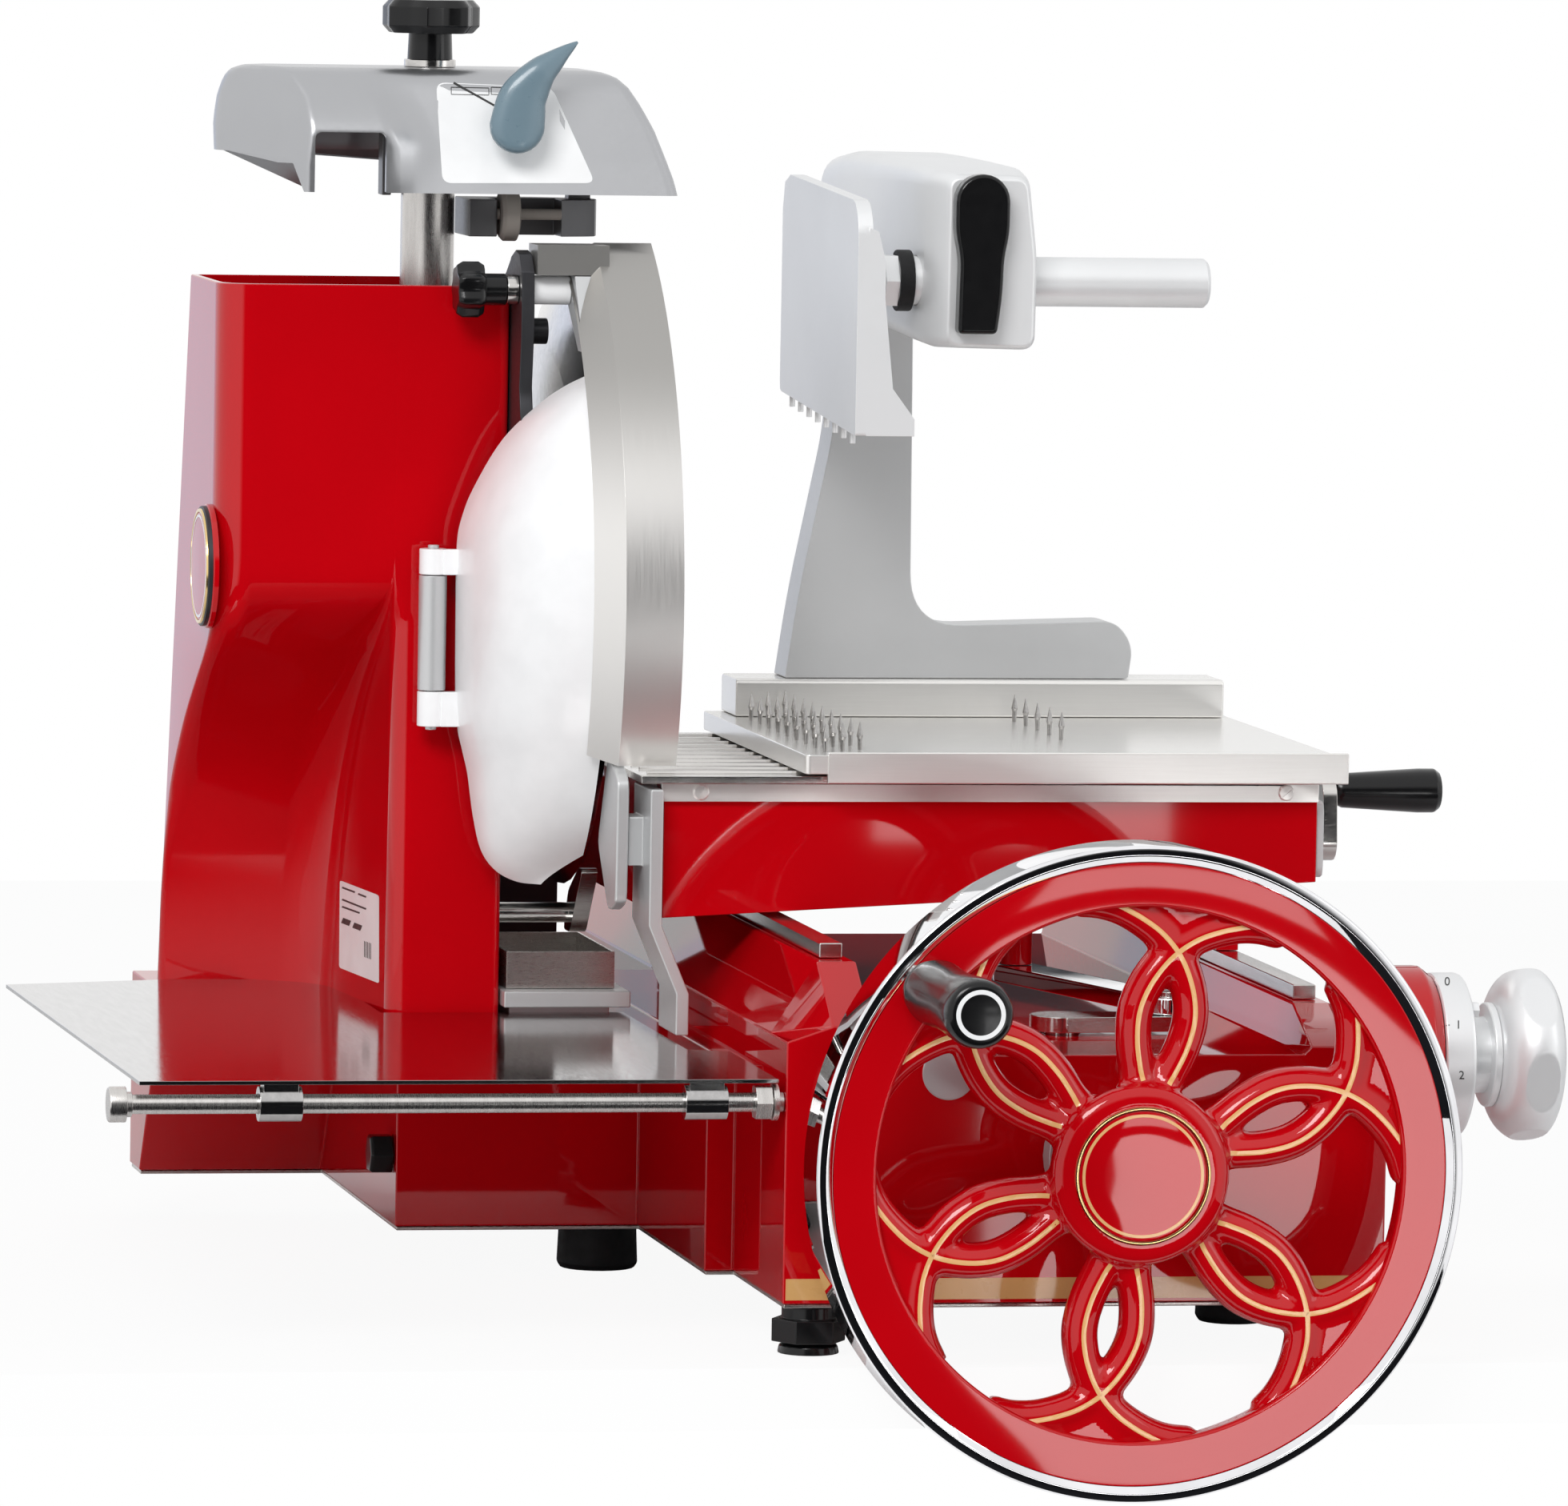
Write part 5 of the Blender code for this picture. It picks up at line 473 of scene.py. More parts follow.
def grid_mesh(rings, sheet=False, looped=False):
    """Rings of equally many drawing points, joined in turn: a body, a loop or an open sheet."""
    count = len(rings[0])
    points = [at(*p) for ring_points in rings for p in ring_points]
    faces = []
    for row in range(len(rings) if looped else len(rings) - 1):
        here = row * count
        there = (row + 1) % len(rings) * count
        for i in range(count - 1 if sheet else count):
            j = (i + 1) % count
            faces.append((here + i, here + j, there + j, there + i))
    if not sheet and not looped:
        faces.append(tuple(range(count))[::-1])
        faces.append(tuple(range(len(points) - count, len(points))))
    mesh = bpy.data.meshes.new("shape")
    mesh.from_pydata(points, [], faces)
    form = bmesh.new()
    form.from_mesh(mesh)
    bmesh.ops.recalc_face_normals(form, faces=form.faces)
    return mesh_from(form, mesh)


def spot(axis, along, first, second):
    return {"X": (along, first, second), "Y": (first, along, second), "Z": (first, second, along)}[axis]


def circle(steps, radius=1.0, centre=(0, 0)):
    turns = [2 * math.pi * i / steps for i in range(steps)]
    return [(centre[0] + radius * math.cos(a), centre[1] + radius * math.sin(a)) for a in turns]


def round_rows(profile, axis, centre, steps):
    """For each (along, radius) of a profile, its circle about the axis."""
    return [[spot(axis, along, a, b) for a, b in circle(steps, r, centre)] for along, r in profile]


def lathe(profile, axis, centre, steps=96):
    """A profile that starts and ends on its axis, in drawing millimetres, turned about it."""
    profile = [(along, max(radius, 0.01)) for along, radius in profile]
    return grid_mesh(round_rows(profile, axis, centre, steps))


def hoop(profile, axis, centre, steps=160):
    """A closed profile that stays off its axis, turned into a ring."""
    return grid_mesh(list(zip(*round_rows(profile, axis, centre, steps))), looped=True)


def slab(outline, axis, low, high):
    return grid_mesh([[spot(axis, along, a, b) for a, b in outline] for along in (low, high)])


def join_meshes(*meshes):
    """Several closed meshes as one, each keeping its material numbers."""
    form = bmesh.new()
    for mesh in meshes:
        form.from_mesh(mesh)
    return mesh_from(form)


def paint_index(mesh, index):
    for face in mesh.polygons:
        face.material_index = index
    return mesh


def cut(mesh, cutter):
    """The mesh without what the cutter covers."""
    holder = held(mesh)
    tool = held(cutter)
    change(holder, "BOOLEAN", operation="DIFFERENCE", solver="EXACT", object=tool)
    result = baked(holder)
    bpy.data.objects.remove(tool, do_unlink=True)
    return result


def bend(start, middle, end, t):
    """A place on the curve from start to end that is drawn towards middle."""
    return start * (1 - t) ** 2 + middle * 2 * t * (1 - t) + end * t**2


def rounded(outline, radius, steps=5):
    """The outline with its corners turned into arcs."""
    result = []
    count = len(outline)
    for i, corner in enumerate(outline):
        here = Vector(corner)
        before = Vector(outline[i - 1]) - here
        after = Vector(outline[(i + 1) % count]) - here
        wanted = radius[i] if isinstance(radius, (list, tuple)) else radius
        reach = min(wanted, before.length * 0.48, after.length * 0.48)
        start = here + before.normalized() * reach
        end = here + after.normalized() * reach
        for k in range(steps):
            t = k / (steps - 1)
            point = bend(start, here, end, t)
            result.append((point.x, point.y))
    return result


# %% [markdown]
# The flywheel is one casting: a flat ring, six petals made of two crossing arms each, and a hub.
# Union Booleans would leave hard creases where the arms meet, but a casting has soft fillets there.
# So the raw shapes are only put together, a voxel Remesh melts them into one skin, and a smoothing
# step draws the fillets.

# %% Flywheel sizes
WHEEL = (166.8, 76.3)
WHEEL_FRONT = -90.0
PETAL_PHASE = 81.0
ARM_WIDTH, ARM_DEPTH = 9.4, 11.5
ARM_MIDDLE = WHEEL_FRONT + 15.5
PETAL_KNOTS = [(38, 4.5), (52, 8.5), (66, 12.8), (80, 14.6), (92, 12.6), (104, 7.4), (114.5, 0)]
PETAL_KNOTS += [(123, -10), (128.8, -21), (132.4, -32), (133.6, -43), (132.6, -54)]


def smooth_path(knots, steps):
    """A Catmull-Rom curve through the knots."""
    knots = [Vector(k) for k in knots]
    padded = [knots[0] * 2 - knots[1]] + knots + [knots[-1] * 2 - knots[-2]]
    found = []
    for i in range(len(knots) - 1):
        a, b, c, d = padded[i : i + 4]
        for k in range(steps):
            t = k / steps
            curve = 2 * b + (c - a) * t + (2 * a - 5 * b + 4 * c - d) * t**2
            found.append(0.5 * (curve + (3 * b - a - 3 * c + d) * t**3))
    found.append(knots[-1])
    return found


def framed(path):
    """Each point of a path with the direction across it, to the left of the run."""
    found = []
    for i, point in enumerate(path):
        run = path[min(i + 1, len(path) - 1)] - path[max(i - 1, 0)]
        found.append((point, Vector((-run.y, run.x)).normalized()))
    return found


def wheel_spot(radial, lateral, petal, depth):
    phase = math.radians(PETAL_PHASE + 60 * petal)
    x = WHEEL[0] + radial * math.cos(phase) - lateral * math.sin(phase)
    z = WHEEL[1] + radial * math.sin(phase) + lateral * math.cos(phase)
    return (x, depth, z)


# %% [markdown]
# Each arm is a bar of oval section swept along its middle line, thicker at the hub. Six small webs
# fill the corners at the ring, and a turned collar and hub hold them all.


# %% Flywheel casting
def petal_arm(petal, side):
    rings = []
    for point, across in framed(smooth_path(PETAL_KNOTS, 4)):
        reach = ARM_WIDTH * (1.0 + 0.3 * max(0.0, (50 - point.x) / 12))
        row = []
        for a, b in circle(14):
            off = point + across * reach * a
            row.append(wheel_spot(off.x, off.y * side, petal, ARM_MIDDLE + ARM_DEPTH * b))
        rings.append(row)
    return grid_mesh(rings)


def petal_web(petal):
    """The flat plate that closes the corner between two arms and the ring."""
    outline = [(113, 0), (122, 9), (128, 20), (132, 32), (134, 44), (141, 46), (146, 24), (147, 0)]
    outline += [(r, -side) for r, side in outline[1:-1][::-1]]
    rings = []
    for depth in (WHEEL_FRONT + 6.6, WHEEL_FRONT + 24):
        rings.append([wheel_spot(r, side, petal, depth) for r, side in outline])
    return grid_mesh(rings)


COLLAR = [(-84, 152), (-84, 142), (-82, 139), (-76, 137.4), (-66, 140), (-61, 146), (-61, 152)]
HUB = [(-93.2, 0), (-93.2, 40), (-91.5, 44.5), (-88, 46.5), (-74, 44.5), (-62, 33)]
HUB += [(-52, 26), (-24.2, 24), (-24.2, 0)]
arms = [petal_arm(petal, side) for petal in range(6) for side in (1, -1)]
webs = [petal_web(petal) for petal in range(6)]
collar = hoop(COLLAR, "Y", WHEEL, 180)
hub = lathe(HUB, "Y", WHEEL, 72)
holder = held(join_meshes(collar, hub, *arms, *webs))
change(holder, "REMESH", mode="VOXEL", voxel_size=0.0019)
change(holder, "SMOOTH", factor=0.5, iterations=5)
wheel_mesh = baked(holder)
wheel_mesh.shade_smooth()
print("flywheel faces:", len(wheel_mesh.polygons))

# %% [markdown]
# The cream lines on the petals are hand painted on the real wheel. Each is a narrow ribbon here: its
# path follows an arm's middle, and rays cast from the front find the casting's skin, so the ribbon
# lies on it.


# %% Painted lines
def skin_of(mesh):
    """A mesh's faces, ready to be met by rays."""
    return BVHTree.FromPolygons([v.co for v in mesh.vertices], [p.vertices[:] for p in mesh.polygons])


def on_wheel(x, z):
    """The casting's front skin at a drawing place, a hair in front of it."""
    place, _, _, distance = wheel_skin.ray_cast(at(x, RAY_START, z), Vector((0, 1, 0)))
    return None if place is None or distance > RAY_REACH else place - Vector((0, LINE_LIFT, 0))


def facing_lens(form):
    """The sheet as a mesh, with its faces turned towards the lens."""
    for face in form.faces:
        face.normal_update()
        if face.normal.dot(forward) > 0:
            face.normal_flip()
    return mesh_from(form)


def ribbon(rows):
    """A sheet over rows of places. It has a gap wherever a place is None."""
    form = bmesh.new()
    previous = None
    for row in rows:
        current = None if None in row else [form.verts.new(place) for place in row]
        if previous and current:
            for i in range(len(row) - 1):
                form.faces.new((previous[i], previous[i + 1], current[i + 1], current[i]))
        previous = current
    return facing_lens(form)


def painted_line(petal, side, width=2.5):
    rows = []
    for point, across in framed(smooth_path(LINE_KNOTS, 8)):
        row = []
        for share in (-0.5, 0.0, 0.5):
            off = point + across * width * share
            x, _, z = wheel_spot(off.x, off.y * side, petal, 0)
            row.append(on_wheel(x, z))
        rows.append(row)
    return ribbon(rows)


LINE_KNOTS = [(47.5, 6.8), (54, 9.4), (66, 13), (80, 14.6), (92, 12.6), (104, 7.4), (114.5, 0)]
LINE_KNOTS += [(123, -10), (128.6, -21), (132, -30.5), (133.2, -34.5)]
RAY_START, RAY_REACH, LINE_LIFT = -140, 0.075, 0.00016
RING = [(-88.7, 159.2), (-88.9, 158.6), (-88.9, 138.5), (-88.6, 137.6), (-87.6, 136.8), (-86.4, 136.6)]
RING += [(-83, 136.8), (-66, 139), (-60, 148), (-58.2, 154), (-58.2, 159.2)]
wheel_skin = skin_of(wheel_mesh)
lines = [painted_line(petal, side) for petal in range(6) for side in (1, -1)]
put("flywheel_casting", wheel_mesh, red_enamel, "flywheel", "wheel_web", smooth=180, slot_name="red_enamel")
put("flywheel_ring", hoop(RING, "Y", WHEEL, 256), red_enamel, "flywheel", smooth=50)
put("flywheel_lines", join_meshes(*lines), cream_paint, "flywheel", smooth=60)
print("painted lines:", len(lines))

# %% [markdown]
# The rim is turned and chromed, so its edges are small arcs in the profile. A mirror finish shows
# every flat, and a turned shape with many steps has none.

# %% Chromed rim
RIM = [(-88.6, 159.5), (-91, 162.4), (-91.3, 162.9), (-91.4, 163.4), (-91.2, 166.4), (-90.6, 167.3)]
RIM += [(-89.8, 167.8), (-88.8, 168), (-56, 168), (-53.6, 167.2), (-52.2, 165.4), (-52, 163)]
RIM += [(-52, 156.4), (-57.2, 156.4), (-57.2, 159.5)]
rim = hoop(RIM, "Y", WHEEL, 220)
put("rim_dressed", rim, chrome, "flywheel", "wheel_rim", smooth=50, slot_name="chrome")

# %% [markdown]
# The hub's medallion is a shallow red dish with a brass ring and a fine cream line. Three turned
# shapes share one piece, and each keeps its own material number.


# %% Hub cap
def painted_parts(*parts):
    """Several meshes as one, the first in the first material, the next in the second and so on."""
    return join_meshes(*(paint_index(part, number) for number, part in enumerate(parts)))


CAP = [(-90.9, 0), (-90.9, 33.2), (-93.6, 33), (-93.9, 32.2), (-94.1, 20), (-94.2, 0)]
CAP_RING = [(-91, 35.6), (-93.4, 35.5), (-94.2, 35.1), (-94.4, 34.4), (-94.2, 33.6), (-93.4, 33.1)]
CAP_RING += [(-91, 33)]
CAP_LINE = [(-93.9, 31.6), (-94.02, 31.5), (-94.06, 30.1), (-93.9, 30)]
cap_ring = hoop(CAP_RING, "Y", WHEEL, 120)
cap_line = hoop(CAP_LINE, "Y", WHEEL, 120)
cap = painted_parts(lathe(CAP, "Y", WHEEL, 96), cap_ring, cap_line)
cap_paints = [red_enamel, brass_trim, cream_paint]
put("hub_cap", cap, cap_paints, "flywheel", "hub_medallion", slot_name="red_enamel")

# %% [markdown]
# The grip is a polished black barrel with a pale ring let into its end. It is turned from a profile,
# as the real one is on a lathe.

# %% Flywheel grip
GRIP_ANGLE = math.radians(139.6)
GRIP_REACH = 147
GRIP = (WHEEL[0] + GRIP_REACH * math.cos(GRIP_ANGLE), WHEEL[1] + GRIP_REACH * math.sin(GRIP_ANGLE))
BARREL = [(-216.8, 0), (-216.8, 13.4), (-216.1, 15.4), (-214, 17), (-208, 17.7), (-190, 17.2)]
BARREL += [(-165, 15.9), (-135, 15.9), (-112, 17), (-100, 15.6), (-95.4, 12.6), (-94.4, 11.8)]
BARREL += [(-94.4, 6), (-94.4, 0)]
END_RING = [(-216.7, 12.6), (-217, 12.5), (-217, 10.3), (-216.7, 10.2)]
end_ring = hoop(END_RING, "Y", GRIP, 64)
grip = painted_parts(lathe(BARREL, "Y", GRIP, 80), end_ring)
grip_paints = [black_gloss, label_white]
put("flywheel_grip", grip, grip_paints, "wheel_handle", "wheel_grip", slot_name="black_plastic")
refine("grip_pin", polished, 0.0003)
refine("wheel_shaft", polished_y, 0.0003)
print("grip faces:", len(grip.polygons))

# %% [markdown]
# The tall housing is a deep pressing. It is lofted from level outlines, and the front's hollow deepens
# along a smooth curve, so many levels are laid where it bends. The inner wall is the same outline
# moved in, and a rolled rim joins them at the top.

# %% Housing
TOWER_TOP = 506.0
TOWER_FOOT = 108.3
TOWER_FRONT = 335.2
TOWER_LEFT, TOWER_RIGHT = -248.8, -92.1
WALL = 3.8
LEVELS = 110
HOLLOW_TOP = 361
HOLLOW_FLUSH = 335.22
HOLLOW_RIGHT = [(108.3, 489), (150, 487), (190, 481), (225, 470), (255, 452), (280, 430), (300, 406)]
HOLLOW_RIGHT += [(315, 382), (327, 360), (335.5, 346.5), (344, 338.6), (352, 335.8)]
HOLLOW_RIGHT += [(HOLLOW_TOP, HOLLOW_FLUSH)]
HOLLOW_LEFT = [(108.3, 533), (146, 528), (169, 522.5), (188, 514), (212, 497), (231, 480), (251, 455)]
HOLLOW_LEFT += [(268, 430), (286, 398), (302, 368), (313.5, 350), (324, 340), (335, 336)]
HOLLOW_LEFT += [(346, HOLLOW_FLUSH)]
right_curve = smooth_path(HOLLOW_RIGHT, 10)
left_curve = smooth_path(HOLLOW_LEFT, 10)


def hollow_at(curve, z):
    """How far back the hollow's front wall lies at a height."""
    for low, high in zip(curve, curve[1:]):
        if low.x <= z <= high.x:
            return low.y + (high.y - low.y) * (z - low.x) / (high.x - low.x)
    return HOLLOW_FLUSH


def housing_ring(z, inset):
    """The housing's level outline, moved in by the wall."""
    back = 450 + (TOWER_TOP - z) * 0.234 - inset
    deep = hollow_at(right_curve, z) + inset
    shallow = hollow_at(left_curve, z) + inset
    share = max(0.0, (HOLLOW_TOP - z) / (HOLLOW_TOP - TOWER_FOOT))
    outline = [
        (TOWER_RIGHT - inset, TOWER_FRONT + inset),
        (-152.4 + inset, TOWER_FRONT + inset),
        (-152.6 - 13.4 * share + inset, deep),
        (TOWER_LEFT + inset, shallow),
        (TOWER_LEFT + inset, max(back, shallow + 7 - 2 * inset)),
        (TOWER_RIGHT - inset, back),
    ]
    soft = [4.0, 12.0, 26.0, 20.0 - 13 * share, 5.0, 8.0]
    return [(x, y, z) for x, y in rounded(outline, soft, 8)]


levels = [TOWER_FOOT + (TOWER_TOP - TOWER_FOOT) * i / LEVELS for i in range(LEVELS)]
housing_rings = [housing_ring(z, 0.0) for z in levels]
housing_rings += [housing_ring(*lip) for lip in ((505.4, 0.0), (505.9, 0.5), (505.9, 3.4), (505.4, WALL))]
housing_rings += [housing_ring(z, WALL) for z in reversed(levels)]
housing = grid_mesh(housing_rings, looped=True)
window = slab([(358.8, 308.8), (431.2, 308.8), (431.2, 530), (358.8, 530)], "X", -104, -80)
housing = cut(housing, window)
# Painted shade: faces turned down, mostly in the front hollow, are marked for a thin clear coat, so they
# reflect less and look shaded.
painted_shade = housing.attributes.new("painted_shade", "FLOAT", "POINT")
for vertex in housing.vertices:
    down = (-vertex.normal.z - 0.04) / 0.24 if vertex.normal.y < 0.2 else 0.0
    painted_shade.data[vertex.index].value = min(1.0, max(0.0, down))
put("housing_shell", housing, red_enamel, "base", "tower_housing", smooth=30, slot_name="red_enamel")
print("housing faces:", len(housing.polygons))

# %% [markdown]
# A second medallion sits on the housing's side. It is a stack of turned plates and rings, from the
# red foot over the dark rim and the brass ring to the red face with its fine pale line.

# %% Side medallion
BADGE = (360, 353.5)
FOOT = [(-248.6, 0), (-248.6, 33.4), (-251, 33.2), (-251.6, 32.6), (-251.6, 0)]
EDGE = [(-251.4, 25), (-251.4, 32.2), (-253.6, 32.2), (-254.2, 31.4), (-254.2, 25)]
BRASS = [(-254, 28.8), (-254, 31), (-255, 30.6), (-255.2, 29.8), (-255, 29)]
FACE = [(-254, 0), (-254, 28.9), (-254.7, 28.7), (-254.9, 28), (-255, 0)]
PALE = [(-254.8, 27.6), (-255.05, 27.6), (-255.06, 26.2), (-254.8, 26.2)]
makers = (lathe, hoop, hoop, lathe, hoop)
layers = [make(line, "X", BADGE, 96) for make, line in zip(makers, (FOOT, EDGE, BRASS, FACE, PALE))]
badge_paints = [red_enamel, dark_cast, brass_trim, red_enamel, label_white]
put("side_plate", painted_parts(*layers), badge_paints, "base")
print("medallion layers:", len(layers))

# %% [markdown]
# Everything whose solid already has the true form keeps it. The base, the rails, the feet and the
# small hardware only get rounded edges and their finishes.

# %% Base and small parts
SMALL_PARTS = (
    (red_enamel, 0.0012, 2, "dial_boss"),
    (red_enamel, 0.0018, 3, "carriage_box"),
    (black_gloss, 0.0006, 2, "foot_front_left guard_knob feed_grip"),
    (black_gloss, 0.0012, 2, "sharpener_knob"),
    (rubber, 0.0008, 2, "foot_right foot_rear_left foot_rear_right"),
    (rubber, 0.0006, 2, "press_buffer"),
    (brushed, 0.0004, 2, "bottom_plate"),
    (brushed, 0.0003, 2, "drip_box"),
    (polished_y, 0.0006, 2, "rail_left rail_right"),
    (polished, 0.0002, 2, "cross_shaft blade_disc"),
    (polished, 0.0003, 2, "blade_arbor crank_shaft guard_pin carriage_bed"),
    (polished, 0.0004, 2, "feed_screw"),
    (polished, 0.0006, 2, "lower_arm"),
    (satin, 0.0004, 2, "hinge_tube"),
    (satin, 0.0005, 2, "cross_bearing wheel_bearing"),
    (satin, 0.0008, 2, "drip_shelf end_plate"),
    (satin, 0.0009, 2, "deflector_arm"),
    (satin, 0.0012, 3, "guard_tab slice_deflector"),
    (dark_cast, 0.0005, 2, "drive_chain"),
    (dark_cast, 0.0008, 2, "blade_frame"),
    (pale_cast, 0.0005, 2, "press_rod"),
    (pale_cast, 0.0008, 2, "press_plate"),
    (rod_steel, 0.0003, 2, "tray_rod"),
    (rod_steel, 0.0006, 2, "sharpener_post"),
    (ground_steel, 0.0004, 2, "carriage_strip"),
    (ground_steel, 0.0010, 2, "table_fence"),
    (tray_steel, 0.0002, 2, "slice_tray"),
    (guard_steel_shaded_top, 0.0005, 2, "blade_guard"),
    (stone_grit, 0.0003, 2, "grinding_stone"),
    (white_shell, 0.0005, 2, "guard_spacer"),
    (chrome, 0.0016, 3, "connecting_rod"),
)
refine("base_casting", red_enamel, 0.0022, 3, 30)
for finish, width, segments, names in SMALL_PARTS:
    for name in names.split():
        refine(name, finish, width, segments)
print("small parts:", sum(len(names.split()) for _, _, _, names in SMALL_PARTS))

# %% [markdown]
# Two dark pieces close what the picture shows dark, and their darkness is painted shade. The casting that
# grips the post under the hood is cut free in front of the post, and its aluminium is made dark for the
# shade under the hood. A web closes the gap between the blade's foot and the tower: it stands for the frame
# wall there, and its dark colour is painted shade behind the blade.

# %% Saddle and dark web
clear_of_post = slab([(-160, 360), (-109.5, 360), (-109.5, 425), (-160, 425)], "Z", 520, 551.6)
saddle = bevelled(cut(cad_copy("sharpener_saddle"), clear_of_post), 0.0006)
put("sharpener_saddle_dressed", saddle, aluminium_in_painted_shade, "sharpener", "sharpener_saddle", smooth=35)
# Painted shade: the web's dark colour stands for the shade behind the blade's foot.
web_line = [(-91.9, 108.4), (-29.0, 108.4), (-29.0, 224), (-91.9, 234)]
web = slab(rounded(web_line, [1, 1, 8, 4]), "Y", 518, 524)
put("rear_web_painted_shade", bevelled(web, 0.0008), dark_cast, "base")
print("saddle faces:", len(saddle.polygons))

# %% [markdown]
# The sharpener's hood is a thin aluminium casting. Its left end is slanted, an arch is open in its
# front, and the wall round the arch stands proud of the long sloping face. It is lofted from level
# outlines whose corners move with height, then the room inside is taken out of it.

# %% Sharpener hood
HOOD_FRONT = [(555, 338), (568, 343), (582, 347.3), (594, 351), (605, 354.5), (612, 357), (616, 360)]
HOOD_FRONT += [(619, 364.5), (620.5, 370), (620.9, 377)]
HOOD_ARCH_FRONT = [(555, 338), (580, 338), (590, 338.6), (597, 342.5), (605, 349), (611, 354.5), (616, 360)]
HOOD_ARCH_FRONT += [(619, 364.5), (620.5, 370), (620.9, 377)]
HOOD_RIGHT = [(555, -0.6), (563, -2.2), (574, -6), (590, -12), (603, -19), (612, -25), (617, -30.5)]
HOOD_RIGHT += [(619.5, -36), (620.6, -42), (620.9, -50)]
HOOD_LEFT = [(555, -243), (575, -244), (590, -244.6), (603, -243), (611, -240.6), (616, -238)]
HOOD_LEFT += [(619, -234.5), (620.5, -229), (620.9, -222)]
HOOD_LEVELS = [555, 559, 564, 569, 574, 579, 584, 589, 594, 599, 604, 608, 612, 615, 617, 618.6]
HOOD_LEVELS += [619.8, 620.5, 620.9]
HOOD_FOOT, HOOD_BACK = 555, 452
STEM = (-128, 395)
PIVOT = (-89, 594)


def along(curve, z):
    """The value of a curve of (height, value) knots at a height."""
    for low, high in zip(curve, curve[1:]):
        if z <= high[0]:
            share = max(0.0, (z - low[0]) / (high[0] - low[0]))
            return low[1] + (high[1] - low[1]) * share
    return curve[-1][1]


def hood_ring(z, wall):
    """The hood's outline at a height, moved in by the wall. Its left end is tipped."""
    front = along(HOOD_FRONT, z) + wall
    arch = min(front, along(HOOD_ARCH_FRONT, z) + wall)
    lean = front - HOOD_FRONT[0][1]
    back = HOOD_BACK - wall - lean * 0.6
    right_x = along(HOOD_RIGHT, z) - wall
    left_x = along(HOOD_LEFT, z) + wall
    step_x = -150.5 - max(0.0, z - 580) * 0.42
    crease = -202.5 + max(0.0, 20 - abs(z - 590)) * 0.10 - max(0.0, z - 606) * 0.5
    rise = max(0.0, 1 - (z - HOOD_FOOT) / 20)
    corners = [
        (right_x, front, z, 7),
        (step_x + 13, front, z, 12),
        (step_x - 4.5 + wall, arch, z, 3.5),
        (crease + wall * 0.7, arch, z, 2.5),
        (crease - 10 + wall * 0.9, arch + 14, z + 15 * rise, 6),
        (left_x, 398 + lean * 0.3, z + 20 * rise, 9),
        (left_x + 7, back, z + 20 * rise, 9),
        (right_x, back, z + 6 * rise, 9),
    ]
    flat = rounded([c[:2] for c in corners], [c[3] for c in corners], 6)
    return [(x, y, corners[i // 6][2]) for i, (x, y) in enumerate(flat)]


hood_solid = grid_mesh([hood_ring(z, 0) for z in HOOD_LEVELS])
room_rings = [[(x, y, z - 8) for x, y, z in hood_ring(HOOD_FOOT, 4)]]
room_rings += [hood_ring(z, 4) for z in HOOD_LEVELS[:9]]
room_rings.append([(x, y, 608.5) for x, y, _ in hood_ring(613, 5)])
room = grid_mesh(room_rings)
arch = slab(rounded([(-198.5, 540), (-160, 540), (-160, 587), (-198.5, 587)], 4), "Y", 325, 352)
pivot_hole = lathe([(325, 0), (325, 6.3), (372, 6.3), (372, 0)], "Y", PIVOT, 32)
stem_hole = lathe([(600, 0), (600, 5.3), (630, 5.3), (630, 0)], "Z", STEM, 32)
hood_plain = cut(cut(hood_solid, room), arch)
hood = bevelled(cut(cut(hood_plain, pivot_hole), stem_hole), 0.0008, 2, 40)
put("sharpener_cover_dressed", hood, hood_cast, "sharpener", "sharpener_cover", smooth=32)
print("hood faces:", len(hood.polygons))

# %% [markdown]
# The sharpener's lever is a moulded horn. A squarish oval is swept along its bent middle line and
# shrinks to a tip, and a plain stub enters the hood. A polished washer sits under the top knob.

# %% Washer and lever
WASHER = [(621.1, 12.4), (621.1, 13.6), (621.5, 14), (624.8, 14), (625.2, 13.6), (625.2, 12.4)]
put("stem_washer", hoop(WASHER, "Z", STEM, 72), polished, "sharpener")
HORN_SPINE = [(-91, 592, 15), (-88.7, 605, 13.4), (-84.2, 613.3, 11.3), (-78.5, 620.8, 8.6)]
HORN_SPINE += [(-72.4, 626.2, 6.3), (-66.8, 631, 4), (-61.6, 635, 1.9), (-59, 637, 0.6)]


def squarish(value):
    return math.copysign(abs(value) ** 0.85, value)


horn_path = []
for degrees in (88, 75, 60, 45, 30, 15):
    a = math.radians(degrees)
    horn_path.append(Vector((-91, 592 - 15 * math.sin(a), 15 * math.cos(a))))
horn_rings = []
for here, side in framed(horn_path + smooth_path(HORN_SPINE, 5)):
    deep = min(6.8, here.z * 0.75 + 0.3)
    row = []
    for a, b in circle(28):
        across = here.z * squarish(a)
        row.append((here.x - side.x * across, 329.5 - deep * squarish(b), here.y - side.y * across))
    horn_rings.append(row)
stub = lathe([(330, 0), (330, 6), (350, 6), (350, 0)], "Y", PIVOT, 32)
horn = join_meshes(grid_mesh(horn_rings), stub)
lever_body = body_of_node["sharpener_lever"]
put("sharpener_lever_dressed", horn, lever_blue, lever_body, "sharpener_lever", smooth=50)

# %% [markdown]
# The white cover over the blade is a moulded dome. A grid runs between its free outline and the
# blade's edge, bulging to the front, and Solidify gives the sheet its thickness.

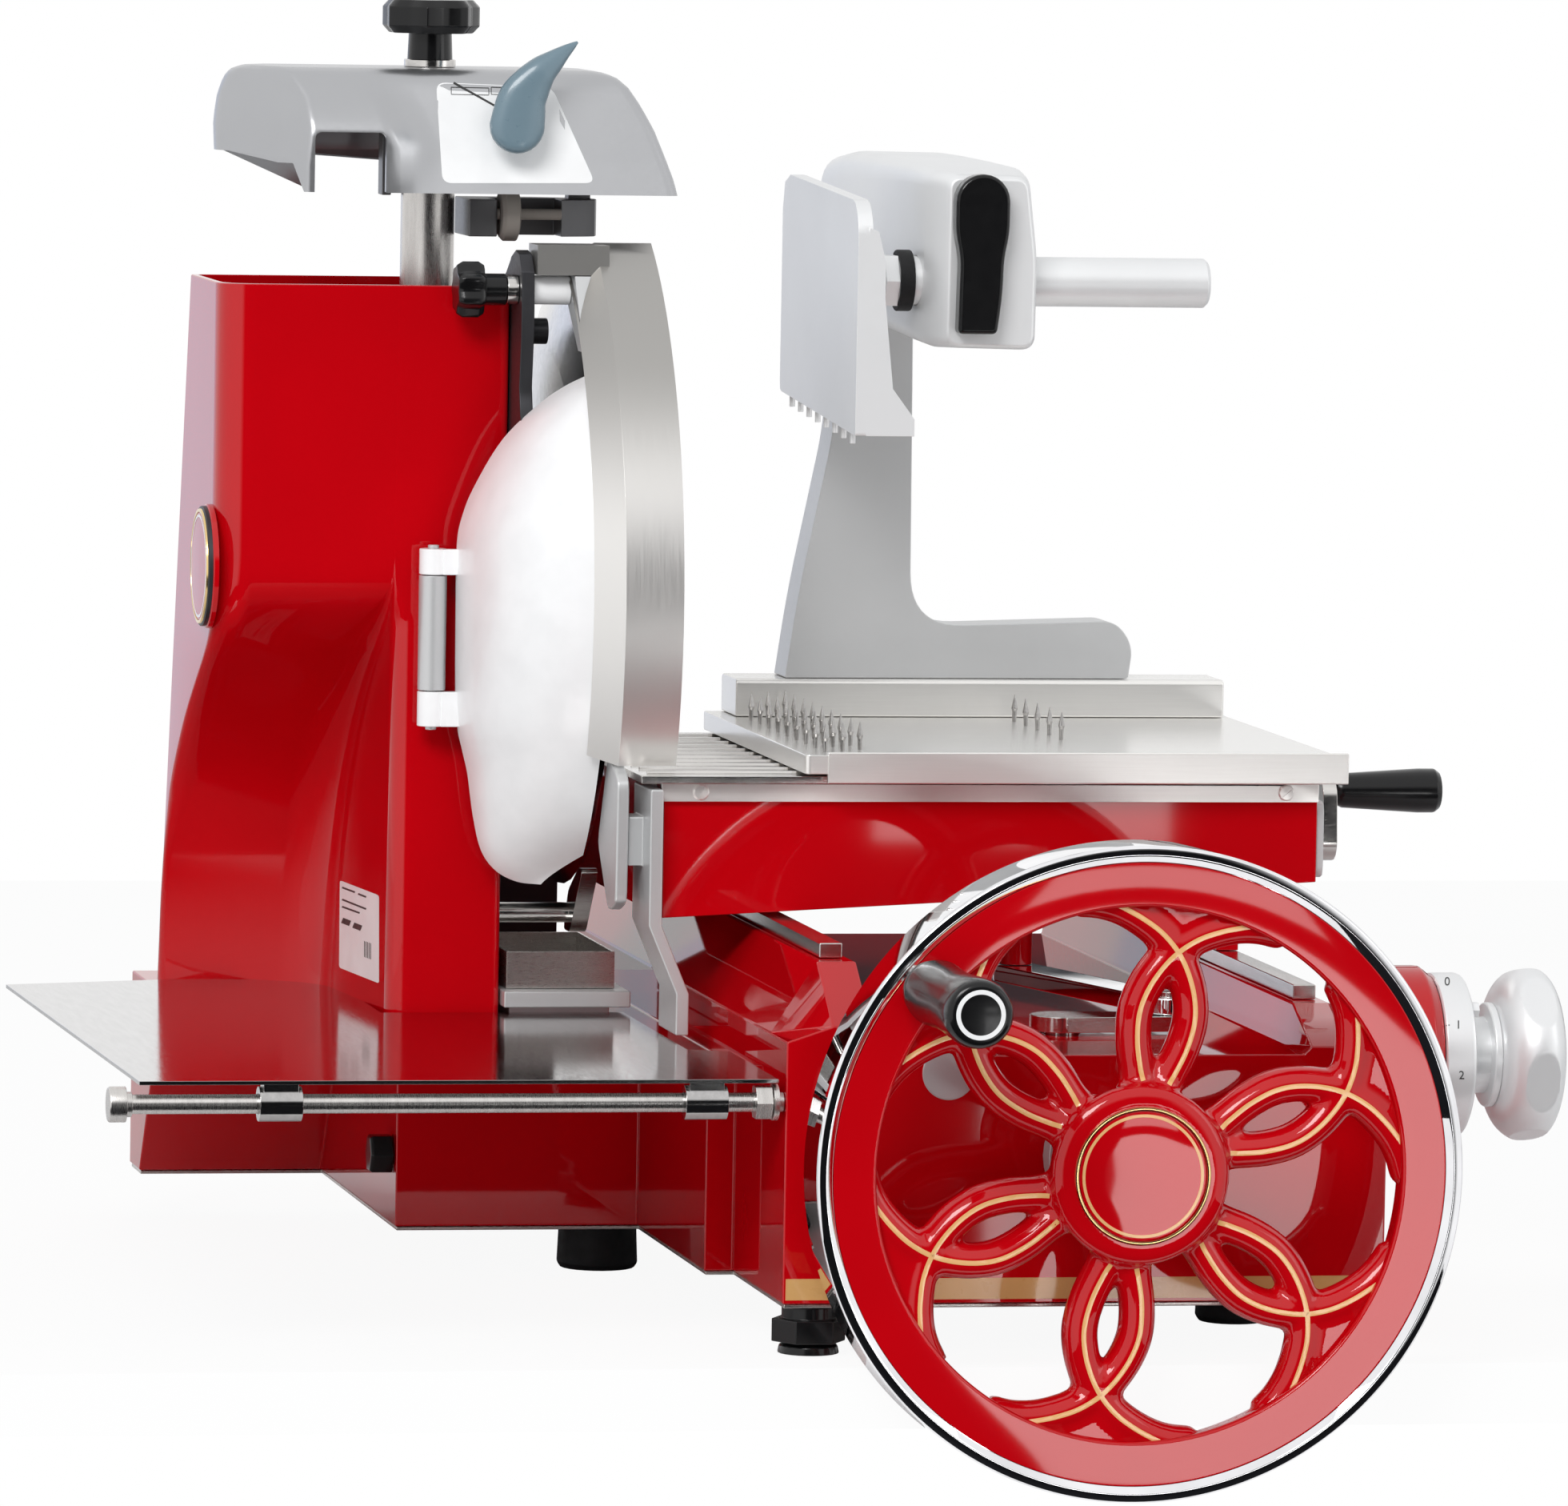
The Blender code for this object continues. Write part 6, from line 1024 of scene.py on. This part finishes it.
# %% Blade cover
COVER_SIDE = [(-76, 187.5), (-88, 188.5), (-99, 194), (-107, 205), (-111.5, 224), (-114.5, 246)]
COVER_SIDE += [(-117.5, 259), (-120, 270), (-121.5, 290), (-122, 330), (-122, 365), (-120, 381)]
COVER_SIDE += [(-112.3, 402), (-99.7, 426), (-83, 445), (-71, 455), (-60, 462)]
SIDE_LOW, SIDE_HIGH = 187.5, 461
EDGE_LOW, EDGE_HIGH = 205, 462
EDGE_X, EDGE_RADIUS = -57.0, 179.0
BLADE_Y, BLADE_Z = 395, 345
HINGE_Y = 319


def cover_row(x, z):
    """A line over the cover, from its free outline to the blade's edge."""
    share = (z - SIDE_LOW) / (SIDE_HIGH - SIDE_LOW)
    edge_z = EDGE_LOW + (EDGE_HIGH - EDGE_LOW) * share
    edge_y = BLADE_Y - math.sqrt(EDGE_RADIUS**2 - (edge_z - BLADE_Z) ** 2)
    ends = min(1.0, max(0.0, (EDGE_X - x) / 59)) ** 0.5
    start = Vector((x, edge_y + (HINGE_Y - edge_y) * ends, z))
    end = Vector((EDGE_X, edge_y, edge_z))
    middle = Vector((x + 3, edge_y + 14, (z * 2 + edge_z) / 3))
    return [tuple(bend(start, middle, end, k / 24)) for k in range(25)]


cover_rows = [cover_row(p.x, p.y) for p in smooth_path(COVER_SIDE, 6)]
cover_skin = grid_mesh(cover_rows, sheet=True)
facing = sum((f.normal * f.area for f in cover_skin.polygons), Vector())
if facing.y > 0:
    cover_skin.flip_normals()
holder = held(cover_skin)
change(holder, "SOLIDIFY", thickness=0.003, offset=-1)
cover_shape = bevelled(baked(holder), 0.0008, 2, 60)
knuckles = []
for low, high in ((271.0, 289.7), (352.3, 366.0)):
    tube = [(low, 3.3), (high, 3.3), (high, 7.5), (low, 7.5)]
    knuckle = hoop(tube, "Z", (-134, 322), 40)
    tab_line = [(-130, 314.6), (-117, 314.6), (-117, 320.8), (-130, 320.8)]
    tab = slab(rounded(tab_line, 1), "Z", low, high)
    knuckles += [bevelled(knuckle, 0.0005), bevelled(tab, 0.0005)]
cover = join_meshes(cover_shape, *knuckles)
put("blade_cover_dressed", cover, white_shell, "cover", "blade_cover", smooth=50)
print("cover faces:", len(cover.polygons))

# %% [markdown]
# The food press is cast aluminium. Its column flows into its foot with a wide fillet, so the column
# is drawn with curved corners. The head is lofted from front to back, and the rod's bore goes
# through it.

# %% Food press castings
COLUMN = [(82, 288.3), (274.6, 288.3), (277, 307), (267, 320.2), (151.5, 316.6), (150, 488.7)]
COLUMN += [(108, 488.7), (107.5, 428), (88.5, 334)]
column = slab(rounded(COLUMN, [1, 2, 12, 8, 30, 1, 1, 20, 24], 12), "Y", 441, 473)
column = bevelled(column, 0.003, 4, 40)
put("press_column_dressed", column, satin, "table", "press_column")
HEAD_SHAPES = [
    (282, [(137, 480.5), (181.5, 479.5), (182, 524), (177, 566.5), (137.5, 567)], 5),
    (283, [(135.4, 479), (183.2, 478), (183.6, 524), (178.4, 568.2), (136, 568.6)], 7),
    (286, [(134, 477.6), (184.4, 476.6), (185, 524), (179.6, 569.8), (134.6, 570.4)], 8),
    (300, [(126, 477.2), (186, 476.6), (188, 524), (182.5, 571.5), (126.6, 572.4)], 9),
    (330, [(122.6, 479), (190, 478.6), (193, 526), (187, 573), (123.4, 574)], 10),
    (370, [(118, 482), (189.6, 481.6), (192, 528), (184, 574.6), (118.6, 575.6)], 12),
    (410, [(110, 486), (185.4, 485.6), (188, 530), (180, 576), (111, 577)], 14),
    (440, [(104.6, 489), (182, 489), (184, 532), (177, 576.6), (105.6, 577.4)], 16),
    (470, [(102.4, 489), (175, 489), (177, 532), (171, 573.6), (103, 574.4)], 18),
    (480, [(104, 490.6), (171, 490.6), (173, 532), (168, 571), (104.6, 571.6)], 18),
    (482.6, [(108, 494), (167, 494), (169, 532), (164, 567), (108.6, 567.6)], 18),
]
head_rings = []
for y, corners, radius in HEAD_SHAPES:
    head_rings.append([(x, y, z) for x, z in rounded(corners, radius, 8)])
bore = lathe([(90, 0), (90, 13.6), (260, 13.6), (260, 0)], "X", (315, 512), 64)
head = bevelled(cut(grid_mesh(head_rings), bore), 0.0008, 2, 50)
put("press_head_dressed", head, pale_cast, "table", "press_head")

lever_line = [(139.4, 485.5), (160.6, 485.5), (163.2, 506), (163.8, 526), (166.6, 540)]
lever_line += circle(24, 14.7, (151.9, 556.2))[:13] + [(137.2, 540), (140.2, 526), (139.8, 506)]
lever_soft = [3, 3, 8, 6, 6] + [1] * 13 + [6, 6, 8]
lever = bevelled(slab(rounded(lever_line, lever_soft, 6), "Y", 269.2, 281.7), 0.0022, 4, 40)
put("lock_lever_dressed", lever, black_gloss, body_of_node["lock_lever"], "lock_lever")
print("head and lever faces:", len(head.polygons), len(lever.polygons))

# %% [markdown]
# The thickness dial is turned: a numbered drum, a shaft, two collars and a round wheel. Six flats are
# milled on the wheel for the fingers, so its radius is the lesser of the turned one and the flat's.

# %% Thickness dial
DIAL = (80.0, 119.0)
FLATS_TURN = 134
FLATS_REACH = 42.9
DRUM = [(332.6, 0), (332.6, 8), (357.6, 8), (357.6, 42), (358.4, 43), (371.6, 43), (373.6, 42.2)]
DRUM += [(374.4, 40.4), (374.4, 21), (375.2, 20), (387.6, 20), (387.8, 26.6), (388.6, 27.4)]
DRUM += [(391.6, 27.4), (392, 26.2), (392.6, 26.2), (393, 28.4), (396.6, 28.4), (398, 0)]
KNOB = [(391.8, 26), (393.2, 33), (396.4, 38.8), (401, 43), (406.6, 45.6), (412.2, 46)]
KNOB += [(417.2, 44.4), (421.2, 40.6), (424, 34.4), (425.1, 26)]


def knob_row(x, turned, steps=216):
    """A ring of the wheel, cut back where its six flats are."""
    row = []
    for i, (a, b) in enumerate(circle(steps)):
        off = (360 * i / steps - FLATS_TURN + 30) % 60 - 30
        radius = min(turned, FLATS_REACH / math.cos(math.radians(off)))
        row.append((x, DIAL[0] + radius * a, DIAL[1] + radius * b))
    return row


knob_stations = [(391.8, 0.01)] + [tuple(p) for p in smooth_path(KNOB, 5)] + [(425.2, 0.01)]
knob = grid_mesh([knob_row(*station) for station in knob_stations])
drum = bevelled(lathe(DRUM, "X", DIAL, 128), 0.0003, 2, 40)
stop = bevelled(lathe([(373, 0), (373, 4.4), (378.6, 4.4), (378.6, 0)], "X", (57, 145), 6), 0.0004)
dial_shape = join_meshes(drum, knob, stop)
dial_body = body_of_node["thickness_dial"]
put("thickness_dial_dressed", dial_shape, dial_cast, dial_body, "thickness_dial", smooth=28)
print("dial faces:", len(dial_shape.polygons))

# %% [markdown]
# The table's spikes are all alike, so one is described once and Geometry Nodes sets a copy on every
# point of a small mesh. A seeded random tilt keeps them from looking stamped. The result is turned
# to a plain mesh, so the piece is as simple as the others.


# %% Spikes by Geometry Nodes
def spike_nodes(finish):
    """A node group that sets one turned spike on each point of the mesh it gets."""
    tree = bpy.data.node_groups.new("spikes", "GeometryNodeTree")
    sockets = {}
    tree.interface.new_socket("Places", in_out="INPUT", socket_type="NodeSocketGeometry")
    for label, kind in (("Height", "Float"), ("Radius", "Float"), ("Tilt", "Float"), ("Seed", "Int")):
        made = tree.interface.new_socket(label, in_out="INPUT", socket_type="NodeSocket" + kind)
        sockets[label] = made.identifier
    tree.interface.new_socket("Spikes", in_out="OUTPUT", socket_type="NodeSocketGeometry")
    given = wire(tree, "NodeGroupInput")

    def times(label, factor):
        return wire(tree, "Math", {0: given[label], 1: factor}, operation="MULTIPLY")[0]

    def cone(low_radius, high_radius, depth, rise):
        sizes = {"Vertices": 16, "Radius Top": times("Radius", high_radius)}
        sizes.update({"Radius Bottom": times("Radius", low_radius), "Depth": times("Height", depth)})
        shape = wire(tree, "GeometryNodeMeshCone", sizes)["Mesh"]
        lift = wire(tree, "CombineXYZ", {"Z": times("Height", rise)})[0]
        return wire(tree, "GeometryNodeTransform", {"Geometry": shape, "Translation": lift})[0]

    join = tree.nodes.new("GeometryNodeJoinGeometry")
    for sizes in ((0.62, 0.70, 0.42, -0.02), (0.70, 1.0, 0.12, 0.39), (1.0, 0.10, 0.5, 0.50)):
        tree.links.new(cone(*sizes), join.inputs[0])
    range_of_tilt = {0: times("Tilt", -1.0), 1: given["Tilt"], "Seed": given["Seed"]}
    tilt = wire(tree, "FunctionNodeRandomValue", range_of_tilt, data_type="FLOAT_VECTOR")[0]
    spread = {"Points": given["Places"], "Instance": join.outputs[0], "Rotation": tilt}
    spread = wire(tree, "GeometryNodeInstanceOnPoints", spread)[0]
    real = wire(tree, "GeometryNodeRealizeInstances", {0: spread})[0]
    coat = wire(tree, "GeometryNodeSetMaterial", {"Geometry": real, "Material": finish})[0]
    wire(tree, "NodeGroupOutput", {0: coat})
    return tree, sockets


def spread_spikes(name, places, finish, height, radius):
    """The spikes as a plain mesh."""
    mesh = bpy.data.meshes.new(name + "_places")
    mesh.from_pydata([at(*p) for p in places], [], [])
    holder = held(mesh)
    tree, sockets = spike_nodes(finish)
    spread = holder.modifiers.new("spikes", "NODES")
    spread.node_group = tree
    for label, value in (("Height", height), ("Radius", radius), ("Tilt", 0.02), ("Seed", 7)):
        spread[sockets[label]] = value
    return baked(holder)


TABLE_TOP = 267.0
spike_places = [(58 + r * 11, 205 + i * 26 + r * 8, TABLE_TOP) for r in range(3) for i in range(9)]
spike_places += [(204, 289 + i * 30, TABLE_TOP) for i in range(5)]
spikes = spread_spikes("spikes", spike_places, spike_steel, 0.0150, 0.0019)
print("spikes:", len(spike_places), "faces:", len(spikes.polygons))
spike_piece = bpy.data.objects.new("table_spikes", spikes)
scene.collection.objects.link(spike_piece)
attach(spike_piece, "table")

# %% [markdown]
# The meat table is a thick steel plate with a folded lip along its front. The plate, the lip and the
# nut below it are separate closed shapes that overlap a little, each with rounded edges.

# %% Meat table
plate = slab(rounded([(44, 186), (333, 186), (333, 480), (44, 480)], 3), "Z", 256.8, TABLE_TOP)
LIP = [(185, 252), (188, 252), (189.4, 258), (189, 268.2), (187, 268.5), (185, 268.5)]
lip = slab(rounded(LIP, 0.8), "X", 56, 338)
nut = slab([(170, 290), (186, 290), (186, 310), (170, 310)], "Z", 206, 257.5)
table_shape = join_meshes(bevelled(plate, 0.0006), bevelled(lip, 0.0005), bevelled(nut, 0.0004))
table_slot = "polished_steel"
put("meat_table_plate", table_shape, ground_steel, "table", "meat_table", smooth=35, slot_name=table_slot)

# %% [markdown]
# Slotted cheese head screws hold the strip. Each is turned and a thin block cuts its slot. Two dark discs
# are painted shade: a wide, thin one shows as a dark ring round the head's back, as the shadow of the gap
# it sits in, and a smaller one darkens the slot's floor.

# %% Slotted screws
SCREW_FRONT, SCREW_HEIGHT, SCREW_RADIUS = 201.6, 246, 4.0


def slotted_screw(x, y, z, radius, turned_by):
    """A turned head with its slot, which is turned by some degrees."""
    profile = [(y + 0.4, 0), (y + 0.4, radius), (y - 0.7, radius), (y - 1.1, radius - 0.5), (y - 1.2, 0)]
    run = Vector((math.cos(math.radians(turned_by)), math.sin(math.radians(turned_by))))
    across = Vector((-run.y, run.x)) * 0.45
    run = run * (radius + 1)
    corners = [run + across, across - run, -run - across, run - across]
    cutter = slab([(x + c.x, z + c.y) for c in corners], "Y", y - 2.5, y - 0.5)
    return cut(lathe(profile, "Y", (x, z), 40), cutter)


screws = []
for x, turned_by in ((-9, 70), (308, 42)):
    screw = slotted_screw(x, SCREW_FRONT, SCREW_HEIGHT, SCREW_RADIUS, turned_by)
    screws.append(paint_index(screw, 0))
    # Painted shade: a dark ring round each head and a dark floor in its slot.
    for front, depth, radius in ((202.0, 0.15, 4.7), (201.4, 0.45, 3.8)):
        disc = [(front, 0), (front, radius), (front - depth, radius), (front - depth, 0)]
        screws.append(paint_index(lathe(disc, "Y", (x, SCREW_HEIGHT), 40), 1))
put("strip_screws", join_meshes(*screws), [ground_steel, dark_cast], "carriage", smooth=30)
print("screw parts:", len(screws))

# %% [markdown]
# Labels, painted stripes and numbers lie on skins of many shapes. A ray goes from the lens through
# each point of a mark's outline, and where it meets the piece the mark gets a corner. So every mark
# is a thin patch that follows its surface.


# %% Patches on a skin
def seen_on(skin, u, v, lift):
    """Where the lens sees the skin at a place of the picture, lifted off it a little."""
    aside = right * (u - PICTURE_MIDDLE[0]) + up * (PICTURE_MIDDLE[1] - v)
    run = (aside + forward * FOCAL_LENGTH).normalized()
    hit = skin.ray_cast(camera.matrix_world.translation, run)
    if hit[0] is None:
        return None
    normal = hit[1] if hit[1].dot(run) < 0 else -hit[1]
    return hit[0] + normal * lift


def patch(skin, outline, lift=0.00012):
    """A sheet on the skin inside an outline given in picture places."""
    middle = sum((Vector(p) for p in outline), Vector((0, 0))) / len(outline)
    form = bmesh.new()
    previous = None
    for share in (1.0, 0.8, 0.6, 0.4, 0.2):
        row = []
        for p in outline:
            spot_now = middle + (Vector(p) - middle) * share
            found = seen_on(skin, spot_now.x, spot_now.y, lift)
            row.append(form.verts.new(found) if found is not None else None)
        if previous:
            for i in range(len(row)):
                j = (i + 1) % len(row)
                corners = [previous[i], previous[j], row[j], row[i]]
                if all(c is not None for c in corners):
                    form.faces.new(corners)
        previous = row
    if all(c is not None for c in previous):
        form.faces.new(previous)
    return facing_lens(form)


def stroke(skin, points, width, lift=0.0002):
    """A line of even width on the skin, through picture places."""
    rows = []
    for point, across in framed([Vector(p) for p in points]):
        sides = (point + across * width / 2, point - across * width / 2)
        rows.append([seen_on(skin, u, v, lift) for u, v in sides])
    return ribbon(rows)


def dense(points, count=8):
    """The same line with more points on it."""
    found = []
    for a, b in zip(points, points[1:]):
        for k in range(count):
            found.append(tuple(Vector(a).lerp(Vector(b), k / count)))
    found.append(points[-1])
    return found


# %% [markdown]
# Two pale labels carry small dark marks. The marks stand in for printing, and each is a stroke laid
# over its label, a hair further out.

# %% Labels
hood_skin = skin_of(hood_plain)
hood_label = patch(hood_skin, rounded([(545, 103), (690, 109), (744, 229), (553, 229)], 12, 7))
put("hood_label", hood_label, label_white, "sharpener", smooth=60)
marks = [stroke(hood_skin, dense([(567, 103.5), (618, 132)]), 2.6)]
for left_u, right_u in ((564, 611), (614, 640)):
    box_line = [(left_u, 109), (right_u, 110), (right_u, 119), (left_u, 118), (left_u, 109)]
    marks.append(stroke(hood_skin, dense(box_line), 0.9))
put("hood_label_marks", join_meshes(*marks), ink, "sharpener", smooth=60)

housing_skin = skin_of(scene.objects["housing_shell"].data)
side_label = patch(housing_skin, rounded([(425, 1100), (474, 1119), (474, 1229), (424, 1209)], 3, 4))
put("housing_label", side_label, label_white, "base", smooth=60)
bars = [
    (2.2, (428, 1109), (444, 1115)),
    (2.2, (448, 1117), (458, 1121)),
    (2.2, (428, 1124), (458, 1136)),
    (2.2, (428, 1133), (450, 1141)),
    (7.0, (428, 1150), (438, 1154)),
    (7.0, (442, 1156), (452, 1160)),
]
for k in range(5):
    bars.append((0.9, (456 + k * 1.9, 1176 + k * 0.7), (456 + k * 1.9, 1196 + k * 0.7)))
marks = [stroke(housing_skin, dense([a, b], 4), width) for width, a, b in bars]
put("housing_label_marks", join_meshes(*marks), ink, "base", smooth=60)
print("marks on the housing:", len(marks))

# %% [markdown]
# A gold stripe runs along the foot of the base, and the front has one round machined plug. The
# stripe is sprayed with a mask, so it is only as thick as paint.

# %% Stripe and plug
stripe = slab([(1.5, 2.0), (315.5, 2.0), (315.5, 13.0), (1.5, 13.0)], "Y", -0.15, 0.2)
put("base_stripe", stripe, gold_paint, "base")
PLUG = [(1, 0), (1, 14), (-0.6, 14), (-1.2, 13.2), (-1.2, 2), (-0.9, 0)]
put("front_plug", lathe(PLUG, "Y", (85, 119), 64), satin, "base")
BOLT = [(-147.6, 0), (-147.6, 11.4), (-158.5, 11.4), (-160, 10.2), (-160, 0)]
put("side_bolt", bevelled(lathe(BOLT, "X", (349, 38), 6), 0.0007), black_gloss, "base", smooth=30)
print("trim on the base:", len(stripe.polygons), "faces in the stripe")

# %% [markdown]
# The dial's numbers start as flat text. Each corner of a letter is dropped along the view onto the
# dial, so the figures wrap round the drum.


# %% Dial numbers
def number_on(skin, text, u, v, size):
    curve = bpy.data.curves.new("figure", "FONT")
    curve.body = text
    curve.size = size
    curve.align_x = "CENTER"
    curve.align_y = "CENTER"
    curve.resolution_u = 4
    mesh = baked(held(curve))
    for vertex in mesh.vertices:
        found = seen_on(skin, u + vertex.co.x, v - vertex.co.y, 0.00015)
        vertex.co = found if found is not None else Vector((0, 0, 0))
    mesh.materials.clear()
    return mesh


dial_skin = skin_of(scene.objects["thickness_dial_dressed"].data)
numbers = (("0", 1809, 1227), ("1", 1823, 1281), ("2", 1827, 1344))
figures = [number_on(dial_skin, text, u, v, 15) for text, u, v in numbers]
figures.append(stroke(dial_skin, dense([(1788, 1238), (1796, 1232)], 3), 1.3))
figures.append(stroke(dial_skin, dense([(1800, 1283), (1812, 1281)], 3), 1.3))
put("dial_figures", join_meshes(*figures), ink, "dial", smooth=60)
print("dial marks:", len(figures))
